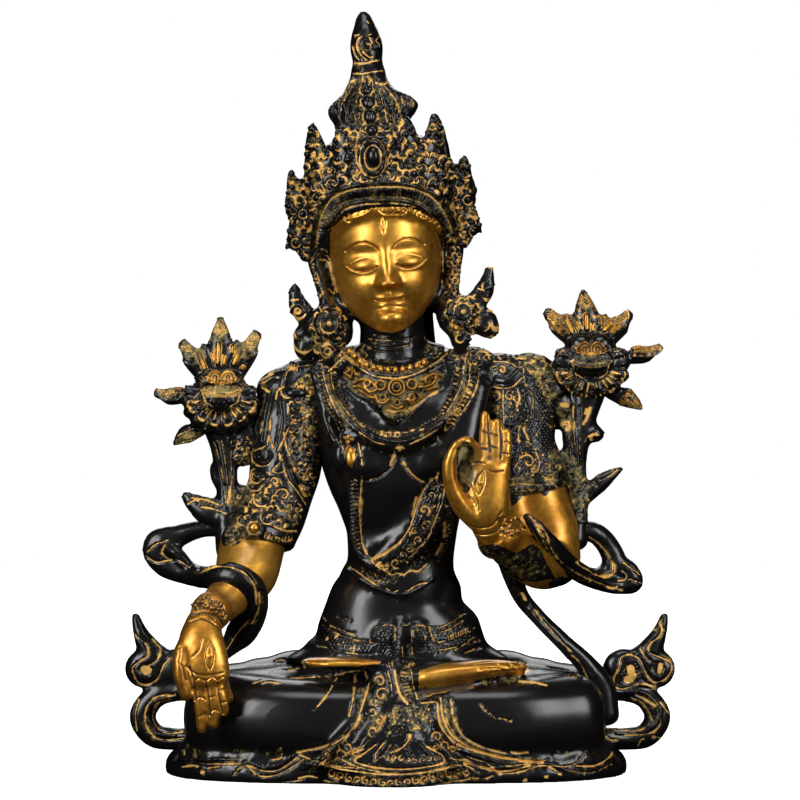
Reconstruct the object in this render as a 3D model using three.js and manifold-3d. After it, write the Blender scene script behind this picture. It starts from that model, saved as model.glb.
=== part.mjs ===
// A seated Buddhist goddess with a leaf crown and two lotuses, cast in brass in one piece with a thin oval base.
// Millimetres, +Z up. The figure faces -Y, +X is on the viewer's right, and the origin is the middle of the
// footprint at the underside. Every form is a closed body, and one union joins them all into the casting.
import * as THREE from "three";
import { mergeVertices } from "three/addons/utils/BufferGeometryUtils.js";
import Module from "manifold-3d";

const wasm = await Module();
wasm.setup();

// Driving dimensions
const HEIGHT = 330;
const HALF_WIDTH = 119.6;
const HALF_DEPTH = 58;
const BASE = { halfWidth: 100.2, shift: -1.7, thick: 8, front: -47, back: HALF_DEPTH };
const NECK = { x: -3.2, y: -3, z: 190 };
const HEAD_LEAN = THREE.MathUtils.degToRad(-5.1);
const HEAD_HEIGHT = 140.5;
// Each lotus has its middle and the tips of its five leaves, as [x, z] from that middle: the tall one, the one
// towards the head, the one away from it, the one that stands out level and the one that hangs.
const LOTUS_RIGHT = { x: 82.4, y: -4, z: 176, tips: [[-3.1, 32], [-19, 23.4], [17.2, 22.6], [30.4, 7.8], [22.2, -18.8]] };
const LOTUS_LEFT = { x: -77.6, y: -4, z: 160, tips: [[-0.1, 36.4], [15.8, 30], [-16.7, 25.8], [-28.2, 4.2], [-19.8, -18]] };
const FACETS = 9700;

const FRONT_BACK = new THREE.Vector3(0, 1, 0);
const UP = new THREE.Vector3(0, 0, 1);
const CAP_RINGS = 2;

// A closed tube of oval sections. Each station is [x, y, z, half width, half depth]; the depth of a section
// lies along `depthAxis` as nearly as the line allows, and `per` rings are laid between stations. `power`
// above 2 squares the section. Each end is domed by `nose` of the section's smaller half size; 0 is flat.
function sweep(stations, { sides = 14, per = 4, depthAxis = FRONT_BACK, power = 2, nose = 0.8 } = {}) {
  const centre = new THREE.CatmullRomCurve3(stations.map(([x, y, z]) => new THREE.Vector3(x, y, z)), false, "centripetal");
  const size = new THREE.CatmullRomCurve3(stations.map(([, , , w, d]) => new THREE.Vector3(w, d, 0)), false, "centripetal");
  const bent = (v) => Math.sign(v) * Math.abs(v) ** (2 / power);
  const caps = nose ? CAP_RINGS : 0;
  const spans = per * (stations.length - 1);
  const position = [];
  const ring = (t, end, turn) => {
    const tangent = centre.getTangent(t);
    const half = size.getPoint(t);
    const at = centre.getPoint(t).addScaledVector(tangent, end * nose * Math.min(half.x, half.y) * Math.sin(turn));
    const across = new THREE.Vector3().crossVectors(depthAxis, tangent).normalize();
    const deep = new THREE.Vector3().crossVectors(tangent, across);
    for (let j = 0; j < sides; j++) {
      const a = (2 * Math.PI * j) / sides;
      const [w, d] = [half.x * Math.cos(turn) * bent(Math.cos(a)), half.y * Math.cos(turn) * bent(Math.sin(a))];
      const p = at.clone().addScaledVector(across, w).addScaledVector(deep, d);
      position.push(p.x, p.y, p.z);
    }
  };
  const turnOf = (k) => (Math.PI / 2) * (k / (caps + 1));
  for (let k = caps; k > 0; k--) ring(0, -1, turnOf(k));
  for (let i = 0; i <= spans; i++) ring(i / spans, 0, 0);
  for (let k = 1; k <= caps; k++) ring(1, 1, turnOf(k));
  const rings = position.length / 3 / sides;
  const index = [];
  for (let i = 0; i < rings - 1; i++)
    for (let j = 0; j < sides; j++) {
      const a = i * sides + j;
      const b = i * sides + ((j + 1) % sides);
      index.push(a, b, a + sides, b, b + sides, a + sides);
    }
  for (const t of [0, 1]) {
    const half = size.getPoint(t);
    const tip = centre.getPoint(t).addScaledVector(centre.getTangent(t), (t ? 1 : -1) * nose * Math.min(half.x, half.y));
    const hub = position.length / 3;
    position.push(tip.x, tip.y, tip.z);
    for (let j = 0; j < sides; j++) {
      const a = t * (rings - 1) * sides + j;
      const b = t * (rings - 1) * sides + ((j + 1) % sides);
      index.push(hub, ...(t ? [a, b] : [b, a]));
    }
  }
  return new THREE.BufferGeometry().setAttribute("position", new THREE.Float32BufferAttribute(position, 3)).setIndex(index);
}

function ball(x, y, z, rx, ry, rz, sides = 12) {
  return new THREE.SphereGeometry(1, sides, sides / 2 + 1).rotateX(Math.PI / 2).scale(rx, ry, rz).translate(x, y, z);
}

// A turned form on a vertical axis through (x, y), from [radius, z] pairs, drawn out of round by `deep`.
function turned(x, y, profile, { sides = 28, deep = 1 } = {}) {
  const points = profile.map(([r, z]) => new THREE.Vector2(r, z));
  return new THREE.LatheGeometry(points, sides).rotateX(Math.PI / 2).scale(1, deep, 1).translate(x, y, 0);
}

// A leaf with a low ridge down each face: it is widest at `belly` of its length and bows sideways by `bend`.
function leaf(from, to, wide, thick, { belly = 0.45, bend = 0, foot = 0.6, tip = 0.24 } = {}) {
  const a = new THREE.Vector3(...from);
  const b = new THREE.Vector3(...to);
  const side = new THREE.Vector3().crossVectors(FRONT_BACK, b.clone().sub(a)).normalize();
  const stations = [[0, foot, 0.8], [belly, 1, 1], [0.8, 0.66, 0.75], [1, tip, 0.45]].map(([t, w, d]) => {
    const p = a.clone().lerp(b, t).addScaledVector(side, bend * Math.sin(Math.PI * t));
    return [p.x, p.y, p.z, (wide / 2) * w, (thick / 2) * d];
  });
  return sweep(stations, { sides: 8, per: 2 });
}

function solidOf(geometry) {
  const bare = geometry.index ? geometry.toNonIndexed() : geometry;
  const shape = new THREE.BufferGeometry().setAttribute("position", bare.getAttribute("position"));
  const merged = mergeVertices(shape, 1e-4);
  const corners = [...merged.index.array];
  const triVerts = [];
  for (let i = 0; i < corners.length; i += 3) {
    const [a, b, c] = corners.slice(i, i + 3);
    if (a !== b && b !== c && a !== c) triVerts.push(a, b, c);
  }
  const make = () => new wasm.Manifold(new wasm.Mesh({
    numProp: 3, vertProperties: merged.attributes.position.array, triVerts: new Uint32Array(triVerts),
  }));
  const solid = make();
  if (solid.volume() > 0) return solid;
  triVerts.reverse();
  return make();
}

// Closes edges of a solid's surface, the least noticeable first, until `target` facets are left. The cost of an
// edge is how far its end would stand off the planes of the facets round it. An edge closes onto one of its own
// ends, so every point left is a point of the full surface. Points on the outer limits stay where they are.
function lightened(solid, target) {
  const { vertProperties, triVerts } = solid.getMesh();
  const points = [];
  for (let i = 0; i < vertProperties.length; i += 3) points.push(new THREE.Vector3().fromArray(vertProperties, i));
  const facets = [];
  for (let i = 0; i < triVerts.length; i += 3) facets.push([...triVerts.slice(i, i + 3)]);
  const around = points.map(() => new Set());
  const planes = points.map(() => new Array(10).fill(0));
  const [u, v, face] = [new THREE.Vector3(), new THREE.Vector3(), new THREE.Vector3()];
  const areaNormal = (a, b, c) => face.crossVectors(u.subVectors(b, a), v.subVectors(c, a)).clone();
  facets.forEach((corners, f) => {
    const normal = areaNormal(...corners.map((c) => points[c]));
    const area = normal.length() / 2;
    if (area > 0) normal.normalize();
    const [x, y, z, w] = [normal.x, normal.y, normal.z, -normal.dot(points[corners[0]])];
    const plane = [x * x, x * y, x * z, x * w, y * y, y * z, y * w, z * z, z * w, w * w];
    for (const c of corners) {
      around[c].add(f);
      plane.forEach((term, k) => { planes[c][k] += term * area; });
    }
  });
  const pinned = points.map(({ x, y, z }) => {
    return z < 1e-4 || Math.abs(x) > HALF_WIDTH - 1e-3 || Math.abs(y) > HALF_DEPTH - 1e-3 || z > HEIGHT - 1;
  });
  const cost = (from, to) => {
    const { x, y, z } = points[to];
    const q = planes[from].map((term, k) => term + planes[to][k]);
    const off = q[0] * x * x + 2 * q[1] * x * y + 2 * q[2] * x * z + 2 * q[3] * x + q[4] * y * y
      + 2 * q[5] * y * z + 2 * q[6] * y + q[7] * z * z + 2 * q[8] * z + q[9];
    return Math.abs(off) + 1e-4 * points[from].distanceToSquared(points[to]);
  };
  const neighbours = (p) => new Set([...around[p]].flatMap((f) => facets[f]).filter((c) => c !== p));
  const closes = (from, to) => {
    const nearTo = neighbours(to);
    if ([...neighbours(from)].filter((c) => nearTo.has(c)).length !== 2) return false;
    for (const f of around[from]) {
      if (facets[f].includes(to)) continue;
      const before = areaNormal(...facets[f].map((c) => points[c]));
      const after = areaNormal(...facets[f].map((c) => points[c === from ? to : c]));
      if (after.length() < 1e-3 || before.dot(after) < 0.3 * before.length() * after.length()) return false;
    }
    return true;
  };
  let left = facets.length;
  while (left > target) {
    const edges = [];
    facets.forEach((corners) => corners?.forEach((from, k) => {
      const to = corners[(k + 1) % 3];
      if (!pinned[from]) edges.push([cost(from, to), from, to]);
    }));
    edges.sort((a, b) => a[0] - b[0]);
    const busy = new Set();
    const limit = Math.min(edges.length, Math.ceil(edges.length * 0.08));
    let closed = 0;
    for (const [, from, to] of edges.slice(0, limit)) {
      if (left <= target) break;
      if (busy.has(from) || busy.has(to) || !closes(from, to)) continue;
      for (const c of neighbours(from)) busy.add(c);
      for (const f of around[from]) {
        const corners = facets[f];
        if (corners.includes(to)) {
          corners.forEach((c) => around[c].delete(f));
          facets[f] = null;
          left -= 1;
        } else {
          corners[corners.indexOf(from)] = to;
          around[to].add(f);
        }
      }
      planes[to] = planes[to].map((term, k) => term + planes[from][k]);
      busy.add(from);
      closed += 1;
    }
    if (!closed) break;
  }
  const kept = facets.filter(Boolean).flat();
  const shape = new THREE.BufferGeometry()
    .setAttribute("position", new THREE.Float32BufferAttribute(kept.flatMap((c) => points[c].toArray()), 3));
  return mergeVertices(shape, 1e-5);
}

// The base: a thin oval slab, squared towards its ends, with an eased top edge.
const BASE_POWER = 3;
const BASE_MIDDLE = (BASE.front + BASE.back) / 2;
const BASE_DEPTH = (BASE.back - BASE.front) / 2;

function base() {
  const levels = [[0, 1], [0.6, 1], [0.85, 0.99], [1, 0.97]];
  const stations = levels.map(([level, s]) => [BASE.shift, BASE_MIDDLE, BASE.thick * level, BASE.halfWidth * s, BASE_DEPTH * s]);
  return sweep(stations, { sides: 56, per: 1, power: BASE_POWER, nose: 0 });
}

// Where the base's front edge lies at a distance `off` from its middle, as a y.
function baseFront(off) {
  return BASE_MIDDLE - BASE_DEPTH * (1 - (off / BASE.halfWidth) ** BASE_POWER) ** (1 / BASE_POWER);
}

// Folded legs: a thigh runs out from each hip to the knee, and a shin comes back across the front.
function legs() {
  const made = [];
  for (const [side, knee] of [[-1, 75.5], [1, 71]]) {
    const thigh = [[20, 14, 36, 18, 26], [46, 4, 30.5, 16.5, 26], [knee - 3, -12, 27, 18, 24]];
    const shin = [[knee, -18, 26, 19, 21], [48, -30, 25.5, 17.5, 17], [12, -34, 25, 16, 13]];
    for (const limb of [thigh, shin])
      made.push(sweep(limb.map(([x, ...rest]) => [side * x, ...rest]), { sides: 24, per: 6, power: 2.5, nose: 0.85 }));
  }
  const lap = [[-1, 10, 4, 84, 44], [-1, 8, 24, 76, 40], [-1, 5, 40, 56, 34], [-1, 4, 48, 44, 29], [-1, 4, 54, 36, 25]];
  made.push(sweep(lap, { sides: 36, per: 2, nose: 0 }));
  return made;
}

// The soles lie on the opposite thighs, seen edge on from the front.
function feet() {
  return [
    sweep([[5, -36, 43.5, 5.4, 9], [22, -38, 46, 5, 9], [38, -36, 48, 3.8, 8], [52.5, -31, 48.4, 1.8, 6]], { sides: 14, per: 3 }),
    sweep([[-6, -31, 49.6, 2.6, 8], [-26, -33, 49.6, 3, 9], [-40, -29, 50, 2, 7]], { sides: 12, per: 3 }),
  ];
}

// The cloth that falls between the shins, spreads in folds over the base and ends in a round hem.
function apron() {
  const fall = [[-1, -27, 50, 11, 6], [-2, -36, 38, 12, 8], [-3, -41, 26, 15, 9], [-3, -44, 13, 24, 10], [-3, -44.5, 5, 32, 12.4]];
  const hem = [[-3, -26, 0, 36, 32], [-3, -26, 3.5, 36, 32], [-3, -26.4, 6.5, 34.5, 30], [-3, -27, 8.4, 31, 26.4]];
  const made = [sweep(fall, { sides: 24, per: 3, nose: 0, power: 2.3 }), sweep(hem, { sides: 40, per: 1, nose: 0 })];
  for (const [x, spread] of [[-11, -30], [-6, -18], [-1.5, -6], [2.5, 7], [7, 19]]) {
    const ridge = [[x * 0.6, -36, 45, 1.6, 3], [x + spread * 0.25, -46.5, 27, 1.9, 3], [x + spread * 0.6, -51, 15, 2, 3], [x + spread, -52, 7, 2, 3]];
    made.push(sweep(ridge, { sides: 8, per: 3 }));
  }
  return made;
}

// The foot of the skirt: a low band round the legs, with two wavy hems along its front.
function hems() {
  const band = [[7, 4.4, 3.4], [11.5, 5.4, 4.4], [14.6, 9, 8]].map(([z, side, front]) => {
    return [BASE.shift, BASE_MIDDLE, z, BASE.halfWidth - side, BASE_DEPTH - front];
  });
  const made = [sweep(band, { sides: 48, per: 1, power: BASE_POWER, nose: 0 })];
  for (const side of [-1, 1])
    for (const [z, inset] of [[13, 5.4], [8.8, 2.8]]) {
      const line = [27, 38, 49, 60, 70, 79, 87, 92].map((off, i) => {
        return [BASE.shift + side * off, baseFront(off) + inset, z + (i % 2 ? 1.2 : -1.2), 1.8, 2.6];
      });
      made.push(sweep(line, { sides: 8, per: 3 }));
    }
  return made;
}

function torso() {
  const body = [
    [-1, 4, 48, 37, 27], [-1, 4, 56, 36, 25.6], [-1.8, 3, 66, 33.4, 23.6], [-2, 2, 74, 29.4, 21.4], [-1.2, 1.4, 80, 26, 19.8],
    [-0.4, 1, 86, 23.2, 18.6], [0.2, 0, 92, 22.3, 18], [0.8, 0, 104, 24, 19], [0.4, 0, 116, 27.5, 21], [-0.5, 0, 130, 32.5, 23],
    [-0.5, 1, 143, 37, 22], [0, 2, 155, 43, 19.5], [0, 3, 166, 46, 15], [-1, 3, 175, 35, 13], [-1.5, 3, 181, 26, 11.4], [-1.6, 3, 185.4, 19, 10],
  ];
  const bodice = [[-1.6, 0.6, 78.5, 25.6, 20.6], [-0.2, 0.4, 83, 24.4, 20], [0.2, 0, 92, 23, 19], [0.8, 0, 104, 24, 19]];
  const neck = [[-1.5, 1, 168, 22, 16], [-1.7, 0, 176, 16.5, 14.5], [-2, -1, 182, 14, 13.5], [-2.5, -2, 190, 13.4, 13.2], [-3, -2, 202, 14, 14]];
  const bosom = [-14.5, 13.5].map((x) => ball(x, -13.6, 134.5, 13.6, 10.6, 12.4, 20));
  const shoulders = [ball(-48, 2, 166, 17, 12.4, 11, 20), ball(53, 2, 170, 17, 12.4, 12, 20)];
  return [
    sweep(body, { sides: 32, per: 2, nose: 0, power: 2.2 }),
    sweep(bodice, { sides: 32, per: 2, nose: 0, power: 2.2 }),
    sweep(neck, { sides: 20, per: 2, nose: 0 }),
    ...bosom,
    ...shoulders,
  ];
}

// The jewelled belt round the hips, with the knot that hangs from it at the front.
function belt() {
  const girdle = turned(-1.8, 3, [[0, 60], [34.8, 60.4], [35.2, 63], [34.4, 66], [33.6, 67.4], [33.7, 69], [32.2, 72], [30.4, 73], [0, 73]], { sides: 36, deep: 0.72 });
  const tail = [[-1, -21, 73, 3, 3], [-1, -25.5, 64, 3.4, 3], [-1, -30, 54, 3.2, 3], [-1, -36, 47, 3.6, 3]];
  return [girdle, ball(-7, -20, 66.5, 6, 5.6, 7, 12), ball(5.4, -20, 66.5, 6, 5.6, 7, 12), sweep(tail, { sides: 8, per: 2 })];
}

// One finger, from its knuckle over its middle joint to its tip.
function finger(knuckle, middle, tip, thick) {
  return sweep([[...knuckle, thick, thick], [...middle, thick * 0.97, thick * 0.97], [...tip, thick * 0.76, thick * 0.76]], { sides: 10, per: 3, nose: 1 });
}

// The arm that reaches down over the knee, with the palm turned out in giving.
function rightArm() {
  const arm = [[-57, -4, 112, 14, 13.6], [-64.5, -9, 96, 15.5, 14.6], [-66, -17, 87, 13.6, 13], [-74, -31, 77, 10, 9.6], [-81.5, -41.5, 70, 7.4, 6.8]];
  const sleeve = [[-45, 3, 170, 15, 13], [-48, 1, 145, 17, 15.5], [-50, 0, 128, 16.4, 15.5], [-55.4, -4, 111, 16.6, 16.4], [-61.6, -8, 99.4, 16.6, 16.6]];
  const palm = [[-82.5, -43.5, 68, 7.4, 6.4], [-83, -48, 60, 9.8, 6], [-81.5, -49.8, 51, 10.2, 5.4], [-80, -50.2, 44, 9.4, 4.6]];
  const thumb = [[-86, -45.5, 63, 4, 4], [-90.5, -50, 56, 4, 4.2], [-91.6, -52.5, 47, 3.1, 3.1], [-89.4, -52, 38, 2.6, 2.6]];
  const bracelet = [[-77, -37, 74.6, 9.6, 9], [-78.6, -39.4, 72.8, 10.2, 9.6], [-81.4, -42.4, 70, 9.4, 8.6]];
  const made = [
    sweep(arm, { sides: 22, per: 4 }),
    sweep(sleeve, { sides: 24, per: 3, nose: 0 }),
    sweep(palm, { sides: 16, per: 3 }),
    sweep(thumb, { sides: 10, per: 3, nose: 1 }),
    sweep(bracelet, { sides: 20, per: 2, nose: 0 }),
    ball(-62.5, -24, 106, 4.2, 3, 4.2, 12),
  ];
  for (const [x, y, tip] of [[-84, -50.6, 21.4], [-78.8, -51.6, 23.6], [-74.6, -51, 28.6], [-72.6, -47.6, 34]])
    made.push(finger([x * 0.6 - 32, y + 1, 47], [x + 0.4, y, 37], [x + 1.2, y + 0.8, tip + 2], 2.75));
  return made;
}

// The raised arm: the hand teaches, with the tips of thumb and forefinger together.
function leftArm() {
  const upper = [[59, 0, 126, 12.5, 12], [62, -2, 115, 12.5, 12], [66, -4, 104, 12, 12], [68, -8, 92.5, 10.4, 10.4]];
  const fore = [[67, -9, 91.5, 11, 11], [60, -19, 91, 11, 10.6], [49, -30.5, 97, 9.4, 9.2], [38.5, -39.5, 106, 7.6, 7.2]];
  const sleeve = [[46, 3, 169, 15, 13], [52, 2, 152, 16.5, 15], [56, 1, 137, 15, 14.5], [58.5, 0, 126, 15.6, 15], [59.5, 0, 121, 16, 15.4]];
  const palm = [[38, -40.5, 106.5, 7.4, 6.4], [36.8, -43.5, 113.5, 9.4, 6], [36.4, -45, 123, 9.8, 5.4], [37.6, -45.5, 133, 9, 4.6]];
  const thumb = [[32, -44.5, 110.5, 4.4, 4.6], [26, -48.5, 116.5, 4.3, 4.2], [21.6, -51.5, 125, 3.4, 3.3], [20.4, -53, 134, 3, 3], [22, -53.6, 139.6, 2.4, 2.4]];
  const index = [[31.4, -46, 132, 2.8, 2.8], [31, -49, 140, 2.7, 2.7], [28, -52.4, 143.8, 2.5, 2.5], [23.4, -53.8, 142.4, 2, 2]];
  const bracelet = [[43.5, -34.6, 101.4, 9.6, 9], [42, -36.6, 103, 10.2, 9.6], [39.4, -39, 105.4, 9.2, 8.6]];
  const made = [
    sweep(upper, { sides: 20, per: 3 }),
    sweep(fore, { sides: 20, per: 4 }),
    sweep(sleeve, { sides: 24, per: 3, nose: 0 }),
    sweep(palm, { sides: 16, per: 3 }),
    sweep(thumb, { sides: 10, per: 3, nose: 1, depthAxis: UP }),
    sweep(index, { sides: 10, per: 3, nose: 1, depthAxis: UP }),
    sweep(bracelet, { sides: 20, per: 2, nose: 0 }),
  ];
  for (const [x, tip] of [[35.2, 156.6], [40, 153.6], [44.4, 149.4]])
    made.push(finger([x * 0.85 + 5.4, -45.5, 130], [x, -46, 140], [x + 0.4, -45.2, tip - 2], 2.7));
  return made;
}

// Necklaces, the long strings of pearls and the sash that crosses the body from the raised arm's shoulder.
function jewellery() {
  const collar = [[-22, -6, 182.5, 2, 2], [-13, -15.5, 176, 2.2, 2.2], [-3, -18, 173.5, 2.2, 2.2], [8.5, -15.5, 176, 2.2, 2.2], [17.6, -6, 182.5, 2, 2]];
  const pearls = [
    [-35, -6, 177, 2.4, 2.4], [-28.5, -16, 160, 2.4, 2.4], [-17, -24, 147.5, 2.4, 2.4], [-2, -23, 141.5, 2.4, 2.4],
    [13, -24, 147, 2.4, 2.4], [23.5, -17, 160, 2.4, 2.4], [29, -6, 177, 2.4, 2.4],
  ];
  const side = [[-38, -8, 174, 2, 2], [-31, -17, 150, 2, 2], [-22, -18.5, 130, 2, 2], [-20.4, -17.5, 112, 2, 2], [-19, -17, 97, 2, 2], [-12, -18.6, 88, 2, 2]];
  const sash = [[33, -9, 168, 7, 4], [26, -17, 146, 8.5, 4], [18, -17.6, 122, 9.5, 4], [5, -18, 102, 8.5, 4], [-11, -17.6, 90, 5, 3.4]];
  const pendant = [[-3, -15.5, 173, 17, 4], [-3, -18.5, 166, 14, 4.4], [-3, -20.4, 159, 8, 3.6], [-3, -21, 154, 3, 2.6]];
  return [
    sweep(collar, { sides: 10, per: 4 }),
    sweep(pearls, { sides: 10, per: 4 }),
    sweep(side, { sides: 10, per: 3 }),
    sweep(sash, { sides: 14, per: 4 }),
    sweep(pendant, { sides: 14, per: 3 }),
    ball(-25.6, -19.6, 137, 3.2, 3.2, 7, 12),
  ];
}

// One lotus with its leaves, for the side given by `out`: +1 for the viewer's right.
function lotus(at, out) {
  const { x, y, z } = at;
  const made = [ball(x, y, z, 15, 6, 12.6, 20), ball(x, y - 3.4, z + 1.4, 10.6, 6.6, 6.4, 16)];
  for (const s of [-1, 1]) made.push(ball(x + s * 4, y - 4, z + 9, 5.6, 4.4, 4.6, 10));
  const petals = 11;
  for (let i = 0; i < petals; i++) {
    const a = Math.PI * (0.86 + (1.28 * i) / (petals - 1));
    const [dx, dz] = [Math.cos(a), Math.sin(a)];
    const petal = [[x + 9 * dx, y - 4.4, z + 7.4 * dz, 2, 2], [x + 14.4 * dx, y - 3.4, z + 12 * dz, 2.6, 2.4], [x + 15 * dx, y - 2, z + 12.8 * dz, 2.4, 2.2]];
    made.push(sweep(petal, { sides: 8, per: 1 }));
  }
  const tip = (k) => [x + at.tips[k][0], y + 1, z + at.tips[k][1]];
  const between = (k) => [x + (at.tips[0][0] + at.tips[k][0]) * 0.46, y + 1, z + (at.tips[0][1] + at.tips[k][1]) * 0.4];
  made.push(
    leaf([x, y, z + 7], tip(0), 12, 7, { belly: 0.5, foot: 0.9 }),
    leaf([x - out * 5, y, z + 7], tip(1), 12, 7, { foot: 1 }),
    leaf([x + out * 5, y, z + 7], tip(2), 12, 7, { foot: 1 }),
    leaf([x - out * 3, y, z + 8], between(1), 9, 6),
    leaf([x + out * 3, y, z + 8], between(2), 9, 6),
    leaf([x + out * 12, y, z + 1.6], tip(3), 9, 6.4, { belly: 0.6, bend: out * 1.4 }),
    leaf([x + out * 8, y + 1, z - 12], tip(4), 8.6, 6, { bend: -out * 1.4 }),
  );
  return made;
}

// Lotus stems: both rise along the outside of the upper arm, and one more climbs from the base to the forearm.
function stems() {
  const left = [[-78, -2, 150, 8, 5], [-77, -1, 140, 5.2, 4.6], [-75.4, -1, 124, 4.2, 4.4], [-75, -4, 108, 5.4, 5.4], [-74, -7, 96, 5.6, 5.6]];
  const right = [[81.6, -1, 165, 8, 5], [79.5, -1, 152, 5.4, 4.6], [76.5, -1, 136, 4.6, 4.4], [76.5, -2, 118, 5, 5], [76, -4, 100, 5.4, 5.4]];
  const climbing = [
    [89, -6, 24, 6, 5], [87, -6, 36, 6.4, 5], [81, -8, 46, 4.8, 4.6], [71, -9, 56, 3.8, 4], [59.5, -11, 67.5, 3.5, 4],
    [52, -14, 76.6, 3.7, 4], [47.6, -20, 88, 4.6, 4.8], [46, -27, 95, 5.4, 5.4],
  ];
  return [
    sweep(left, { sides: 12, per: 3 }),
    sweep(right, { sides: 12, per: 3 }),
    sweep(climbing, { sides: 12, per: 3 }),
    leaf([-71, -5, 110], [-92.6, -2, 119], 9, 6, { bend: -2.4 }),
    leaf([-77, -2, 121], [-82.4, 0, 133], 5, 5),
    leaf([79, -3, 116.6], [96.4, -1, 131.4], 8, 6, { bend: -1.4 }),
    leaf([79, -2, 150], [88.6, 0, 146], 6, 5, { tip: 0.5 }),
    ball(-68.6, 0, 114, 6, 5, 9, 12),
    ball(-67, 0, 143.6, 7, 5, 10, 12),
    ball(69.6, 0, 118, 7, 5, 14, 12),
    ball(68, 1, 160, 8, 6, 12, 12),
  ];
}

// The scarf: a loop stands out behind each elbow, and its ends wrap the forearms.
function scarf() {
  const leftLoop = [[-72, -2, 105, 4.5, 4], [-84, -1, 105.4, 3.8, 4], [-96, 0, 102, 5, 4], [-104, 0, 97, 8, 4], [-101, 0, 90.6, 7, 4], [-92, -2, 86, 5.2, 4.4], [-82, -10, 84, 4.6, 5]];
  const wrap = [
    [-86, -12, 84, 4, 4.4], [-79, -29, 86.4, 4.2, 4], [-69, -33, 86.6, 4.4, 4], [-62.6, -27, 81.6, 4.2, 4.4],
    [-61.6, -18, 74.6, 4.2, 4.6], [-63, -11, 67.6, 4.6, 4.6], [-68, -8, 60.6, 4.6, 4.6], [-73.4, -10, 53.6, 3.2, 4.6],
  ];
  const rightLoop = [[74, -3, 104, 4.5, 4.5], [84, -2, 103.6, 4.6, 4.5], [90.6, 0, 97, 5, 4.2], [93, 0, 89.6, 5.4, 4.2], [87, -2, 84.4, 4.2, 4.4], [79, -8, 85.4, 4, 5]];
  const rightEnd = [[91.6, 0, 90.4, 4.4, 4], [98.4, 0, 87, 4.8, 4.4], [101, 0, 82, 4.8, 4], [94.6, -1, 80.4, 3.8, 4], [83.4, -6, 83.6, 4.2, 4.4], [74, -17, 89, 4.4, 4.6], [65.6, -27, 97.4, 4.4, 4], [57, -32.6, 108, 4, 3.4]];
  return [
    sweep(leftLoop, { sides: 12, per: 4 }),
    sweep([[-103, -2, 99, 2.6, 3], [-96, -3, 94, 3, 3.4], [-90, -4, 87, 2.4, 3]], { sides: 8, per: 3 }),
    sweep(wrap, { sides: 12, per: 3 }),
    sweep(rightLoop, { sides: 12, per: 4 }),
    sweep(rightEnd, { sides: 12, per: 3 }),
  ];
}

// The flame-like end of the scarf that curls up beside each knee.
function curl(out) {
  const ring = [[86, -4, 34.4, 4.4, 4], [97, -1, 35, 4.8, 4], [106.6, 0, 32, 5.2, 4], [111.8, 0, 23.6, 5.8, 4], [107, 0, 15.6, 5.4, 4], [98, -1, 14, 5, 4], [88, -4, 14.6, 5, 4]];
  const tail = [[101, 0, 38, 7, 4], [105.4, 0, 46, 9, 4.4], [109, 0, 53, 5.6, 4], [112.6, 0, 60, 3.4, 3.2], [114.8, 0, 67.4, 1.9, 2]];
  const lobes = [ball(HALF_WIDTH - 8.4, 0, 44.4, 8.4, 4.2, 8.6, 16), ball(97, -1, 44, 9.4, 4.2, 9.4, 16)];
  const made = [sweep(ring, { sides: 12, per: 4 }), sweep(tail, { sides: 10, per: 3 }), ...lobes];
  return out > 0 ? made : made.map((form) => form.scale(-1, 1, 1));
}

// The head stands upright here, about the middle of the neck, and is leaned afterwards.
function head() {
  const skull = [
    [0, -14.4, 3.4, 7.6, 6.4], [0, -11, 8, 14, 12], [0, -7.6, 16, 19.6, 17.6], [0, -4, 26, 22.9, 22],
    [0, -2, 37, 23.7, 24.4], [0, -1, 50, 22.8, 24.6], [0, 0, 62, 18, 21],
  ];
  const hair = [
    [0, 4, 60, 24, 22], [0, 5, 44, 29, 22], [0, 7, 28, 29, 19], [1, 10, 16, 23, 15], [2.2, 13, 6, 16.2, 12], [1.6, 14, -6, 17, 11],
    [0, 17, -20, 19, 10], [0, 19, -36, 15, 7],
  ];
  const nose = [[0, -25.6, 36, 1.5, 2], [0, -26.6, 31, 1.6, 2.6], [0, -28, 25, 2.2, 3], [0, -28.6, 21.4, 3, 3]];
  const made = [
    sweep(skull, { sides: 24, per: 3, power: 2.1 }),
    sweep(hair, { sides: 20, per: 2 }),
    sweep(nose, { sides: 10, per: 2 }),
    ball(0, -18.6, 7.6, 6, 5, 4.6, 12),
    sweep([[-5.8, -22.4, 14.6, 1, 1.6], [-2.4, -24.2, 14.8, 1.5, 2.2], [0, -24.4, 14.4, 1.3, 2.2], [2.4, -24.2, 14.8, 1.5, 2.2], [5.8, -22.4, 14.6, 1, 1.6]], { sides: 8, per: 2 }),
    sweep([[-4.6, -22, 12.9, 1, 1.6], [0, -23.4, 11.8, 1.7, 2.6], [4.6, -22, 12.9, 1, 1.6]], { sides: 8, per: 3 }),
  ];
  for (const s of [-1, 1]) {
    made.push(ball(s * 3, -26, 20.8, 2, 2.6, 1.9, 10), ball(s * 9.4, -21.8, 29.6, 5.8, 3.8, 2.9, 12));
    made.push(sweep([[s * 2.6, -25.4, 35.4, 0.8, 1.2], [s * 9, -24, 38.4, 0.9, 1.2], [s * 16.5, -18.6, 36, 0.7, 1]], { sides: 6, per: 3 }));
    const ear = [[s * 26, 0, 43, 2.6, 4], [s * 30.6, -1, 36, 3.4, 5], [s * 29, -1.4, 25, 3, 4.4], [s * 27.4, -3, 14, 2.8, 3.8], [s * 27.2, -4, 8, 2.8, 3.4]];
    made.push(sweep(ear, { sides: 12, per: 3 }));
  }
  return made;
}

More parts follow.
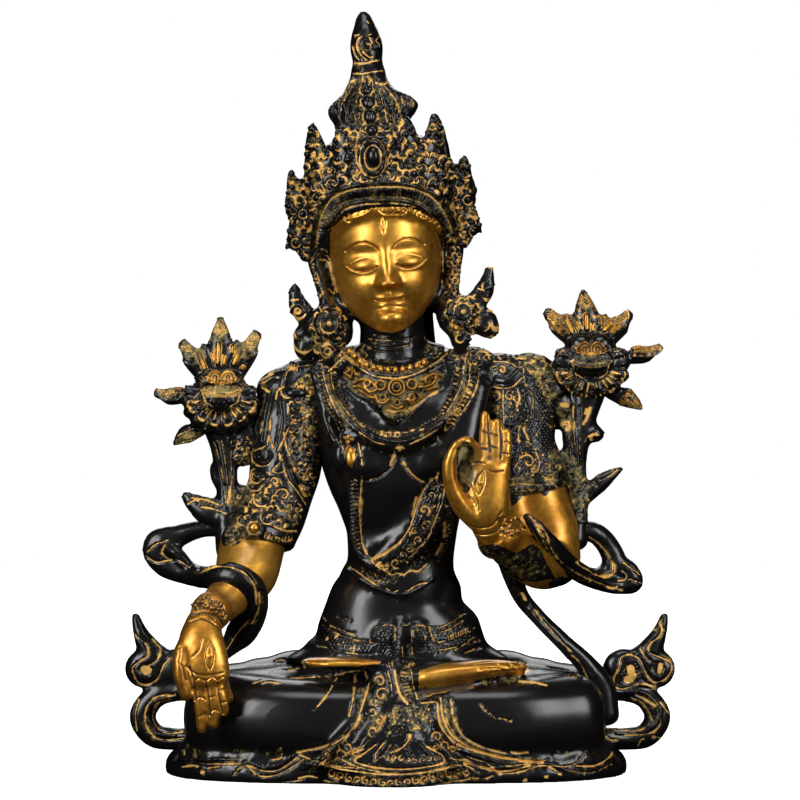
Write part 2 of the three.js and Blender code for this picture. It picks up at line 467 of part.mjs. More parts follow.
// Round earrings with a flame above and ribbons below, which rest on the shoulders.
function earrings() {
  const made = [];
  for (const s of [-1, 1])
    made.push(
      ball(s * 28, -5, 5, 9, 5, 9.4, 16),
      turned(0, 0, [[0, 0], [5.2, 0], [5.2, 2.4], [3.6, 3.4], [0, 3.6]], { sides: 12 }).rotateX(Math.PI / 2).translate(s * 28, -8, 5),
      leaf([s * 34, -2, 8], [s * 42.4 + 2, -1, 25.4], 9, 6, { bend: s * 2.4, foot: 1 }),
      leaf([s * 32, -2, 4], [s * 42 + 2, -1, -5], 14, 6, { bend: -s * 2, foot: 1, tip: 0.4 }),
      leaf([s * 29, -4, 1], [s * 28.6, -5, -12], 9, 6.4),
    );
  return made;
}

// The leaf crown: a band that dips to the ears, five tall leaves with small ones between, and side rosettes.
function crown() {
  const band = (radius, rise, half) => [-112, -84, -56, -28, 0, 28, 56, 84, 112].map((deg) => {
    const a = THREE.MathUtils.degToRad(deg);
    return [radius * Math.sin(a), 3 - radius * Math.cos(a), rise + 19 * Math.cos(a), half, 2.6];
  });
  const wall = [[0, 44], [29, 46], [33, 54], [33.4, 64], [32.4, 72], [29.6, 78], [24, 82.6], [16, 86], [0, 87]];
  const made = [
    sweep(band(30.6, 37, 3), { sides: 10, per: 3 }),
    sweep(band(31.6, 42.4, 3.4), { sides: 10, per: 3 }),
    turned(0, 3, wall, { sides: 36, deep: 0.92 }),
  ];
  // [degrees from the front, foot and tip heights above the middle of the neck, width, outward lean]
  const leaves = [[0, 60, 105, 28, -9], [26, 60, 91, 13, -1], [50, 50, 91.4, 19, 1.6], [88, 40, 73.6, 18, 2.6], [122, 42, 78, 22, 0], [158, 44, 80, 24, -1]];
  for (const [deg, foot, tip, wide, lean] of leaves)
    for (const s of deg ? [-1, 1] : [1]) {
      const stand = deg === 88 ? 35.4 : 32.6;
      const turn = (form) => form.rotateZ(THREE.MathUtils.degToRad(s * deg)).translate(0, 3, 0);
      made.push(turn(leaf([0, -stand, foot], [0, -stand - lean, tip], wide, 8, { belly: 0.4, foot: 0.9 })));
      const jewel = deg ? [3.4, 3, 4, 8] : [4.8, 3.4, 7.2, 12];
      if (deg === 0 || deg === 50) made.push(turn(ball(0, -stand - 3, foot + (tip - foot) * 0.34, ...jewel)));
    }
  made.push(ball(0, -26.4, 85, 2.6, 3, 3, 8), ball(0, -24, 94, 2.6, 3, 3.4, 8));
  for (const s of [-1, 1])
    made.push(
      ball(s * 36, -1, 46.6, 6, 5.4, 7, 12),
      leaf([s * 36, -1, 52], [s * 41.4, 0, 62], 7, 5),
      leaf([s * 36, -1, 46], [s * 43, 0, 40], 7, 5),
      ball(s * 33, -1, 38, 5, 5, 5, 10),
    );
  return made;
}

// The piled hair above the crown, with its side rolls, ring and bud-shaped jewel.
function topknot() {
  const top = HEAD_HEIGHT;
  const ring = [[0, 111], [6, 111.2], [7.6, 112.4], [7.9, 114.2], [7.2, 116.2], [6, 116.8], [0, 117]];
  const bud = [[0, 116], [5.2, 116.4], [6.6, 119], [7.5, 123], [7.2, 127], [5.6, 131.6], [3.4, 136.6], [2.2, top - 0.7], [0, top]];
  const made = [
    turned(-1, 2, [[0, 84], [16, 86], [16, 94], [14.6, 99], [12, 104], [9.4, 108.6], [7.4, 112], [0, 112]], { sides: 24 }),
    turned(-0.6, 2, ring, { sides: 20 }),
    turned(-0.3, 2, bud, { sides: 20 }),
  ];
  for (const s of [-1, 1]) made.push(sweep([[s * 6, 1, 101.6, 5, 7], [s * 13, 1, 98.6, 5, 6.4], [s * 17.4, 1, 96, 4.2, 5]], { sides: 12, per: 3, nose: 0.5 }));
  return made;
}

function leanHead(pieces) {
  const lean = new THREE.Matrix4().makeTranslation(NECK.x, NECK.y, NECK.z).multiply(new THREE.Matrix4().makeRotationY(HEAD_LEAN));
  return pieces.map((piece) => piece.applyMatrix4(lean));
}

const forms = [
  base(), ...legs(), ...feet(), ...apron(), ...hems(), ...torso(), ...belt(), ...rightArm(), ...leftArm(), ...jewellery(),
  ...lotus(LOTUS_RIGHT, 1), ...lotus(LOTUS_LEFT, -1), ...stems(), ...scarf(), ...curl(-1), ...curl(1),
  ...leanHead([...head(), ...earrings(), ...crown(), ...topknot()]),
];

// Everything below the underside is cut off level, and what the union seals inside is filled with metal.
const slab = new THREE.BoxGeometry(4 * HALF_WIDTH, 4 * HALF_DEPTH, 2 * HEIGHT).translate(0, 0, HEIGHT);
const joined = forms.map(solidOf).reduce((whole, form) => whole.add(form)).intersect(solidOf(slab));
const casting = joined.decompose().reduce((best, piece) => (piece.volume() > best.volume() ? piece : best));

const brass = new THREE.MeshStandardMaterial({ color: 0x17130f, roughness: 0.3, metalness: 0.6 });
const statue = new THREE.Mesh(lightened(casting, FACETS), brass);
statue.name = "statue";

const group = new THREE.Group();
group.add(statue);
export default group;
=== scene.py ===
"""A seated Buddhist goddess with a leaf crown and two lotuses, cast in brass in one piece with its thin base.

Black lacquer covers the casting. Dull gold is left in its carving, and the face, the hands, the soles and the tips
of the lotus leaves are gilt. The whole figure is one casting: it is divided here only so that each mesh stays light.
Millimetres are used until a mesh is made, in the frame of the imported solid: +Z up, the figure faces -Y.
"""

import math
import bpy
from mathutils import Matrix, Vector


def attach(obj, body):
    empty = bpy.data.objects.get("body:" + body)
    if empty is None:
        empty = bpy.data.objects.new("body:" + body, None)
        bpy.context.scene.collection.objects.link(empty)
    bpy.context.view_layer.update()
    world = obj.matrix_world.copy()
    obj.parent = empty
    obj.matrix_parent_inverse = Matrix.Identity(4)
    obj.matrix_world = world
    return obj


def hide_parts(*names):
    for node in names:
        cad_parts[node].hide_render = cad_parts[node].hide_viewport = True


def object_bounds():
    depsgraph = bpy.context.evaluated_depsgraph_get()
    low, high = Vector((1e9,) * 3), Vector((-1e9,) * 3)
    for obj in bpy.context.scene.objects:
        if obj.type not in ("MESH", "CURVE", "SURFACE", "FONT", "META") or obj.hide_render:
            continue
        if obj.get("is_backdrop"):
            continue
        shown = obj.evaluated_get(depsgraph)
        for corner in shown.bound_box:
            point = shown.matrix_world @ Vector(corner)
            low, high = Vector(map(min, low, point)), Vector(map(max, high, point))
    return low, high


bl_info = {
    "name": "Lacquered goddess",
    "version": (1, 0, 0),
    "blender": (4, 5, 0),
    "location": "View3D > Sidebar > Goddess",
    "description": "Builds a lacquered brass figure round its packed solid",
    "category": "Object",
}

import bpy
import numpy as np
from mathutils import Vector

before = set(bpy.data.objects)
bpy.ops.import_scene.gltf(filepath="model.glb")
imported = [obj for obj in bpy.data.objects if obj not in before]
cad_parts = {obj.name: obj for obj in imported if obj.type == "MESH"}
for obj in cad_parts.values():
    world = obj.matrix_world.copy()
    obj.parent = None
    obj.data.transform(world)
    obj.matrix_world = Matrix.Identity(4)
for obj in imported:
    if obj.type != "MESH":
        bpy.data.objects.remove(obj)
CAD_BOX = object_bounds()

NECK = np.array([-3.2, -3.0, 190.0])
HEAD_LEAN = math.radians(-5.1)
BASE_HALF_WIDTH, BASE_SHIFT, BASE_THICK, BASE_FRONT, BASE_BACK = 100.2, -1.7, 8.0, -47.0, 58.0
BASE_MIDDLE, BASE_DEPTH, BASE_POWER = (BASE_FRONT + BASE_BACK) / 2, (BASE_BACK - BASE_FRONT) / 2, 3.0
CURL_EDGE = 119.6
HEAD_HEIGHT = 140.5
FRONT_BACK, UP = (0.0, 1.0, 0.0), (0.0, 0.0, 1.0)
# Each lotus: its middle, and the tips of its leaves as (x, z) from there: tall, inward, outward, level, hanging.
LOTUS_RIGHT = (82.4, -4, 176), ((-3.1, 32), (-19, 23.4), (17.2, 22.6), (30.4, 7.8), (22.2, -18.8))
LOTUS_LEFT = (-77.6, -4, 160), ((-0.1, 36.4), (15.8, 30), (-16.7, 25.8), (-28.2, 4.2), (-19.8, -18))


# ---- forms: each is (points, triangles) of one closed body ----
def spline(points, t):
    """The smooth curve through points, at parameters t from 0 to 1."""
    p = np.asarray(points, float)
    last = len(p) - 1
    p = np.vstack([2 * p[0] - p[1], p, 2 * p[-1] - p[-2]])
    at = np.clip(np.asarray(t, float), 0, 1) * last
    i = np.minimum(at.astype(int), last - 1)
    w = (at - i)[:, None]
    a, b, c, d = (p[i + k] for k in range(4))
    gap = lambda m, n: np.linalg.norm(n - m, axis=1)[:, None] ** 0.5
    ab, bc, cd = gap(a, b), gap(b, c), gap(c, d)
    bc = np.where(bc < 1e-4, 1, bc)
    ab, cd = np.where(ab < 1e-4, bc, ab), np.where(cd < 1e-4, bc, cd)
    m = ((b - a) / ab - (c - a) / (ab + bc) + (c - b) / bc) * bc
    n = ((c - b) / bc - (d - b) / (bc + cd) + (d - c) / cd) * bc
    return b + m * w + (3 * (c - b) - 2 * m - n) * w**2 + (2 * (b - c) + m + n) * w**3


def closed_rings(rings, start, end):
    """Joins rings of points into one body, closed by a point at each end."""
    count, sides = rings.shape[:2]
    i, j = np.meshgrid(np.arange(count - 1), np.arange(sides), indexing="ij")
    a, b = (i * sides + j).ravel(), (i * sides + (j + 1) % sides).ravel()
    tris = np.vstack([np.column_stack([a, b, a + sides]), np.column_stack([b, b + sides, a + sides])])
    low, high = count * sides, count * sides + 1
    j = np.arange(sides)
    k = (j + 1) % sides
    top = (count - 1) * sides
    ends = np.vstack([np.column_stack([k, j, np.full(sides, low)]), np.column_stack([j + top, k + top, np.full(sides, high)])])
    return np.vstack([rings.reshape(-1, 3), start, end]), np.vstack([tris, ends])


def sweep(stations, sides=14, per=4, axis=FRONT_BACK, power=2.0, nose=0.8):
    """A closed tube of oval sections, from stations (x, y, z, half width, half depth)."""
    stations = np.asarray(stations, float)
    sides, per, caps = sides * 2, per * 2, 6 if nose else 0
    t = np.linspace(0, 1, per * (len(stations) - 1) + 1)
    turn = np.pi / 2 * np.arange(1, caps + 1) / (caps + 1)
    t = np.concatenate([np.zeros(caps), t, np.ones(caps)])
    close = np.concatenate([turn[::-1], np.zeros(len(t) - 2 * caps), turn])
    away = np.concatenate([-np.sin(turn[::-1]), np.zeros(len(t) - 2 * caps), np.sin(turn)])
    centre = spline(stations[:, :3], t)
    tangent = spline(stations[:, :3], t + 1e-4) - spline(stations[:, :3], t - 1e-4)
    tangent /= np.linalg.norm(tangent, axis=1)[:, None]
    half = spline(np.column_stack([stations[:, 3:5], np.zeros(len(stations))]), t)[:, :2]
    centre = centre + tangent * (away * nose * half.min(1))[:, None]
    across = np.cross(np.array(axis), tangent)
    across /= np.linalg.norm(across, axis=1)[:, None]
    deep = np.cross(tangent, across)
    a = 2 * np.pi * np.arange(sides) / sides
    bent = lambda v: np.sign(v) * np.abs(v) ** (2 / power)
    w = half[:, :1] * np.cos(close)[:, None] * bent(np.cos(a))
    d = half[:, 1:] * np.cos(close)[:, None] * bent(np.sin(a))
    rings = centre[:, None] + across[:, None] * w[..., None] + deep[:, None] * d[..., None]
    ends = [centre[k] + s * tangent[k] * nose * half[k].min() * (1 - np.sin(turn[-1]) if caps else 0) for k, s in ((0, -1), (-1, 1))]
    return closed_rings(rings, ends[0], ends[1])


def ball(x, y, z, rx, ry, rz, sides=12):
    return moved(turned(0, 0, [(math.sin(a), -math.cos(a)) for a in np.linspace(0, math.pi, sides + 3)], sides), (x, y, z), (rx, ry, rz))


def turned(x, y, profile, sides=28, deep=1.0):
    """A turned form on an upright axis through (x, y), from (radius, z) pairs that start and end on the axis."""
    profile = np.asarray(profile, float)
    a = 2 * np.pi * np.arange(sides * 2) / (sides * 2)
    rings = np.stack([x + profile[1:-1, :1] * np.cos(a), y + profile[1:-1, :1] * np.sin(a) * deep, np.repeat(profile[1:-1, 1:], len(a), 1)], -1)
    return closed_rings(rings, (x, y, profile[0, 1]), (x, y, profile[-1, 1]))


def leaf(start, end, wide, thick, belly=0.45, bend=0.0, foot=0.6, tip=0.24):
    """A leaf with a low ridge down each face, widest at belly of its length, bowed sideways by bend."""
    a, b = np.array(start, float), np.array(end, float)
    side = np.cross(FRONT_BACK, b - a)
    side /= np.linalg.norm(side)
    rows = []
    for t, w, d in ((0, foot, 0.8), (belly, 1, 1), (0.8, 0.66, 0.75), (1, tip, 0.45)):
        rows.append([*(a + (b - a) * t + side * bend * math.sin(math.pi * t)), wide / 2 * w, thick / 2 * d])
    return sweep(rows, sides=10, per=4)


def moved(form, at=(0, 0, 0), scale=(1, 1, 1), turn=0.0):
    """The form scaled, turned about the upright axis by turn, in degrees, and set at a place."""
    points, tris = form
    c, s = math.cos(math.radians(turn)), math.sin(math.radians(turn))
    points = points * np.array(scale) @ np.array([[c, s, 0], [-s, c, 0], [0, 0, 1]]) + np.array(at)
    return points, tris if np.prod(scale) > 0 else tris[:, ::-1]


def mirrored(forms):
    return [moved(form, scale=(-1, 1, 1)) for form in forms]


def leaned(points, back=False):
    """Points of the upright head brought to where the head is, or the other way with back."""
    c, s = math.cos(HEAD_LEAN), math.sin(HEAD_LEAN)
    lean = np.array([[c, 0, -s], [0, 1, 0], [s, 0, c]])
    return (points - NECK) @ lean.T if back else points @ lean + NECK


def lean_all(forms):
    return [(leaned(points), tris) for points, tris in forms]


def merged(forms):
    count = np.cumsum([0] + [len(p) for p, _ in forms[:-1]])
    return np.vstack([p for p, _ in forms]), np.vstack([t + n for (_, t), n in zip(forms, count)])


# ---- the figure's forms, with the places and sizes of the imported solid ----
def base_front(off):
    """Where the base's front edge lies at a distance off from its middle, as a y."""
    return BASE_MIDDLE - BASE_DEPTH * (1 - abs(off / BASE_HALF_WIDTH) ** BASE_POWER) ** (1 / BASE_POWER)


def base_forms():
    levels = ((0, 1), (0.6, 1), (0.85, 0.99), (1, 0.97))
    slab = [[BASE_SHIFT, BASE_MIDDLE, BASE_THICK * z, BASE_HALF_WIDTH * s, BASE_DEPTH * s] for z, s in levels]
    band = [[BASE_SHIFT, BASE_MIDDLE, z, BASE_HALF_WIDTH - a, BASE_DEPTH - b] for z, a, b in ((7, 4.4, 3.4), (11.5, 5.4, 4.4), (14.6, 9, 8))]
    made = [sweep(slab, 56, 1, power=BASE_POWER, nose=0), sweep(band, 48, 1, power=BASE_POWER, nose=0)]
    for side in (-1, 1):
        for z, inset in ((13, 5.4), (8.8, 2.8)):
            line = [[BASE_SHIFT + side * off, base_front(off) + inset, z + (1.2 if i % 2 else -1.2), 1.8, 2.6]
                    for i, off in enumerate((27, 38, 49, 60, 70, 79, 87, 92))]
            made.append(sweep(line, 8, 3))
    return made


def leg_forms():
    made = []
    for side, knee in ((-1, 75.5), (1, 71)):
        thigh = [[20, 14, 36, 18, 26], [46, 4, 30.5, 16.5, 26], [knee - 3, -12, 27, 18, 24]]
        shin = [[knee, -18, 26, 19, 21], [48, -30, 25.5, 17.5, 17], [12, -34, 25, 16, 13]]
        made += [sweep([[side * x, *rest] for x, *rest in limb], 24, 6, power=2.5, nose=0.85) for limb in (thigh, shin)]
    lap = [[-1, 10, 4, 84, 44], [-1, 8, 24, 76, 40], [-1, 5, 40, 56, 34], [-1, 4, 48, 44, 29], [-1, 4, 54, 36, 25]]
    made.append(sweep(lap, 36, 2, nose=0))
    for x, z, wide, tall in ((44, 43, 17, 8.4), (57, 41.4, 16, 6.8), (70, 40.2, 14, 5.4)):
        made += [ball(side * x, 16, z, wide, 15, tall) for side in (-1, 1)]
    made.append(sweep([[5, -36, 43.5, 5.4, 9], [22, -38, 46, 5, 9], [38, -36, 48, 3.8, 8], [52.5, -31, 48.4, 1.8, 6]], 14, 3))
    made.append(sweep([[-6, -31, 49.6, 2.6, 8], [-26, -33, 49.6, 3, 9], [-40, -29, 50, 2, 7]], 12, 3))
    return made


def apron_forms():
    fall = [[-1, -27, 50, 11, 6], [-2, -36, 38, 12, 8], [-3, -41, 26, 15, 9], [-3, -44, 13, 24, 10], [-3, -44.5, 5, 32, 12.4]]
    hem = [[-3, -26, 0, 36, 32], [-3, -26, 3.5, 36, 32], [-3, -26.4, 6.5, 34.5, 30], [-3, -27, 8.4, 31, 26.4]]
    made = [sweep(fall, 24, 3, nose=0, power=2.3), sweep(hem, 40, 1, nose=0)]
    for x, spread in ((-11, -30), (-6, -18), (-1.5, -6), (2.5, 7), (7, 19)):
        ridge = [[x * 0.6, -36, 45, 1.6, 3], [x + spread * 0.25, -46.5, 27, 1.9, 3], [x + spread * 0.6, -51, 15, 2, 3], [x + spread, -52, 7, 2, 3]]
        made.append(sweep(ridge, 8, 3))
    return made


def torso_forms():
    body = [
        [-1, 4, 47, 52, 27], [-1, 4, 50.6, 46, 27], [-1, 4, 54, 40.4, 26.4], [-1, 4, 58.6, 37, 25.4], [-1.8, 3, 66, 34, 23.6], [-2, 2, 74, 29.4, 21.4], [-1.2, 1.4, 80, 26, 19.8],
        [-0.4, 1, 86, 23.2, 18.6], [0.2, 0, 92, 22.3, 18], [0.8, 0, 104, 24, 19], [0.4, 0, 116, 27.5, 21], [-0.5, 0, 130, 32.5, 23],
        [-0.5, 1, 143, 37, 22], [0, 2, 155, 43, 19.5], [0, 3, 166, 46, 15], [-1, 3, 175, 35, 13], [-1.5, 3, 181, 26, 11.4],
        [-1.6, 3, 185.4, 19, 10],
    ]
    bodice = [[-1.6, 0.6, 78.5, 25.6, 20.6], [-0.2, 0.4, 83, 24.4, 20], [0.2, 0, 92, 23, 19], [0.8, 0, 104, 24, 19]]
    neck = [[-1.5, 1, 168, 22, 16], [-1.7, 0, 176, 16.5, 14.5], [-2, -1, 182, 14, 13.5], [-2.5, -2, 190, 13.4, 13.2], [-3, -2, 202, 14, 14]]
    tail = [[0, -20, 66, 3, 2.4], [0, -23.4, 61, 3.4, 2.6], [-0.6, -28, 54, 3.2, 3], [-1, -35, 47, 3.6, 3]]
    made = [sweep(body, 32, 2, nose=0, power=2.2), sweep(bodice, 32, 2, nose=0, power=2.2), sweep(neck, 20, 2, nose=0)]
    made += [ball(x, -13.6, 134.5, 13.6, 10.6, 12.4, 20) for x in (-14.5, 13.5)]
    made += [ball(-6.8, -18.6, 60, 5.6, 4.6, 6.6), ball(7.6, -18.6, 60, 6, 4.6, 6.8), sweep(tail, 8, 2)]
    made += [ball(-26, -2, 176, 13, 7, 9), ball(30, 0, 177, 13, 8, 7.6), ball(18.2, 2, 77, 8.8, 15, 11)]
    return made


def jewel_forms():
    collar = [[-22, -6, 182.5, 2, 2], [-13, -15.5, 176, 2.2, 2.2], [-3, -18, 173.5, 2.2, 2.2], [8.5, -15.5, 176, 2.2, 2.2], [17.6, -6, 182.5, 2, 2]]
    pearls = [
        [-35, -6, 177, 2.4, 2.4], [-28.5, -16, 160, 2.4, 2.4], [-17, -24, 147.5, 2.4, 2.4], [-2, -23, 141.5, 2.4, 2.4],
        [13, -24, 147, 2.4, 2.4], [23.5, -17, 160, 2.4, 2.4], [29, -6, 177, 2.4, 2.4],
    ]
    side = [[-38, -8, 174, 2, 2], [-31, -17, 150, 2, 2], [-22, -18.5, 130, 2, 2], [-20.4, -17.5, 112, 2, 2], [-19, -17, 97, 2, 2], [-12, -18.6, 88, 2, 2]]
    sash = [[33, -9, 168, 7, 4], [26, -17, 146, 8.5, 4], [18, -17.6, 122, 9.5, 4], [5, -18, 102, 8.5, 4], [-11, -17.6, 90, 5, 3.4]]
    pendant = [[-3, -15.5, 173, 17, 4], [-3, -18.5, 166, 14, 4.4], [-3, -20.4, 159, 8, 3.6], [-3, -21, 154, 3, 2.6]]
    return [sweep(collar, 10, 4), sweep(pearls, 10, 4), sweep(side, 10, 3), sweep(sash, 14, 4), sweep(pendant, 14, 3),
            ball(-25.6, -19.6, 137, 3.2, 3.2, 7)]


def finger(knuckle, middle, tip, thick):
    return sweep([[*knuckle, thick, thick], [*middle, thick * 0.97, thick * 0.97], [*tip, thick * 0.76, thick * 0.76]], 10, 3, nose=1)


def sleeve_forms():
    low = [[-30, 4, 176, 5, 7], [-42, 3, 168, 12, 11.5], [-47.5, 1, 152, 16.4, 14.6], [-50, 0, 130, 15.6, 15.2], [-52, -1, 121.6, 14.6, 15.2],
           [-56, -4, 111, 15.2, 15.8], [-60, -7, 102, 15, 16], [-60.4, -8, 97.8, 15, 16.4]]
    high = [[34, 4, 177, 5, 7], [46, 3, 170, 12, 11.5], [52, 2, 155, 16, 14.4], [53.8, 1, 141, 13.8, 14],  [58.5, 0, 126, 15.6, 15], [59.5, 0, 121, 16, 15.4]]
    caps = [ball(-47, 2, 165, 16, 11, 11), ball(51, 2, 168, 17, 11, 12), ball(56, 1, 170.4, 14, 9, 11.4), ball(64, 1, 166, 11, 8, 11)]
    return [sweep(low, 24, 3, nose=0), sweep(high, 24, 3, nose=0), ball(-62.5, -24, 106, 4.2, 3, 4.2), ball(-70.4, -15, 101.6, 6.6, 9, 6.6), *caps]


def lowered_hand_forms():
    """The arm that reaches down over the knee, with the palm turned out in giving."""
    arm = [[-58, -4, 110, 11.4, 12.6], [-63.8, -9, 97, 14, 14.2], [-66, -17, 87, 13.6, 13], [-73.6, -31, 77, 9, 8.8], [-81.5, -41.5, 70, 7.2, 6.8]]
    palm = [[-82.5, -43.5, 68, 7.4, 6.4], [-83, -48, 60, 9.8, 6], [-81.5, -49.8, 51, 10.2, 5.4], [-80, -50.2, 44, 9.4, 4.6]]
    thumb = [[-86, -45.5, 63, 4, 4], [-90.5, -50, 56, 4, 4.2], [-91.6, -52.5, 47, 3.1, 3.1], [-89.4, -52, 38, 2.6, 2.6]]
    bracelet = [[-77, -37, 74.6, 7.6, 7.4], [-78.6, -39.4, 72.8, 8.6, 8.4], [-81.4, -42.4, 70, 8.4, 8]]
    made = [sweep(arm, 22, 4), sweep(palm, 16, 3), sweep(thumb, 10, 3, nose=1), sweep(bracelet, 20, 2, nose=0)]
    for x, y, tip in ((-84, -50.6, 21.4), (-78.8, -51.6, 23.6), (-74.6, -51, 28.6), (-72.6, -47.6, 34)):
        made.append(finger((x * 0.6 - 32, y + 1, 47), (x + 0.4, y, 37), (x + 1.2, y + 0.8, tip + 2), 2.75))
    return made


def raised_hand_forms():
    """The raised arm: the hand teaches, with the tips of thumb and forefinger together."""
    upper = [[57.5, 0, 126, 14, 12], [59.6, -2, 115, 14.6, 12], [63.6, -5, 104, 14.2, 12], [67, -9, 92.5, 11.2, 10.6]]
    fore = [[67, -9, 91.5, 11, 11], [60, -19, 91, 11, 10.6], [49, -30.5, 97, 9.4, 9.2], [38.5, -39.5, 106, 7.6, 7.2]]
    palm = [[38, -40.5, 106.5, 7.4, 6.4], [36.8, -43.5, 113.5, 9.4, 6], [36.4, -45, 123, 9.8, 5.4], [37.6, -45.5, 133, 9, 4.6]]
    thumb = [[32, -44.5, 110.5, 4.4, 4.6], [26, -48.5, 116.5, 4.3, 4.2], [21.6, -51.5, 125, 3.4, 3.3], [20.4, -53, 134, 3, 3], [22, -53.6, 139.6, 2.4, 2.4]]
    index = [[31.4, -46, 132, 2.8, 2.8], [31, -49, 140, 2.7, 2.7], [28, -52.4, 143.8, 2.5, 2.5], [23.4, -53.8, 142.4, 2, 2]]
    bracelet = [[43.5, -34.6, 101.4, 9.6, 9], [42, -36.6, 103, 10.2, 9.6], [39.4, -39, 105.4, 9.2, 8.6]]
    made = [sweep(upper, 20, 3), sweep(fore, 20, 4), sweep(palm, 16, 3), sweep(thumb, 10, 3, UP, nose=1), sweep(index, 10, 3, UP, nose=1),
            sweep(bracelet, 20, 2, nose=0), ball(28.6, -44.4, 130, 6.4, 3, 13)]
    for x, tip in ((35.2, 156.6), (40, 153.6), (44.4, 149.4)):
        made.append(finger((x * 0.85 + 5.4, -45.5, 130), (x, -46, 140), (x + 0.4, -45.2, tip - 2), 2.7))
    return made


def lotus_forms(lotus, out):
    """One lotus with its leaves, for the side given by out: +1 for the viewer's right."""
    (x, y, z), tips = lotus
    made = [ball(x, y, z, 15, 6, 12.6, 20), ball(x, y - 3.4, z + 1.4, 10.6, 6.6, 6.4, 16)]
    made += [ball(x + s * 4, y - 4, z + 9, 5.6, 4.4, 4.6, 10) for s in (-1, 1)]
    for i in range(11):
        a = math.pi * (0.86 + 0.128 * i)
        dx, dz = math.cos(a), math.sin(a)
        petal = [[x + 9 * dx, y - 4.4, z + 7.4 * dz, 2, 2], [x + 14.4 * dx, y - 3.4, z + 12 * dz, 2.6, 2.4], [x + 15 * dx, y - 2, z + 12.8 * dz, 2.4, 2.2]]
        made.append(sweep(petal, 8, 1))
    tip = lambda k: (x + tips[k][0], y + 1, z + tips[k][1])
    between = lambda k: (x + (tips[0][0] + tips[k][0]) * 0.46, y + 1, z + (tips[0][1] + tips[k][1]) * 0.4)
    made += [
        leaf((x, y, z + 7), tip(0), 12, 7, belly=0.5, foot=0.9), leaf((x - out * 4, y, z + 8), tip(1), 10, 6, belly=0.62, foot=0.8, tip=0.5),
        leaf((x + out * 4, y, z + 8), tip(2), 10, 6, belly=0.62, foot=0.8, tip=0.5), leaf((x - out * 3, y, z + 8), between(1), 9, 6),
        leaf((x + out * 3, y, z + 8), between(2), 9, 6), leaf((x + out * 12, y, z + 2.6), tip(3), 8, 6, belly=0.6, bend=out * 1.0, tip=0.56),
        leaf((x + out * 8, y + 1, z - 12), tip(4), 8.6, 6, bend=-out * 1.4),
    ]
    return made


def stem_forms():
    left = [[-78, -2, 150, 8, 5], [-77, -1, 140, 5.2, 4.6], [-75.4, -1, 124, 4.2, 4.4], [-75, -4, 108, 5.4, 5.4], [-74, -7, 96, 5.6, 5.6]]
    right = [[81.6, -1, 165, 8, 5], [79.5, -1, 152, 5.4, 4.6], [76.5, -1, 136, 4.6, 4.4], [76.5, -2, 118, 5, 5], [76, -4, 100, 5.4, 5.4]]
    climbing = [
        [89, -6, 24, 6, 5], [87, -6, 36, 6.4, 5], [81, -8, 46, 4.8, 4.6], [71, -9, 56, 3.8, 4], [59.5, -11, 67.5, 3.5, 4],
        [52, -14, 76.6, 3.7, 4], [47.6, -20, 88, 4.6, 4.8], [46, -27, 95, 5.4, 5.4],
    ]
    return [
        sweep(left, 12, 3), sweep(right, 12, 3), sweep(climbing, 12, 3), leaf((-71, -5, 110), (-93.4, -2, 120), 13, 6.4, bend=-2.4, tip=0.34),
        leaf((-77, -2, 121), (-82.4, 0, 133), 5, 5), leaf((79, -3, 116.6), (96.4, -1, 131.4), 8, 6, bend=-1.4),
        ball(84, -1, 146, 4.8, 4, 3.6), leaf((80, -2, 151), (88, 0, 146), 6, 5, tip=0.6), ball(-68.6, 0, 114, 6, 5, 9), ball(-67, 0, 143.6, 7, 5, 10), ball(-68, 0, 137, 6, 4, 5), ball(-64, 0, 153, 5, 4, 5), ball(-68, 0, 119.6, 6, 4, 4.8), ball(-73.6, 0, 128, 3.2, 4, 8),
        ball(70, 0, 121.6, 7, 5, 18), ball(68, 1, 160, 8, 6, 12), ball(73.6, 0, 146, 3.4, 4, 10),
    ]


def scarf_forms():
    """A loop stands out behind each elbow, and the scarf's ends wrap the forearms."""
    left_loop = [[-72, -2, 105, 4.5, 4], [-84, -1, 105.4, 3.8, 4], [-96, 0, 102, 5, 4], [-104, 0, 97, 8, 4], [-101, 0, 90.6, 7, 4], [-92, -2, 86, 5.2, 4.4], [-82, -10, 84, 4.6, 5]]
    wrap = [
        [-86, -12, 84, 4, 4.4], [-79, -29, 86, 5, 4.2], [-69, -33.6, 86, 6, 4.6], [-63, -31.4, 81, 6.2, 5],
        [-61.8, -27, 74, 6, 5], [-64.4, -22, 67, 6.6, 4.8], [-68, -19, 61.6, 6.8, 4.6], [-72.4, -17, 56, 4.6, 4.6],
        [-75.6, -16, 52, 3, 4.6],
    ]
    right_loop = [[74, -3, 104, 4.5, 4.5], [84, -2, 103.6, 4.6, 4.5], [90.6, 0, 97, 5, 4.2], [93, 0, 89.6, 5.4, 4.2], [87, -2, 84.4, 4.2, 4.4], [79, -8, 85.4, 4, 5]]
    right_end = [[91.6, 0, 90.4, 4.4, 4], [98.4, 0, 87, 4.8, 4.4], [101, 0, 82, 4.8, 4], [94.6, -1, 80.4, 3.8, 4], [83.4, -6, 83.6, 4.2, 4.4], [74, -17, 89, 4.4, 4.6], [65.6, -27, 97.4, 4.4, 4], [57.6, -32.6, 107, 3.4, 3.2], [53.4, -34, 112, 1.8, 2]]
    return [sweep(left_loop, 12, 4), sweep([[-103, -2, 99, 2.6, 3], [-96, -3, 94, 3, 3.4], [-90, -4, 87, 2.4, 3]], 8, 3), sweep(wrap, 12, 3),
            sweep(right_loop, 12, 4), sweep(right_end, 12, 3)]


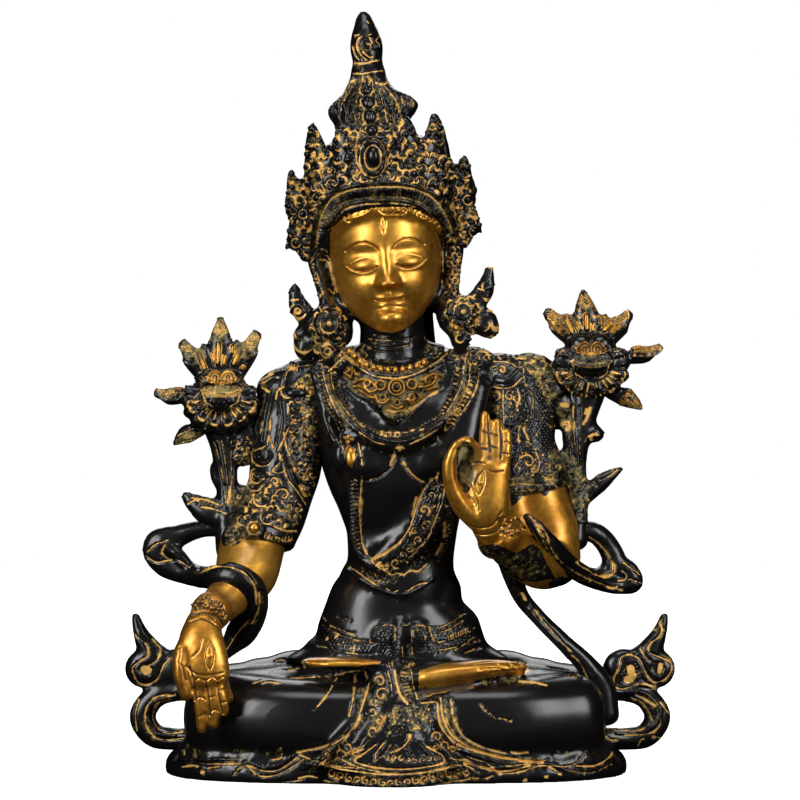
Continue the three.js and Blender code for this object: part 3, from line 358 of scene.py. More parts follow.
def curl_forms():
    """The flame-like end of the scarf that curls up beside the knee on the viewer's right."""
    ring = [[86, -4, 34.4, 4.4, 4], [97, -1, 35, 4.8, 4], [106.6, 0, 32, 5.2, 4], [111.8, 0, 23.6, 5.8, 4], [107, 0, 15.6, 5.4, 4], [98, -1, 14, 5, 4], [88, -4, 14.6, 5, 4]]
    tail = [[101, 0, 38, 7, 4], [105.4, 0, 46, 9, 4.4], [109, 0, 53, 5.6, 4], [112.6, 0, 60, 3.4, 3.2], [114.8, 0, 67.4, 1.9, 2]]
    return [sweep(ring, 12, 4), sweep(tail, 10, 3), ball(CURL_EDGE - 8.4, 0, 44.4, 8.4, 4.2, 8.6, 16), ball(97, -1, 44, 9.4, 4.2, 9.4, 16)]


def head_forms():
    """The head stands upright here, about the middle of the neck, and is leaned afterwards."""
    skull = [
        [0, -14.4, 3.4, 7.6, 6.4], [0, -11, 8, 14, 12], [0, -7.6, 16, 19.6, 17.6], [0, -4, 26, 22.9, 22],
        [0, -2, 37, 23.7, 24.4], [0, -1, 50, 22.8, 24.6], [0, 0, 62, 18, 21],
    ]
    hair = [
        [0, 4, 60, 24, 22], [0, 5, 44, 29, 22], [0, 7, 28, 29, 19], [1, 10, 16, 23, 15], [2.2, 13, 6, 16.2, 12], [1.6, 14, -6, 17, 11],
        [0, 17, -20, 19, 10], [0, 19, -36, 15, 7],
    ]
    fringe = []
    for deg in (-76, -57, -38, -19, 0, 19, 38, 57, 76):
        a = math.radians(deg)
        fringe.append([27.2 * math.sin(a), 2.2 - 27.2 * math.cos(a), 35 + 17.4 * math.cos(a), 3.2, 3.2])
    made = [sweep(skull, 24, 3, power=2.1), sweep(hair, 20, 2), sweep(fringe, 12, 3), ball(0, -17.4, 6.4, 7, 6, 5)]
    for s in (-1, 1):
        made.append(ball(s * 21.5, 0, 13, 7, 5, 7))
        ear = [[s * 26, 0, 43, 2.6, 4], [s * 30.6, -1, 36, 3.4, 5], [s * 29, -1.4, 25, 3, 4.4], [s * 27.4, -3, 14, 2.8, 3.8], [s * 27.2, -4, 8, 2.8, 3.4]]
        made.append(sweep(ear, 12, 3))
    return made


def earring_forms():
    """Round earrings with a flame above and ribbons below, which rest on the shoulders."""
    made = []
    for s in (-1, 1):
        boss, tris = turned(0, 0, [(0, 0), (5.2, 0), (5.2, 2.4), (3.6, 3.4), (0, 3.6)], 12)
        boss = np.column_stack([boss[:, 0] + s * 28, -boss[:, 2] - 8, boss[:, 1] + 5])
        made += [
            ball(s * 28, -5, 5, 9, 5, 9.4, 16), (boss, tris), ball(*((41, -1, 0) if s > 0 else (-38, -2, -2.8)), 5.4, 5, 6.4), leaf((s * 34, -2, 8), (s * 42.4 + 2, -1, 24.6), 9.6, 6, bend=s * 2.4, foot=1, tip=0.5),
            leaf((s * 32, -2, 4), (s * 42 + 2, -1, -5), 14, 6, bend=-s * 2, foot=1, tip=0.4), leaf((s * 29, -4, 1), (s * 28.6, -5, -12), 10, 6.4, tip=0.5),
        ]
    return [*made, ball(-21.8, -3, 3.4, 5.4, 5, 8)]


def crown_forms():
    """A band that dips to the ears, five tall leaves with small ones between, and side rosettes."""
    def band(radius, rise, half):
        made = []
        for deg in (-112, -84, -56, -28, 0, 28, 56, 84, 112):
            a = math.radians(deg)
            made.append([radius * math.sin(a), 3 - radius * math.cos(a), rise + 19 * math.cos(a), half, 2.6])
        return sweep(made, 10, 3)
    wall = [(0, 44), (29, 46), (33, 54), (33.4, 64), (32.4, 72), (29.6, 78), (24, 82.6), (16, 86), (0, 87)]
    made = [band(30.6, 37, 3), band(31.6, 42.4, 3.4), turned(0, 3, wall, 36, 0.92)]
    leaves = ((0, 60, 105, 28, -9), (26, 60, 91, 13, -1), (50, 50, 91.4, 19, 1.6), (88, 40, 73.6, 18, 2.6), (122, 42, 78, 22, 0), (158, 44, 80, 24, -1))
    for deg, foot, tip, wide, lean in leaves:
        for s in (-1, 1) if deg else (1,):
            stand = 35.4 if deg == 88 else 32.6
            place = lambda form: moved(form, (0, 3, 0), turn=s * deg)
            made.append(place(leaf((0, -stand, foot), (0, -stand - lean, tip), wide, 8, belly=0.4, foot=0.9)))
            if deg in (0, 50):
                jewel = (3.4, 3, 4, 8) if deg else (4.8, 3.4, 7.2, 12)
                made.append(place(ball(0, -stand - 3, foot + (tip - foot) * 0.34, *jewel)))
    made += [ball(0, -26.4, 85, 2.6, 3, 3, 8), ball(0, -24, 94, 2.6, 3, 3.4, 8)]
    for s in (-1, 1):
        made += [ball(s * 36, -1, 46.6, 6, 5.4, 7), leaf((s * 36, -1, 52), (s * 41.4, 0, 62), 7, 5), leaf((s * 36, -1, 46), (s * 43, 0, 40), 7, 5),
                 ball(s * 33, -1, 38, 5, 5, 5, 10)]
    return made


def topknot_forms():
    top = HEAD_HEIGHT
    ring = [(0, 111), (6, 111.2), (7.6, 112.4), (7.9, 114.2), (7.2, 116.2), (6, 116.8), (0, 117)]
    bud = [(0, 116), (5.2, 116.4), (6.6, 119), (7.5, 123), (7.2, 127), (5.8, 131.6), (4.2, 135.8), (3.1, top - 1.2), (1.8, top - 0.1), (0, top)]
    pile = [(0, 84), (16, 86), (16, 94), (14.6, 99), (12, 104), (9.4, 108.6), (7.4, 112), (0, 112)]
    made = [turned(-1, 2, pile, 24), turned(-0.6, 2, ring, 20), turned(-0.3, 2, bud, 20)]
    for s in (-1, 1):
        made.append(sweep([[s * 6, 1, 101.6, 5, 7], [s * 13, 1, 98.6, 5, 6.4], [s * 17.4, 1, 96, 4.2, 5]], 12, 3, nose=0.5))
    return made


# ---- meshes ----
def faces_of(mesh):
    """A Blender mesh's points and triangles."""
    points = np.zeros(len(mesh.vertices) * 3, np.float32)
    mesh.vertices.foreach_get("co", points)
    mesh.calc_loop_triangles()
    tris = np.zeros(len(mesh.loop_triangles) * 3, np.int32)
    mesh.loop_triangles.foreach_get("vertices", tris)
    return points.reshape(-1, 3).astype(float), tris.reshape(-1, 3)


def mesh_of(name, points, tris):
    mesh = bpy.data.meshes.new(name)
    mesh.vertices.add(len(points))
    mesh.vertices.foreach_set("co", points.astype(np.float32).ravel())
    mesh.loops.add(len(tris) * 3)
    mesh.loops.foreach_set("vertex_index", tris.astype(np.int32).ravel())
    mesh.polygons.add(len(tris))
    mesh.polygons.foreach_set("loop_start", np.arange(0, len(tris) * 3, 3, dtype=np.int32))
    mesh.update(calc_edges=True)
    mesh.validate()
    return mesh


def fused(forms, voxel):
    """One skin round all the forms, as a casting has."""
    made = bpy.data.objects.new("fusing", mesh_of("fusing", *merged(forms)))
    bpy.context.scene.collection.objects.link(made)
    modifier = made.modifiers.new("skin", "REMESH")
    modifier.mode, modifier.voxel_size, modifier.adaptivity = "VOXEL", voxel, 0
    shown = made.evaluated_get(bpy.context.evaluated_depsgraph_get())
    points, tris = faces_of(shown.to_mesh())
    shown.to_mesh_clear()
    rough = made.data
    bpy.data.objects.remove(made)
    bpy.data.meshes.remove(rough)
    return points, tris


def pairs_of(tris):
    """Every edge once, as sorted pairs of points."""
    ends = np.sort(np.vstack([tris[:, (0, 1)], tris[:, (1, 2)], tris[:, (2, 0)]]), axis=1).astype(np.int64)
    key = np.unique(ends[:, 0] * (ends.max() + 1) + ends[:, 1])
    return np.column_stack([key // (ends.max() + 1), key % (ends.max() + 1)])


def averaged(values, pairs, rounds):
    """Values at the points, each eased towards the mean of its neighbours."""
    a, b = np.concatenate([pairs[:, 0], pairs[:, 1]]), np.concatenate([pairs[:, 1], pairs[:, 0]])
    degree = np.maximum(np.bincount(a, minlength=len(values)), 1)
    values = values.reshape(len(values), -1).astype(float)
    for _ in range(rounds):
        mean = np.column_stack([np.bincount(a, weights=column[b], minlength=len(values)) / degree for column in values.T])
        values = (values + mean) / 2
    return values


def smoothed(points, tris, rounds):
    return averaged(points, pairs_of(tris), rounds) if rounds else points


def normals_of(points, tris):
    face = np.cross(points[tris[:, 1]] - points[tris[:, 0]], points[tris[:, 2]] - points[tris[:, 0]])
    normal = np.column_stack([sum(np.bincount(tris[:, k], weights=face[:, c], minlength=len(points)) for k in range(3)) for c in range(3)])
    return normal / np.maximum(np.linalg.norm(normal, axis=1), 1e-12)[:, None]


def refined(points, tris, wanted):
    """Halves every edge whose two ends are wanted; the triangles round them are divided to fit."""
    pairs = pairs_of(tris)
    pairs = pairs[wanted[pairs[:, 0]] & wanted[pairs[:, 1]]]
    size = len(points)
    keys = pairs[:, 0] * size + pairs[:, 1]
    key = lambda a, b: np.searchsorted(keys, np.minimum(a, b).astype(np.int64) * size + np.maximum(a, b)) + size
    all_points = np.vstack([points, points[pairs].mean(1)])
    flags = wanted[tris]
    count = flags.sum(1)
    kept = tris[count < 2]
    a, b, c = tris[count == 3].T
    ab, bc, ca = key(a, b), key(b, c), key(c, a)
    full = [np.column_stack(t) for t in ((a, ab, ca), (ab, b, bc), (ca, bc, c), (ab, bc, ca))]
    two, out = tris[count == 2], flags[count == 2]
    first = np.argmin(out, axis=1)
    rows = np.arange(len(two))
    c, a, b = (two[rows, (first + k) % 3] for k in range(3))
    ab = key(a, b)
    half = [np.column_stack(t) for t in ((a, ab, c), (ab, b, c))]
    return all_points, np.vstack([kept, *full, *half]).astype(np.int64)


def ramp(low, high, value):
    t = np.clip((value - low) / (high - low), 0, 1)
    return t * t * (3 - 2 * t)


# ---- relief, drawn as seen from the front in steps of PX, and pressed into the skin ----
PX = 0.434
EYE_AWAY, EYE_HEIGHT, MIDDLE = 1300.0, 161.0, 400.0
CELLS = 2.5


def front_places(points):
    """Where points show in the front view: steps to the right and down."""
    step = PX * (1 + points[:, 1] / EYE_AWAY)
    return np.column_stack([MIDDLE + points[:, 0] / step, MIDDLE - (points[:, 2] - EYE_HEIGHT) / step])


def back_places(points):
    """The same places looked at through the figure, for drawing on its back."""
    return np.column_stack([MIDDLE + points[:, 0] / PX, MIDDLE - (points[:, 2] - EYE_HEIGHT) / PX])


class Drawing:
    """Heights in millimetres, and where the gold stays in them, on a flat sheet."""

    def __init__(self, left, top, right, bottom, places=front_places, facing=-1.0, tone=0.85):
        self.origin = np.array([left, top], float)
        self.places, self.facing = places, facing
        shape = int((bottom - top) * CELLS) + 1, int((right - left) * CELLS) + 1
        self.height, self.gilt = np.zeros(shape), np.zeros(shape)
        self.tone = np.full(shape, tone)
        self.extra, self.dull, self.bared = np.zeros(shape), np.zeros(shape), np.zeros(shape)

    def window(self, low, high):
        rows, cols = self.height.shape
        c0, r0 = np.maximum(((np.asarray(low) - self.origin) * CELLS).astype(int), 0)
        c1, r1 = ((np.asarray(high) - self.origin) * CELLS).astype(int) + 2
        area = slice(r0, max(min(r1, rows), r0)), slice(c0, max(min(c1, cols), c0))
        v, u = np.mgrid[area]
        return area, u / CELLS + self.origin[0], v / CELLS + self.origin[1]

    def near(self, points, reach):
        """The part of the sheet within reach of the line through points, and each cell's distance to it."""
        points = np.asarray(points, float)
        area, u, v = self.window(points.min(0) - reach, points.max(0) + reach)
        away = np.full(u.shape, 1e3)
        r0, c0 = area[0].start, area[1].start
        for a, b in zip(points[:-1], points[1:]):
            low, high = np.minimum(a, b) - reach, np.maximum(a, b) + reach
            c, r = np.maximum(((low - self.origin) * CELLS).astype(int) - (c0, r0), 0)
            e, f = np.maximum(((high - self.origin) * CELLS).astype(int) + 2 - (c0, r0), 0)
            cell = slice(r, f), slice(c, e)
            x, y = u[cell] - a[0], v[cell] - a[1]
            d = b - a
            t = np.clip((x * d[0] + y * d[1]) / max(d @ d, 1e-9), 0, 1)
            away[cell] = np.minimum(away[cell], np.hypot(x - t * d[0], y - t * d[1]))
        return area, away

    def curve(self, points, smooth=6):
        points = np.asarray(points, float)
        return spline(points, np.linspace(0, 1, smooth * (len(points) - 1) + 1)) if len(points) > 2 and smooth else points

    @staticmethod
    def round_top(off, height):
        """The height of a rounded ridge at a share off of its half width."""
        return np.where(off < 1, height - (height + 0.5) * (1 - np.sqrt(np.clip(1 - off**2, 0, 1))), -9.0)

    def ridge(self, points, width=3.0, height=0.6, smooth=6):
        area, away = self.near(self.curve(points, smooth), width / 2)
        self.height[area] = np.maximum(self.height[area], self.round_top(2 * away / width, height))

    def groove(self, points, width=2.4, depth=0.5, smooth=6):
        area, away = self.near(self.curve(points, smooth), width / 2)
        self.height[area] -= depth * np.clip(1 - (2 * away / width) ** 2, 0, 1)

    def gold(self, points, width=2.0, amount=1.0, smooth=6):
        """Gold left along a line, whatever the relief there."""
        area, away = self.near(self.curve(points, smooth), width / 2 + 2)
        self.extra[area] = np.maximum(self.extra[area], amount * np.clip(0.5 + (width / 2 - away) * 0.3, 0, 1))

    def crescent(self, u, v, radius, middle, span, width):
        """A crescent of gold, thick in the middle and fine at its ends."""
        area, x, y = self.window((u - radius - 4, v - radius - 4), (u + radius + 4, v + radius + 4))
        turn = np.angle(np.exp(1j * (np.arctan2(y - v, x - u) - middle)))
        thick = width * (1 - (2 * turn / span) ** 2)
        away = np.abs(np.hypot(x - u, y - v) - radius)
        self.extra[area] = np.maximum(self.extra[area], np.clip(0.5 + (thick / 2 - away) * 0.3, 0, 1))

    def boss(self, u, v, radius, height=0.8):
        area, away = self.near([(u, v), (u, v)], radius)
        self.height[area] = np.maximum(self.height[area], self.round_top(away / radius, height))

    def dome(self, u, v, across, along, height=1.0):
        """A smooth oval stone."""
        area, x, y = self.window((u - across, v - along), (u + across, v + along))
        self.height[area] = np.maximum(self.height[area], self.round_top(np.hypot((x - u) / across, (y - v) / along), height))

    def inside(self, outline):
        """The sheet's part round a closed outline, and how far inside it each cell is, up to 1."""
        outline = np.asarray(outline, float)
        outline = np.vstack([outline, outline[:1]])
        area, away = self.near(outline, 1.5)
        _, u, v = self.window(outline.min(0) - 1.5, outline.max(0) + 1.5)
        odd = np.zeros(u.shape, bool)
        for (x1, y1), (x2, y2) in zip(outline[:-1], outline[1:]):
            if y1 != y2:
                odd ^= ((y1 > v) != (y2 > v)) & (u < (x2 - x1) * (v - y1) / (y2 - y1) + x1)
        return area, ramp(-0.8, 0.8, np.where(odd, 1, -1) * np.minimum(away, 1.5))

    def sink(self, outline, depth):
        area, share = self.inside(outline)
        self.height[area] -= depth * share

    def clear(self, outline, tone=0.3):
        """Smooth ground again inside an outline."""
        area, share = self.inside(outline)
        self.height[area] *= 1 - share
        self.extra[area] *= 1 - share
        self.dull[area] *= 1 - share
        self.tone[area] += (tone - self.tone[area]) * share

    def wash(self, outline, tone):
        """How strongly gold stays inside an outline."""
        area, share = self.inside(outline)
        self.tone[area] += (tone - self.tone[area]) * share

    def gild(self, outline, amount=1.0):
        area, share = self.inside(outline)
        self.gilt[area] = np.maximum(self.gilt[area], amount * share)

    def bare(self, outline):
        """No gilding inside an outline, also on a piece that is gilt all over."""
        area, share = self.inside(outline)
        self.gilt[area] *= 1 - share
        self.bared[area] = np.maximum(self.bared[area], share)

    def ring(self, u, v, radius, width=2.0, height=0.5, squash=1.0):
        a = np.linspace(0, 2 * np.pi, 25)
        self.ridge(np.column_stack([u + radius * np.cos(a), v + radius * squash * np.sin(a)]), width, height, 0)

    def spiral(self, u, v, radius, start=0.0, turns=1.4, way=1, width=2.6, height=0.6):
        self.ridge(self.swirl(u, v, radius, start, turns, way), width, height, 0)

    def beads(self, points, pitch, radius, height=0.7):
        """A row of small beads along a line."""
        for (u, v), _ in self.walk(points, pitch):
            self.boss(u, v, radius, height)

    def hatch(self, points, pitch, length, width=1.6, height=0.5, lean=0.0):
        """Short raised strokes across a line."""
        for middle, along in self.walk(points, pitch):
            across = (np.array([-along[1], along[0]]) + lean * along) * length / 2
            self.ridge([middle - across, middle + across], width, height, 0)

    def strokes(self, points, pitch, length, width=1.2, lean=0.0):
        """Short gold lines cut in across a line."""
        for middle, along in self.walk(points, pitch):
            across = (np.array([-along[1], along[0]]) + lean * along) * length / 2
            self.groove([middle - across, middle + across], width * 1.4, 0.5, 0)
            self.gold([middle - across, middle + across], width * 0.7, 1.0, 0)

    def grains(self, outline, pitch, seed, share=0.3):
        """Fine grains inside an outline, with a fleck of gold beside a share of them."""
        chance = np.random.default_rng(seed)
        for u, v, start, _ in self.spots(outline, pitch, chance):
            self.boss(u, v, pitch * chance.uniform(0.25, 0.42), 0.4)
            if chance.uniform() < share:
                self.crescent(u, v, pitch * 0.42, start, chance.uniform(1.6, 3.0), 1.0)

    def cut(self, points, width=2.0, depth=0.6, smooth=6):
        """A groove with gold left in it."""
        self.groove(points, width, depth, smooth)
        self.gold(points, width * 0.55, 1.0, smooth)

    def haze_and_shade(self, outline, amount=0.3):
        """Patina that dulls the surface inside an outline; where it marks the shadow under a hem or a scarf's wrap, it
        is painted shade.
        """
        area, share = self.inside(outline)
        soft = self.blurred(share, 1 + int(math.sqrt(share.sum()) * 0.14))
        self.dull[area] = np.maximum(self.dull[area], amount * np.clip(soft * 2 - 0.8, 0, 1))

    def leaf_gilt(self, points, width):
        """Gilding along a line."""
        area, away = self.near(self.curve(points), width / 2 + 1.5)
        self.gilt[area] = np.maximum(self.gilt[area], np.clip(0.5 + (width / 2 - away) * 0.4, 0, 1))

    @staticmethod
    def swirl(u, v, radius, start=0.0, turns=1.1, way=1):
        t = np.linspace(0, 1, 18)
        a = start + way * 2 * np.pi * turns * t
        r = radius * (1 - 0.8 * t)
        return np.column_stack([u + r * np.cos(a), v + r * np.sin(a)])

    def walk(self, points, pitch):
        """Places along a line, with the line's direction there."""
        path = self.curve(points, 12)
        step = np.diff(path, axis=0)
        run = np.concatenate([[0], np.cumsum(np.linalg.norm(step, axis=1))])
        for at in np.arange(pitch / 2, run[-1], pitch):
            k = min(np.searchsorted(run, at) - 1, len(step) - 1)
            yield np.array([np.interp(at, run, path[:, c]) for c in (0, 1)]), step[k] / np.linalg.norm(step[k])

    def chain(self, points, pitch=9.0, radius=4.4, width=1.9, depth=0.6, turns=1.05):
        """A running scroll cut in along a line: its curls turn to the left and to the right by turns."""
        for k, (middle, along) in enumerate(self.walk(points, pitch)):
            way = 1 if k % 2 else -1
            heading = math.atan2(along[1], along[0])
            curl = self.swirl(*middle, radius, heading + way * 1.9, turns, way)
            self.cut(curl, width, depth, 0)
            self.cut([curl[0], curl[0] - along * pitch * 0.35 + np.array([along[1], -along[0]]) * way * 1.2], width, depth, 0)

    def feather(self, foot, tip, wide, pitch=3.6, depth=0.4, gold=0.0):
        """A leaf's midrib, with strokes that slant from it on both sides."""
        foot, tip = np.array(foot, float), np.array(tip, float)
        length = np.linalg.norm(tip - foot)
        along = (tip - foot) / length
        across = np.array([-along[1], along[0]])
        self.groove([foot, tip], 1.7, depth, 0)
        for share in np.arange(0.08, 0.9, pitch / length):
            reach = wide / 2 * math.sin(math.pi * (0.22 + 0.72 * share))
            at = foot + (tip - foot) * share
            for side in (-1, 1):
                vein = [at, at + side * across * reach + along * reach * 0.9]
                self.groove(vein, 1.3, depth, 0)
                if gold:
                    self.gold(vein, gold, 1.0, 0)

    def rays(self, u, v, near, far, first, last, count, width=2.0, height=0.6, squash=1.0):
        """Ribs that spread from a middle, from angle first to last, in degrees."""
        for a in np.radians(np.linspace(first, last, count)):
            d = np.array([math.cos(a), squash * math.sin(a)])
            self.ridge([(u, v) + d * near, (u, v) + d * far], width, height, 0)

    def spots(self, outline, pitch, chance):
        """Places strewn evenly inside an outline."""
        outline = np.asarray(outline, float)
        area, share = self.inside(outline)
        low, high = outline.min(0), outline.max(0)
        for row, v in enumerate(np.arange(low[1] + pitch * 0.4, high[1], pitch * 0.86)):
            for u in np.arange(low[0] + pitch * (0.3 + 0.5 * (row % 2)), high[0], pitch):
                u1, v1 = u + chance.uniform(-0.17, 0.17) * pitch, v + chance.uniform(-0.17, 0.17) * pitch
                start, way = chance.uniform(0, 6.28), chance.choice([-1, 1])
                r, c = int((v1 - self.origin[1]) * CELLS) - area[0].start, int((u1 - self.origin[0]) * CELLS) - area[1].start
                if not (0 <= r < share.shape[0] and 0 <= c < share.shape[1] and share[r, c] > 0.5):
                    continue
                r, c, reach = r + area[0].start, c + area[1].start, int(pitch * 0.3 * CELLS)
                if self.extra[max(r - reach, 0):r + reach, max(c - reach, 0):c + reach].max(initial=0) < 0.45:
                    yield u1, v1, start, way

    def scrolls(self, outline, pitch=9.0, depth=0.8, seed=1, width=2.7, height=0.35, turns=1.05):
        """Fills an outline with raised scrolls, the ground between them sunk."""
        self.sink(outline, depth)
        for u, v, start, way in self.spots(outline, pitch, np.random.default_rng(seed)):
            self.ridge(self.swirl(u, v, pitch * 0.42, start, turns, way), width, height, 0)
            tail = [(u + pitch * q * math.cos(start - way * w), v + pitch * q * math.sin(start - way * w)) for q, w in ((0.42, 0), (0.6, 0.45), (0.84, 0.6))]
            self.ridge(tail, width, height, 4)
            self.gold(self.swirl(u, v, pitch * 0.42 + width * 0.55, start, turns * 0.6, way), 1.1, 1.0, 0)

    def curls(self, outline, pitch=8.0, depth=0.55, seed=1, width=1.8, turns=0.9):
        """Fills an outline with small curls cut in, and grains between them."""
        chance = np.random.default_rng(seed)
        for u, v, start, way in self.spots(outline, pitch, chance):
            curl = self.swirl(u, v, pitch * 0.4, start, turns * chance.uniform(0.6, 1.1), way)
            self.groove(curl, width, depth, 0)
            self.gold(curl, width * chance.uniform(0.35, 0.75), 1.0, 0)
            for a in chance.uniform(0, 6.28, 2):
                self.boss(u + pitch * 0.52 * math.cos(a), v + pitch * 0.52 * math.sin(a), pitch * 0.14, 0.35)

    def lobes(self, outline, pitch=7.0, seed=1, gold=2.2, height=0.8, depth=0.5, fade=None):
        """Fills an outline with round lobes over a sunk ground, a crescent of gold beside most of them."""
        chance = np.random.default_rng(seed)
        self.sink(outline, depth)
        for u, v, start, _ in self.spots(outline, pitch, chance):
            radius = pitch * chance.uniform(0.3, 0.5)
            self.boss(u, v, radius, height)
            share = 0.8 if fade is None else 0.85 * np.interp(v, fade, (0.15, 1))
            if chance.uniform() < share:
                self.crescent(u, v, radius + 0.4, start, chance.uniform(2.0, 4.4), gold * chance.uniform(0.5, 1.3))

    def leafwork(self, foot, tip, wide, rows, gold=1.2):
        """A carved leaf: pairs of curls that climb beside a row of knobs, in a lobed rim."""
        foot, tip = np.array(foot, float), np.array(tip, float)
        along = (tip - foot) / np.linalg.norm(tip - foot)
        across = np.array([-along[1], along[0]])
        length = np.linalg.norm(tip - foot)
        for row in range(rows):
            share = (row + 0.5) / rows
            reach = wide * (1.05 - share) ** 0.7
            middle = foot + along * length * share * 0.92
            self.boss(*middle, 1.3 + reach * 0.07, 0.9)
            for side in (-1, 1):
                place = middle + across * side * reach * 0.27
                radius = min(reach * 0.2, length / rows * 0.6)
                heading = math.atan2(across[1] * side, across[0] * side)
                curl = self.swirl(*place, radius, heading + side * 2.6, 1.15, side)
                self.ridge(curl, radius * 0.62, 0.9, 0)
                self.gold(self.swirl(*place, radius * 1.4, heading + side * 2.4, 0.4, side), gold, 1.0, 0)
                self.gold(self.swirl(*place, radius * 0.6, heading, 0.5, side), gold * 0.8, 1.0, 0)
                rim = middle + across * side * reach * 0.5 + along * length / rows * 0.3
                self.boss(*rim, radius * 0.6 + 0.8, 0.9)

    @staticmethod
    def blurred(values, width):
        """The mean of the values round each place."""
        padded = np.pad(values, width + 3, mode="edge")
        for axis in (0, 1, 0, 1):
            total = np.cumsum(np.insert(padded, 0, 0, axis=axis), axis=axis)
            size = total.shape[axis]
            padded = (np.take(total, np.arange(width, size), axis=axis) - np.take(total, np.arange(size - width), axis=axis)) / width
        cut = (np.array(padded.shape) - values.shape) // 2
        return padded[cut[0]:cut[0] + values.shape[0], cut[1]:cut[1] + values.shape[1]]

    def settled(self):
        """How much gold lies in each place: most where the relief is lower than what is round it."""
        return ramp(0.06, 0.3, self.blurred(self.height, 9) - self.height)

    def dusted(self):
        """The gold, and the patina that surrounds close carving."""
        gold = np.maximum(self.settled() * self.tone, self.extra)
        return np.maximum(gold, np.minimum(self.blurred(gold, 15) * 0.75, 0.26))

    def busy(self, level=0):
        """Where the sheet has relief that wants a fine mesh, or at level 1 a very fine one."""
        slope = np.abs(np.gradient(self.height)[0]) + np.abs(np.gradient(self.height)[1]) > (0.03, 0.07)[level]
        marks = slope | (self.extra > 0.43)
        grown = marks.copy()
        for shift in range(-4, 5, 2) if level == 0 else (-2, 2):
            grown |= np.roll(marks, shift, 0) | np.roll(marks, shift, 1)
        return grown.astype(float)

    def at(self, sheet, points):
        """The sheet's values at points."""
        place = (self.places(points) - self.origin) * CELLS
        rows, cols = self.height.shape
        inside = (place[:, 0] >= 0) & (place[:, 1] >= 0) & (place[:, 0] < cols - 1.01) & (place[:, 1] < rows - 1.01)
        u, v = np.clip(place[:, 0], 0, cols - 1.01), np.clip(place[:, 1], 0, rows - 1.01)
        c, r = u.astype(int), v.astype(int)
        u, v = u - c, v - r
        value = (sheet[r, c] * (1 - u) + sheet[r, c + 1] * u) * (1 - v) + (sheet[r + 1, c] * (1 - u) + sheet[r + 1, c + 1] * u) * v
        return value * inside, inside


def cast(name, forms, voxel, drawings=(), gilt=0.0, tone=0.75, rounds=2, fine=1, crevice=(0.05, 0.3)):
    """Fuses the forms, presses the drawings into them, marks where gold stays and makes the piece."""
    points, tris = fused(forms, voxel)
    points = smoothed(points, tris, rounds)
    for level in range(fine):
        normals = normals_of(points, tris)
        wanted = np.zeros(len(points), bool)
        for sheet in drawings:
            busy = sheet.busy(level)
            value, _ = sheet.at(busy, points)
            wanted |= (value > 0.02) & (normals[:, 1] * sheet.facing > 0.05)
        points, tris = refined(points, tris, wanted)
        points = smoothed(points, tris, 1)
    normals = normals_of(points, tris)
    lift, gold, dull = np.zeros((3, len(points)))
    tones = np.full(len(points), tone)
    gilts = np.full(len(points), gilt)
    for sheet in drawings:
        face = ramp(0.02, 0.35, normals[:, 1] * sheet.facing)
        value, inside = sheet.at(sheet.height, points)
        lift += value * face
        drawn, _ = sheet.at(sheet.dusted(), points)
        gold = np.maximum(gold, drawn * face)
        # patina from each drawing, and in a few places painted shade
        hazed_and_shaded, _ = sheet.at(sheet.dull, points)
        dull = np.maximum(dull, hazed_and_shaded * face)
        local, _ = sheet.at(sheet.tone, points)
        tones = np.where(inside & (face > 0.3), local, tones)
        gilded, _ = sheet.at(sheet.gilt, points)
        turned_to = ramp(0.0, 0.15, normals[:, 1] * sheet.facing)
        bared, _ = sheet.at(sheet.blurred(sheet.bared, 8), points)
        gilts = np.maximum(gilts, gilded * turned_to) * (1 - bared * turned_to)
    points = points + normals * lift[:, None]
    points[:, 2] = np.maximum(points[:, 2], 0)
    pairs = pairs_of(tris)
    hollow = ((averaged(points, pairs, 6) - points) * normals_of(points, tris)).sum(1)
    hollow = averaged(ramp(*crevice, hollow), pairs, 1)[:, 0]
    mesh = mesh_of(name, points / 1000, tris)
    made = bpy.data.objects.new(name, mesh)
    bpy.context.scene.collection.objects.link(made)
    mesh.polygons.foreach_set("use_smooth", np.ones(len(mesh.polygons), bool))
    # the last mark carries patina and, where a drawing marks shadow, painted shade
    for label, values in (("gold", np.maximum(gold, hollow * tones * 0.55)), ("gilt", gilts), ("hollow", hollow), ("dull", dull)):
        layer = mesh.attributes.new(label, "FLOAT", "POINT")
        layer.data.foreach_set("value", np.clip(values, 0, 1).astype(np.float32))
    print(name, len(tris), "triangles")
    return made


# ---- finishes ----
class Value:
    """A socket with arithmetic: an expression on values adds its Math nodes."""

    def __init__(self, finish, socket):
        self.finish, self.socket = finish, socket

    def maths(self, operation, *values, clamp=False):
        return self.finish.node("ShaderNodeMath", dict(operation=operation, use_clamp=clamp), dict(enumerate(values)))

    def __add__(self, other): return self.maths("ADD", self, other)
    def __sub__(self, other): return self.maths("SUBTRACT", self, other)
    def __rsub__(self, other): return self.maths("SUBTRACT", other, self)
    def __mul__(self, other): return self.maths("MULTIPLY", self, other)
    def __truediv__(self, other): return self.maths("DIVIDE", self, other)
    __radd__, __rmul__ = __add__, __mul__

    def clipped(self):
        return self.maths("ADD", self, 0.0, clamp=True)

    def step(self, low, high):
        """0 below low, 1 above high, smooth between."""
        settings = dict(interpolation_type="SMOOTHSTEP")
        return self.finish.node("ShaderNodeMapRange", settings, {"Value": self, "From Min": low, "From Max": high})


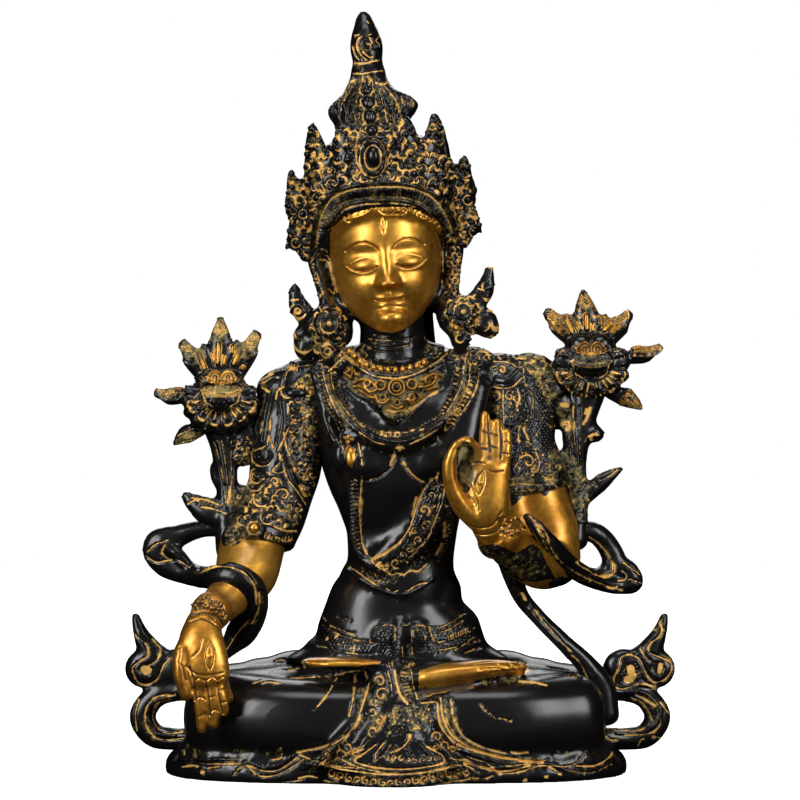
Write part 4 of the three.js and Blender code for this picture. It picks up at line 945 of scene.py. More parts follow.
class Finish:
    """A material and the nodes that make it."""

    def __init__(self, name):
        self.material = bpy.data.materials.new(name)
        self.material.use_nodes = True
        self.tree = self.material.node_tree
        self.tree.nodes.clear()

    def node(self, kind, settings=(), sockets=(), out=0):
        """Adds a node: its settings first, then the values or links of its sockets."""
        node = self.tree.nodes.new(kind)
        for name, value in dict(settings).items():
            setattr(node, name, value)
        for name, value in dict(sockets).items():
            if isinstance(value, Value):
                self.tree.links.new(value.socket, node.inputs[name])
            else:
                node.inputs[name].default_value = value
        return Value(self, node.outputs[out]) if len(node.outputs) else None

    def mark(self, name):
        """A value that the mesh carries at its points."""
        return self.node("ShaderNodeAttribute", dict(attribute_name=name), out="Fac")

    def place(self):
        return self.node("ShaderNodeTexCoord", out="Object")

    def noise(self, scale, detail=3.0, rough=0.55, stretch=None):
        place = self.place()
        if stretch:
            place = self.node("ShaderNodeVectorMath", dict(operation="MULTIPLY"), {0: place, 1: stretch})
        return self.node("ShaderNodeTexNoise", sockets={"Vector": place, "Scale": scale, "Detail": detail, "Roughness": rough})

    def colour(self, share, low, high):
        """One colour passing into another by a share."""
        mixed = self.node("ShaderNodeMix", dict(data_type="RGBA"), {0: share, 6: low, 7: high}, out=2)
        return mixed

    def shade(self, colour, roughness, metallic, coat=0.0, coat_roughness=0.1, specular=0.5, bump=None, strength=0.3, depth=0.0004, glow=0.0):
        values = {"Base Color": colour, "Roughness": roughness, "Metallic": metallic, "Coat Weight": coat, "Coat Roughness": coat_roughness,
                  "Specular IOR Level": specular, "Emission Strength": glow}
        if bump is not None:
            values["Normal"] = self.node("ShaderNodeBump", sockets={"Strength": strength, "Distance": depth, "Height": bump})
        surface = self.node("ShaderNodeBsdfPrincipled", sockets=values)
        self.node("ShaderNodeOutputMaterial", sockets={"Surface": surface})
        return self.material


def rgb(colour):
    return (*colour, 1.0)


def lacquered_brass(colours):
    """Black lacquer with matte gold in the carving, and gilding where the casting was gilt. Where the patina mark is
    painted shade, its stain darkens the gilding.
    """
    f = Finish("lacquer_and_gold")
    broad, grain, fleck = f.noise(28.0, 4.0), f.noise(420.0, 3.0, 0.6), f.noise(1500.0, 2.0)
    patch = f.noise(130.0, 2.0)
    gold, hollow = f.mark("gold"), f.mark("hollow")
    gilt = (f.mark("gilt") + (grain - 0.5) * 0.7 + (patch - 0.5) * 0.4).step(0.42, 0.58)
    ink = (gold + (grain - 0.5) * 0.45 + (patch - 0.5) * 0.4 + (fleck - 0.5) * 0.2).step(0.45, 0.55)
    dull = f.mark("dull")
    # khaki patina on the lacquer; it also follows the painted shade in the patina mark
    dust_and_shade = (gold + dull * (hollow * 0.5 + 0.62) + (grain - 0.5) * 1.7 + (fleck - 0.5) * 0.9 + (patch - 0.5) * 1.3).step(0.28, 0.9) * (gold + dull).step(0.03, 0.15)
    black = f.colour((broad * 0.6 + fleck * 0.4).step(0.35, 0.75), rgb(colours.lacquer), rgb(colours.lacquer_worn))
    ochre = f.colour(grain.step(0.3, 0.7), rgb(colours.ochre_dark), rgb(colours.ochre))
    olive = f.colour((grain * 0.6 + patch * 0.4).step(0.4, 0.62), rgb(colours.khaki_deep), rgb(colours.khaki))
    dark = f.colour(dust_and_shade * 0.95, black, olive)
    lacquer = f.colour(ink, dark, ochre)
    amber = f.colour((broad * 0.65 + grain * 0.35).step(0.36, 0.66), rgb(colours.gilding_deep), rgb(colours.gilding))
    # dark varnish in the creases of the gilding, and painted shade where the patina mark is painted shade
    stain_and_shade = (hollow * 1.1 + dull * 0.8 + gold.step(0.45, 0.9) + (grain - 0.5) * 0.4 + (broad - 0.5) * 0.3).step(0.25, 0.9)
    gilding = f.colour(stain_and_shade, amber, rgb(colours.stain_and_shade))
    colour = f.colour(gilt, lacquer, gilding)
    keep = 1 - gilt
    rough = (0.17 + broad * 0.12 + dust_and_shade * 0.3 + ink * 0.1) * keep + (0.3 + grain * 0.14 + stain_and_shade * 0.25) * gilt
    metal = (0.02 + ink * 0.3) * keep + (0.82 - stain_and_shade * 0.5) * gilt
    coat = gilt * 0.25
    bump = grain * 0.5 + fleck * 0.5
    return f.shade(colour, rough, metal, coat, 0.12, 0.4, bump, 0.12, 0.0003)


# ---- the carving, drawn from the front in steps of PX ----
def head_place(u, w, y=-27.0):
    """Where a point of the upright head shows in the front view."""
    return front_places(leaned(np.atleast_2d(np.column_stack([u, np.full(np.shape(u), y), w]))))


def head_sheet_places(sheet, y=-27.0):
    """Each cell's place on the upright head, as u and w."""
    rows, cols = sheet.height.shape
    v, u = np.mgrid[0:rows, 0:cols]
    step = PX * (1 + y / EYE_AWAY)
    x, z = (u / CELLS + sheet.origin[0] - MIDDLE) * step, EYE_HEIGHT - (v / CELLS + sheet.origin[1] - MIDDLE) * step
    local = leaned(np.column_stack([x.ravel(), np.full(x.size, y), z.ravel()]), back=True)
    return local[:, 0].reshape(x.shape), local[:, 2].reshape(x.shape)


def arc(points, centre, inward):
    """A line drawn in towards a centre by a number of steps."""
    points, centre = np.asarray(points, float), np.asarray(centre, float)
    away = points - centre
    return points - away / np.linalg.norm(away, axis=1)[:, None] * inward


def head_drawing():
    sheet = Drawing(280, 170, 512, 400, tone=0.6)
    u, w = head_sheet_places(sheet)
    bump = lambda cu, cw, su, sw, h: h * np.exp(-(((np.abs(u) - cu) / su) ** 2 + ((w - cw) / sw) ** 2) / 2)
    slope = np.clip((36.5 - w) / 16, 0, 1)
    bridge = (0.9 + 4.6 * slope**1.25) * np.exp(-(u / (1.7 + 1.0 * slope)) ** 2 / 2) * ramp(18.6, 21.2, w) * ramp(41, 32, w)
    face = bridge + bump(0, 20.9, 2.4, 1.5, 0.8) + bump(3.0, 20.7, 1.2, 1.3, 1.5)
    face += bump(9.8, 33.4, 5.4, 2.6, -1.3) + bump(10, 29.4, 4.8, 2.4, 1.7) + bump(10, 25.2, 5.0, 1.6, -0.5)
    face += bump(0, 14.9, 4.4, 0.8, 1.1) + bump(1.8, 15.3, 1.5, 0.7, 0.35) + bump(0, 11.7, 3.3, 1.0, 1.5) + bump(0, 9.0, 4, 0.9, -0.6)
    face += bump(0, 5.6, 5.0, 2.8, 1.1) + bump(12.4, 20, 5.4, 5.4, 1.0) + bump(7.0, 14.2, 1.0, 1.3, -0.6) + bump(0, 17.5, 0.7, 1.1, -0.4)
    sheet.height += face
    mouth = head_place(np.array([-6.4, -4.2, -1.6, 0, 1.6, 4.2, 6.4]), np.array([14.1, 13.3, 13.5, 13.2, 13.5, 13.3, 14.1]))
    sheet.groove(mouth, 1.7, 0.8)
    sheet.gold(mouth, 1.1, 0.9)
    for s in (-1, 1):
        at = lambda pairs: head_place(np.array([s * p[0] for p in pairs]), np.array([p[1] for p in pairs]))
        slit = at([(4.0, 28.4), (6.4, 26.9), (9.8, 26.3), (13.2, 27.2), (16.2, 29.4)])
        sheet.groove(slit, 2.0, 0.9)
        sheet.gold(slit, 1.3, 1.0)
        sheet.groove(at([(4.4, 30.6), (7.4, 31.9), (10.6, 31.8), (14.4, 30.4)]), 1.6, 0.22)
        brow = at([(2.8, 34.8), (5.4, 37.4), (9.6, 38.7), (13.8, 37.9), (17, 35.6)])
        sheet.groove(brow, 2.0, 0.6)
        sheet.gold(brow, 1.1, 0.8)
        sheet.groove(at([(1.5, 19.7), (2.8, 19.5)]), 1.8, 0.6)
        sheet.groove(at([(4.3, 22.4), (4.6, 20.6), (3.9, 19.6)]), 1.4, 0.3)
    brow = [(0, 49.4), (1.1, 46.6), (0.5, 43.2), (0, 41.6), (-0.5, 43.2), (-1.1, 46.6), (0, 49.4)]
    sheet.groove(head_place(np.array([p[0] for p in brow]), np.array([p[1] for p in brow])), 1.8, 0.6)
    sheet.gold(head_place(np.array([p[0] for p in brow]), np.array([p[1] for p in brow])), 1.2, 0.9)
    sheet.gild([head_place(p[0], p[1])[0] for p in (
        (-22.4, 44), (-23.6, 34), (-22.6, 24), (-19.6, 14), (-13.6, 6), (-6, 1), (0, -0.6), (6, 1), (13.6, 6), (19.6, 14), (22.6, 24),
        (23.6, 34), (22.4, 44), (18, 53), (8, 58), (-8, 58), (-18, 53))])
    # the fringe of hair under the crown, with its small rosettes
    fringe = [(329.5, 230.5), (333, 227), (343.5, 221), (352, 218), (364, 214.5), (371, 209.5), (374.5, 204), (377, 210), (383.5, 215), (394.5, 215.5), (402, 215), (407, 211.5), (409.5, 206), (413, 212.5), (419.5, 217.5), (427.5, 220.5), (434.5, 225.5), (440, 234.5)]
    hair = [*fringe, (443, 228.5), (428.5, 209.5), (402, 199), (372.5, 199), (352, 205), (334.5, 216.5), (326.5, 233)]
    sheet.gild(hair)
    sheet.haze_and_shade(hair, 0.3)
    sheet.ridge(fringe, 2.4, 0.55)
    sheet.gold(arc(fringe, (384.5, 253.5), -1.6), 1.0, 0.8)
    for a in np.linspace(0.0, 1.0, 30):
        k = a * (len(fringe) - 1)
        i = min(int(k), len(fringe) - 2)
        x = fringe[i][0] + (fringe[i + 1][0] - fringe[i][0]) * (k - i)
        y = fringe[i][1] + (fringe[i + 1][1] - fringe[i][1]) * (k - i)
        sheet.groove([(x, y - 1.4), (x + (x - 382) * 0.05 + 1.5, y - 5), (x + (x - 382) * 0.1, y - 9)], 1.3, 0.3)
    for u1, v1, r in ((348.5, 218.5, 4.7), (403, 211.5, 4.4), (429, 218.5, 3.5)):
        sheet.ring(u1, v1, r * 0.85, 1.8, 0.8)
        sheet.boss(u1, v1, r * 0.45, 0.9)
        sheet.gild([(u1 + r * 1.2 * math.cos(a), v1 + r * 1.2 * math.sin(a)) for a in np.arange(0, 6.3, 0.7)], 0.8)
    # ears
    sheet.groove([(318.5, 250.5), (324.5, 253.5), (329.5, 262), (331.5, 274), (334.5, 282.5), (336.5, 291.5)], 2.6, 0.7)
    sheet.gold([(320.5, 260), (325.5, 260), (329.5, 266.5), (331, 277), (334.5, 287), (334, 293.5), (328.5, 288.5)], 1.6, 0.9)
    sheet.ridge([(314, 262), (315.5, 253.5), (321.5, 250.5), (326.5, 253.5)], 3.4, 0.9)
    sheet.gold([(315.5, 271), (320, 282.5), (323.5, 296)], 1.3, 0.8)
    sheet.ridge([(445.5, 249), (446, 240), (452, 235), (459, 236.5)], 3.4, 0.9)
    sheet.gold([(442.5, 250.5), (443, 268), (441.5, 288.5)], 1.3, 0.8)
    # the hair that falls behind the ears
    sheet.lobes([(450.5, 238.5), (465, 238.5), (463.5, 262), (460.5, 285.5), (450.5, 300.5), (445.5, 300.5), (446, 274)], 5.2, 3, 1.9, 0.7, 0.4)
    sheet.lobes([(306.5, 253.5), (314, 262), (320, 282.5), (324.5, 297.5), (318.5, 302), (312.5, 274), (308.5, 262)], 4.2, 4, 1.0, 0.6, 0.3)
    # earrings: a stone in a ring, petals round it, a curled flame above and lobed ribbons below
    disc = lambda u, v, r: [(u + r * math.cos(a), v + r * math.sin(a)) for a in np.arange(0, 6.2, 0.5)]
    for s, (u1, v1), seed in ((-1, (329, 324), 5), (1, (462.5, 312), 6)):
        sheet.wash(disc(u1, v1 + 6, 30), 0.3)
        sheet.lobes(disc(u1, v1 + 3, 19), 5.6, seed, 0.9, 0.7, 0.4)
        sheet.clear(disc(u1, v1, 9.6))
        sheet.dome(u1, v1, 3.4, 3.4, 1.8)
        sheet.ring(u1, v1, 6.6, 3.0, 0.9)
        sheet.crescent(u1, v1, 1.4, 0, 9, 2.6)
        sheet.crescent(u1, v1, 8.8, 1.6 if s < 0 else -1.9, 4.6, 1.7)
        for k in range(9):
            a = 2 * math.pi * k / 9 + 0.3
            sheet.dome(u1 + 12.6 * math.cos(a), v1 + 12.6 * math.sin(a), 3.6, 3.6, 1.0)
            sheet.crescent(u1 + 12.6 * math.cos(a), v1 + 12.6 * math.sin(a), 4.4, a, 1.8, 0.5 + 0.8 * (k % 3))
    sheet.haze_and_shade([(311.5, 333.5), (325, 346.5), (313.5, 356.5), (300, 355), (306.5, 346.5)], 0.42)
    sheet.spiral(*(298, 311.5), 7.0, 2.4, 1.3, 1, 2.8, 0.9)
    for u1, v1, r, middle, span, width in ((*(298, 311, 7.7), 2.2, 4.4, 3.2), (*(298.5, 310, 2.7), 2.0, 4.0, 3.0), (*(313.5, 308.5, 4), -1.2, 2.6, 2.0), (*(304, 341.5, 11), 2.0, 2.6, 2.8), (*(301.5, 333.5, 6.7), 2.6, 2.0, 1.2),
                                           (*(323, 342, 4.3), 0.4, 3.6, 2.8), (*(317.5, 350, 3), 2.0, 3.0, 2.4), (*(327.5, 351, 3), 0, 7, 2.4), (*(327.5, 351, 6.7), 2.4, 2.2, 1.6), (*(327.5, 351, 7), 5.4, 2.0, 1.4),
                                           (*(324, 363.5, 4), 3.4, 2.6, 2.0), (*(339, 342.5, 3.7), 1.0, 3.0, 1.8),
                                           (*(488.5, 293.5, 6.9), 1.4, 2.4, 3.6), (*(489.5, 270.5, 2.9), -1.0, 2.4, 2.4), (*(487, 287, 4.9), 3.0, 2.2, 2.0), (*(481.5, 321.5, 4.3), 3.2, 2.6, 4.6), (*(489.5, 316.5, 6), -1.2, 1.8, 3.0),
                                           (*(497, 324.5, 4.9), 1.4, 4.4, 5.0), (*(483, 324.5, 6.6), 0.6, 2.2, 1.6), (*(490.5, 338.5, 2), 0, 5, 3.0), (*(477.5, 310, 2.3), 0.2, 4, 2.6), (*(457, 322, 4.9), 2.2, 3.0, 3.4), (*(460, 338.5, 4), 2.0, 4.0, 2.4),
                                           (*(470.5, 331.5, 3.1), 1.2, 3.6, 2.2), (*(472, 340, 2), 0, 6.2, 2.2), (*(477.5, 340, 2.6), 1.2, 4.0, 2.4), (*(483, 345, 2.3), 1.8, 3.0, 2.4), (*(475.5, 297, 2), 3.0, 4.0, 2.2), (*(463, 305, 6.3), -1.4, 1.6, 1.6)):
        sheet.crescent(u1, v1, r, middle, span, width)
    for line in ([(286.5, 295), (293.5, 290), (301.5, 295), (306, 306.5)], [(291.5, 340), (295, 333.5), (306.5, 326.5), (311.5, 318.5)], [(480, 287), (487, 278.5), (489.5, 268.5)], [(484.5, 290), (493, 285.5), (496.5, 281.5)], [(483, 311.5), (493, 311.5), (503, 320), (505, 328.5)]):
        sheet.ridge(line, 2.6, 0.5)
    for line, width in (([(290.5, 300.5), (298, 299.5)], 1.8), ([(310, 305), (318.5, 306.5), (321.5, 311.5)], 1.4), ([(336.5, 306.5), (341, 311.5), (338.5, 318.5)], 1.2), ([(343.5, 303.5), (347, 306)], 2.0), ([(478, 288.5), (483, 290)], 1.6)):
        sheet.gold(line, width)
    for u1, v1 in ((327.5, 351), (471.5, 339.5)):
        sheet.dome(u1, v1, 3.0, 3.0, 1.4)
        sheet.ring(u1, v1, 5.6, 2.2, 0.8)
    sheet.grains([(331.5, 336.5), (343.5, 333.5), (348.5, 346.5), (336.5, 356.5)], 3.0, 7, 0.4)
    sheet.grains([(465.5, 320), (474.5, 320), (477, 340), (468.5, 334.5)], 3.0, 8, 0.6)
    return sheet


def crown_drawing():
    sheet = Drawing(280, 5, 490, 290, tone=0.45)
    outer = [(309, 262), (311, 240), (316, 215), (328.7, 194), (345, 186.4), (365, 182.6), (386, 181.4), (407, 182.6), (425, 187.6), (440, 197), (452, 215), (459, 236), (461, 256)]
    middle = (386, 262)
    leaves = [(286, 262), (286, 180), (292, 168), (300, 128), (306, 122), (322, 140), (330, 124), (346, 130), (352, 112), (364, 98), (382, 98), (394, 118),
              (404, 122), (412, 128), (420, 138), (432, 118), (442, 122), (448, 160), (466, 158), (472, 168), (482, 230), (478, 262),
              (460, 262), (452, 215), (440, 197), (425, 187), (386, 181), (345, 186), (328, 194), (316, 215), (309, 262)]
    for foot, tip, wide, rows in (((374, 184), (372, 100), 56, 5), ((326, 192), (312, 134), 38, 4), ((426, 188), (432, 130), 38, 4), ((464, 214), (466, 170), 26, 3)):
        sheet.leafwork(foot, tip, wide, rows)
    sheet.lobes(leaves, 7.6, 11, 2.6, 0.8, 0.6, (120, 168))
    # the jewel in its setting, and the knobs above it
    u, v = 372.8, 156.7
    drop = lambda s: [(u + s * 12 * math.sin(a), v - s * 16.5 * math.cos(a) + (s * 2.4 if math.cos(a) < 0 else 0)) for a in np.linspace(0, 6.283, 21)]
    sheet.clear(drop(1.22))
    sheet.dome(u, v + 0.6, 6.6, 10.6, 1.9)
    sheet.gold(drop(0.68), 1.3, 1.0)
    sheet.ridge(drop(0.88), 3.2, 1.4)
    sheet.gold(drop(1.1), 1.0, 1.0)
    for side in (-1, 1):
        sheet.cut([(u + side * 15, v - 20), (u + side * 17, v - 6), (u + side * 15, v + 8), (u + side * 8, v + 19)], 1.8, 0.6)
        sheet.ring(u + side * 20, 143, 5.2, 2.4, 0.9)
        sheet.boss(u + side * 20, 143, 2.6, 1.0)
    for y, across, along in ((130, 6, 5.4), (116.5, 7, 6.6), (102, 7, 6.4), (90, 6, 5.4)):
        x = u - (131 - y) * 0.14 - 0.6
        sheet.clear([(x + 1.1 * across * math.cos(a), y + 1.1 * along * math.sin(a)) for a in np.arange(0, 6.2, 0.6)])
        sheet.dome(x, y, across, along, 1.6)
        sheet.gold([(x + across * 1.1 * math.cos(a), y + along * 1.1 * math.sin(a)) for a in np.linspace(2.2, 3.6, 6)], 1.2, 1.0, 0)
        sheet.gold([(x + across * 1.1 * math.cos(a), y + along * 1.1 * math.sin(a)) for a in np.linspace(-0.4, 0.9, 6)], 1.0, 1.0, 0)
    # the band: a smooth fillet, a combed ring and two more fillets
    inner = [arc(outer, middle, d) for d in (1.6, 5.4, 10.4, 15.6, 18.6, 22.4)]
    zone = [*outer, *inner[5][::-1]]
    sheet.clear(zone, 0.3)
    sheet.sink(zone, 0.6)
    sheet.haze_and_shade(zone, 0.3)
    sheet.ridge(inner[0], 4.4, 1.0)
    sheet.gold(inner[1], 1.5, 1.0)
    sheet.hatch(inner[2], 3.3, 6.8, 2.3, 0.7)
    sheet.gold(inner[3], 1.2, 0.85)
    sheet.ridge(inner[4], 3.6, 0.8)
    sheet.gold(inner[5], 1.2, 0.9)
    # rosettes beside the band
    for u1, v1 in ((303, 214), (468, 200), (296, 243), (474, 232)):
        sheet.clear([(u1 + 11 * math.cos(a), v1 + 11 * math.sin(a)) for a in np.arange(0, 6.2, 0.6)])
        sheet.boss(u1, v1, 3.4, 1.1)
        sheet.ring(u1, v1, 6.6, 2.4, 0.7)
        sheet.gold([(u1 + 4.6 * math.cos(a), v1 + 4.6 * math.sin(a)) for a in np.linspace(0.5, 5.2, 12)], 1.2, 1.0, 0)
        for k in range(7):
            a = 2 * math.pi * k / 7
            sheet.boss(u1 + 9.6 * math.cos(a), v1 + 9.6 * math.sin(a), 2.6, 0.7)
            sheet.gold([(u1 + 8.4 * math.cos(a + 0.45), v1 + 8.4 * math.sin(a + 0.45)), (u1 + 11 * math.cos(a + 0.45), v1 + 11 * math.sin(a + 0.45))], 1.3, 1.0, 0)
    # strands of the piled hair
    for k in range(10):
        t = k / 9
        strand = [(355 + 24 * t, 77 + 4 * abs(t - 0.5)), (345 + 44 * t, 90), (334 + 64 * t, 104), (331 + 72 * t, 122)]
        sheet.groove(strand, 2.4, 0.6)
        if k not in (4, 5):
            sheet.gold(strand[(k % 3):3 + (k % 2)], 0.9, 0.95)
    for s, cx in ((-1, 338), (1, 398)):
        for k in range(5):
            lock = [(cx - s * 8 + s * 5 * k, 90 + k * 1.6), (cx - s * 6 + s * 5.4 * k, 103), (cx - s * 10 + s * 4.6 * k, 117 - k)]
            sheet.groove(lock, 2.0, 0.6)
            if s > 0 or k < 2:
                sheet.gold(lock[:2], 0.9, 0.9)
    # beaded petals under the ring, the ring, and the bud with its spiral
    sheet.ridge([(351, 84), (354, 76), (360, 74), (366, 80), (364, 88), (358, 90)], 2.2, 0.7)
    sheet.ring(366.5, 80.5, 5.6, 2.2, 0.7)
    for line, width in (([(368, 76), (370.5, 80), (369, 85)], 1.5), ([(376, 82), (384, 84), (388, 82)], 1.4), ([(353.5, 73.6), (362, 74), (372, 72), (382, 70.8)], 1.3),
                        ([(354, 63), (364, 63.4), (374, 61), (380, 60)], 1.3), ([(367, 43.5), (370.5, 45), (370.6, 49), (366.6, 50)], 1.3),
                        ([(358, 52), (356.6, 45), (358.6, 39), (364, 36.4), (370, 38), (372, 43)], 1.2), ([(352.6, 47), (355, 55), (359, 60)], 1.2), ([(357.4, 46), (360, 54), (366, 60)], 1.2),
                        ([(363, 52), (369, 57), (372.6, 57.4)], 1.8), ([(378.4, 37), (376, 41), (379, 45)], 1.2), ([(368, 35.4), (371.6, 34)], 1.2), ([(355, 35.8), (359, 34.4)], 1.2),
                        ([(367.4, 22), (369.4, 23.4)], 1.4)):
        sheet.gold(line, width)
    for line, width in (([(367, 43), (370.5, 45), (370.6, 49), (366, 51.4), (361.4, 48.6), (361, 42), (365, 38), (371.4, 40)], 1.7), ([(353, 47), (355, 55), (359, 60)], 2.0),
                        ([(357.4, 46), (360, 54), (366, 60)], 2.0)):
        sheet.groove(line, width, 0.5)
    sheet.spiral(376, 46, 4.0, 0.4, 1.2, -1, 1.8, 0.4)
    return sheet


def torso_drawing():
    sheet = Drawing(225, 325, 590, 665, tone=0.5)
    # neck creases, and the patina at its sides
    for line in ([(374.5, 335), (386.5, 336.5), (397, 335.5)], [(372, 342.5), (381.5, 344), (393.5, 343.5)], [(364, 345), (372.5, 349.5), (384, 352), (400, 351.5)], [(368.5, 339), (386.5, 340.5), (410.5, 338.5), (419, 336)],
                 [(376, 346.5), (393.5, 348), (410.5, 345)]):
        sheet.groove(line, 2.2, 0.5)
    sheet.haze_and_shade([(349.5, 340.5), (357, 331.5), (367.5, 331.5), (364, 349), (355.5, 352.5), (347, 349)], 0.32)
    sheet.haze_and_shade([(421, 331.5), (433, 331.5), (441.5, 340.5), (436.5, 350.5), (424.5, 349)], 0.28)
    # what hangs from the earrings over the shoulders
    sheet.lobes([(320, 346.5), (348.5, 341), (363.5, 353.5), (373.5, 363.5), (363.5, 363.5), (350, 356.5), (338.5, 366.5), (325, 371.5), (317.5, 368.5)], 4.4, 95, 1.1, 0.6, 0.3)
    sheet.lobes([(448.5, 331.5), (483, 338.5), (488.5, 347), (501.5, 354.5), (487, 361.5), (468.5, 363), (448.5, 360)], 4.6, 96, 1.5, 0.6, 0.3)
    sheet.haze_and_shade([(350, 340), (370, 333.5), (376.5, 346.5), (363.5, 353.5)], 0.4)
    for line, width in (([(345, 355), (336.5, 363.5), (328.5, 371.5)], 1.6), ([(345, 355), (356.5, 363.5), (370, 370)], 1.6), ([(311.5, 365), (303.5, 371.5), (293.5, 381.5)], 1.2), ([(461.5, 343), (468.5, 348.5), (465.5, 358.5)], 1.6), ([(477, 345.5), (485.5, 351.5), (500, 355.5)], 1.4)):
        sheet.cut(line, width, 0.5)
    # the bead collar and the pendant under it
    collar = [(347, 348), (354.5, 356), (364, 363.5), (376, 368), (393.5, 370), (409.5, 368), (421, 364), (431, 356.5), (444, 347)]
    sheet.groove(collar, 9.5, 0.7)
    for (u, v), along in sheet.walk(collar, 7.4):
        side = np.array([-along[1], along[0]])
        bead = [(u, v) + along * a + side * b for a, b in ((-1.8, -3.2), (1.8, -3.2), (2.9, 3.0), (-2.9, 3.0))]
        sheet.dome(u, v, 3.2, 3.6, 1.4)
        if 345 < u < 425:
            sheet.gild(bead)
    sheet.cut([(346, 358.5), (353.5, 363.5), (362.5, 369.5), (372.5, 375), (386.5, 377.5), (400, 377.5), (414, 374), (428, 367.5), (440, 360), (447.5, 353)], 2.0, 0.6)
    ground = [(347, 365.5), (362.5, 372), (376, 378), (393.5, 380), (410.5, 378), (428, 370.5), (443.5, 362), (446, 375), (438, 389.5), (424.5, 399), (415.5, 408.5), (409, 419.5), (400, 421.5), (386.5, 416), (379.5, 407.5), (367.5, 400.5), (355.5, 395.5), (347, 387), (341, 375)]
    sheet.sink(ground, 0.9)
    sheet.haze_and_shade(ground, 0.5)
    sheet.wash(ground, 0.3)
    u, v = (396.5, 387.5)
    gilt_ring = lambda u, v, r, width: sheet.leaf_gilt([(u + r * math.cos(a), v + r * math.sin(a)) for a in np.linspace(0, 6.283, 13)], width)
    for radius, width in ((7.6, 2.4), (4.2, 2.0)):
        sheet.ring(u, v, radius, width, 1.2)
        gilt_ring(u, v, radius, width)
    sheet.boss(u, v, 2.2, 1.2)
    for u, v, r in ((380.5, 385.5, 4.5), (411.5, 384.5, 4.5), (383, 397.5, 2.9), (397, 402.5, 2.8), (411, 397, 2.9), (367.5, 383.5, 2.8), (427, 380.5, 2.8), (349.5, 373.5, 3.1), (433, 376, 2.4)):
        sheet.ring(u, v, r, 2.2, 1.2)
        sheet.boss(u, v, r * 0.4, 0.9)
        gilt_ring(u, v, r, 2.6)
    for line in ([(354, 383.5), (362.5, 379.5), (371, 381.5), (376, 387)], [(354, 387), (364, 387), (371, 392), (375.5, 390.5)], [(359, 390.5), (367.5, 395), (374.5, 397.5)], [(421, 380.5), (431, 374.5), (442.5, 376)],
                 [(418, 387), (431, 385), (436.5, 378)], [(426, 390.5), (436.5, 387)], [(376, 395.5), (378, 400.5), (384, 403), (389, 399)], [(406, 399), (411.5, 403), (418.5, 399), (419, 394.5)],
                 [(391.5, 406), (397, 408.5), (402, 406)], [(355.5, 375), (354.5, 370.5), (348.5, 368.5)], [(352, 378), (345, 373)]):
        sheet.ridge(line, 3.0, 1.2)
        sheet.leaf_gilt(line, 3.0)
    edge = [(347, 389.5), (355.5, 396.5), (366, 402.5), (377, 409.5), (386.5, 417), (395, 422), (403.5, 418.5), (412.5, 409.5), (422.5, 400.5), (434, 392.5), (442.5, 387.5)]
    sheet.ridge(edge, 3.4, 0.4)
    sheet.gold([(385.5, 411), (397, 412), (408, 411)], 2.0, 1.0)
    sheet.gold([(410.5, 409.5), (417.5, 404.5), (424.5, 399)], 2.0, 1.0)
    sheet.gold([(427, 396), (437, 392.5)], 3.0, 1.0)
    sheet.beads([(387.5, 416), (395, 418.5), (403.5, 416)], 3.6, 1.7, 0.9)
    # strings of pearls: the outer one, its channel, and the inner one that hangs low
    for line, length in (([(319.5, 371.5), (322, 387), (327, 402.5), (335, 418), (341.5, 430)], 4.4), ([(334.5, 373), (338, 388.5), (343.5, 399.5), (350.5, 408.5)], 4.4),
                         ([(475.5, 363.5), (474.5, 375), (470.5, 387), (463.5, 400.5), (455.5, 414.5), (450, 426.5)], 7.6), ([(458, 366), (455.5, 381.5), (451, 397), (444, 410)], 4.6)):
        sheet.groove(line, length + 2.2, 0.5)
        if line[0][0] < 400:
            sheet.beads(line, 4.2, 1.9, 0.9)
        else:
            sheet.hatch(line, 4.3, length, 2.4, 0.6)
            sheet.strokes(line, 5.2, length * 0.8, 1.0)
    for line in ([(323, 371.5), (326.5, 387), (332.5, 403), (341.5, 419.5), (350.5, 430)], [(331, 372), (334.5, 389.5), (341.5, 403), (349.5, 414.5)], [(470.5, 363.5), (469, 381.5), (462, 399), (450, 418), (445, 430)],
                 [(480, 368), (477.5, 383.5), (471, 399), (460.5, 414.5)], [(464, 365.5), (462, 381.5), (454.5, 399), (446, 412), (434, 420)]):
        sheet.cut(line, 1.8, 0.6)
    sheet.haze_and_shade([(325.5, 373), (330.5, 373), (335, 390.5), (341.5, 403), (350.5, 416), (348.5, 426.5), (340, 416), (331.5, 402.5), (327, 387)], 0.85)
    sheet.haze_and_shade([(464.5, 371.5), (469, 371.5), (464, 397), (453.5, 416), (446, 426.5), (443.5, 416), (455.5, 399), (462, 383.5)], 0.75)
    low = [(350.5, 416), (359, 424.5), (371.5, 430.5), (383, 433.5), (397, 434.5), (410.5, 432), (422.5, 427), (434.5, 420), (443.5, 412.5)]
    sheet.groove(low, 6.0, 0.5)
    sheet.beads(low, 4.4, 2.2, 0.8)
    sheet.strokes(low[2:6], 4.4, 3.4, 1.0)
    sheet.gold([(349.5, 416), (355.5, 421.5), (362.5, 426.5), (371, 429)], 1.4, 0.8)
    for u, v in [(381.5, 431.5), (389, 430), (397.5, 430), (406, 430), (413, 428), (421.5, 427)]:
        sheet.gold([(u - 1.2, v + 2.6), (u + 1.2, v + 2.6)], 1.6, 1.0, 0)
    sheet.cut([(359, 432), (367.5, 438), (376, 442.5), (384.5, 444.5)], 2.6, 0.5)
    sheet.cut([(409, 444), (421, 439), (437, 429.5)], 2.2, 0.5)
    sheet.ridge([(364, 429), (379.5, 437.5), (397, 442), (414, 438), (431, 430), (442.5, 422)], 5.0, 0.7)
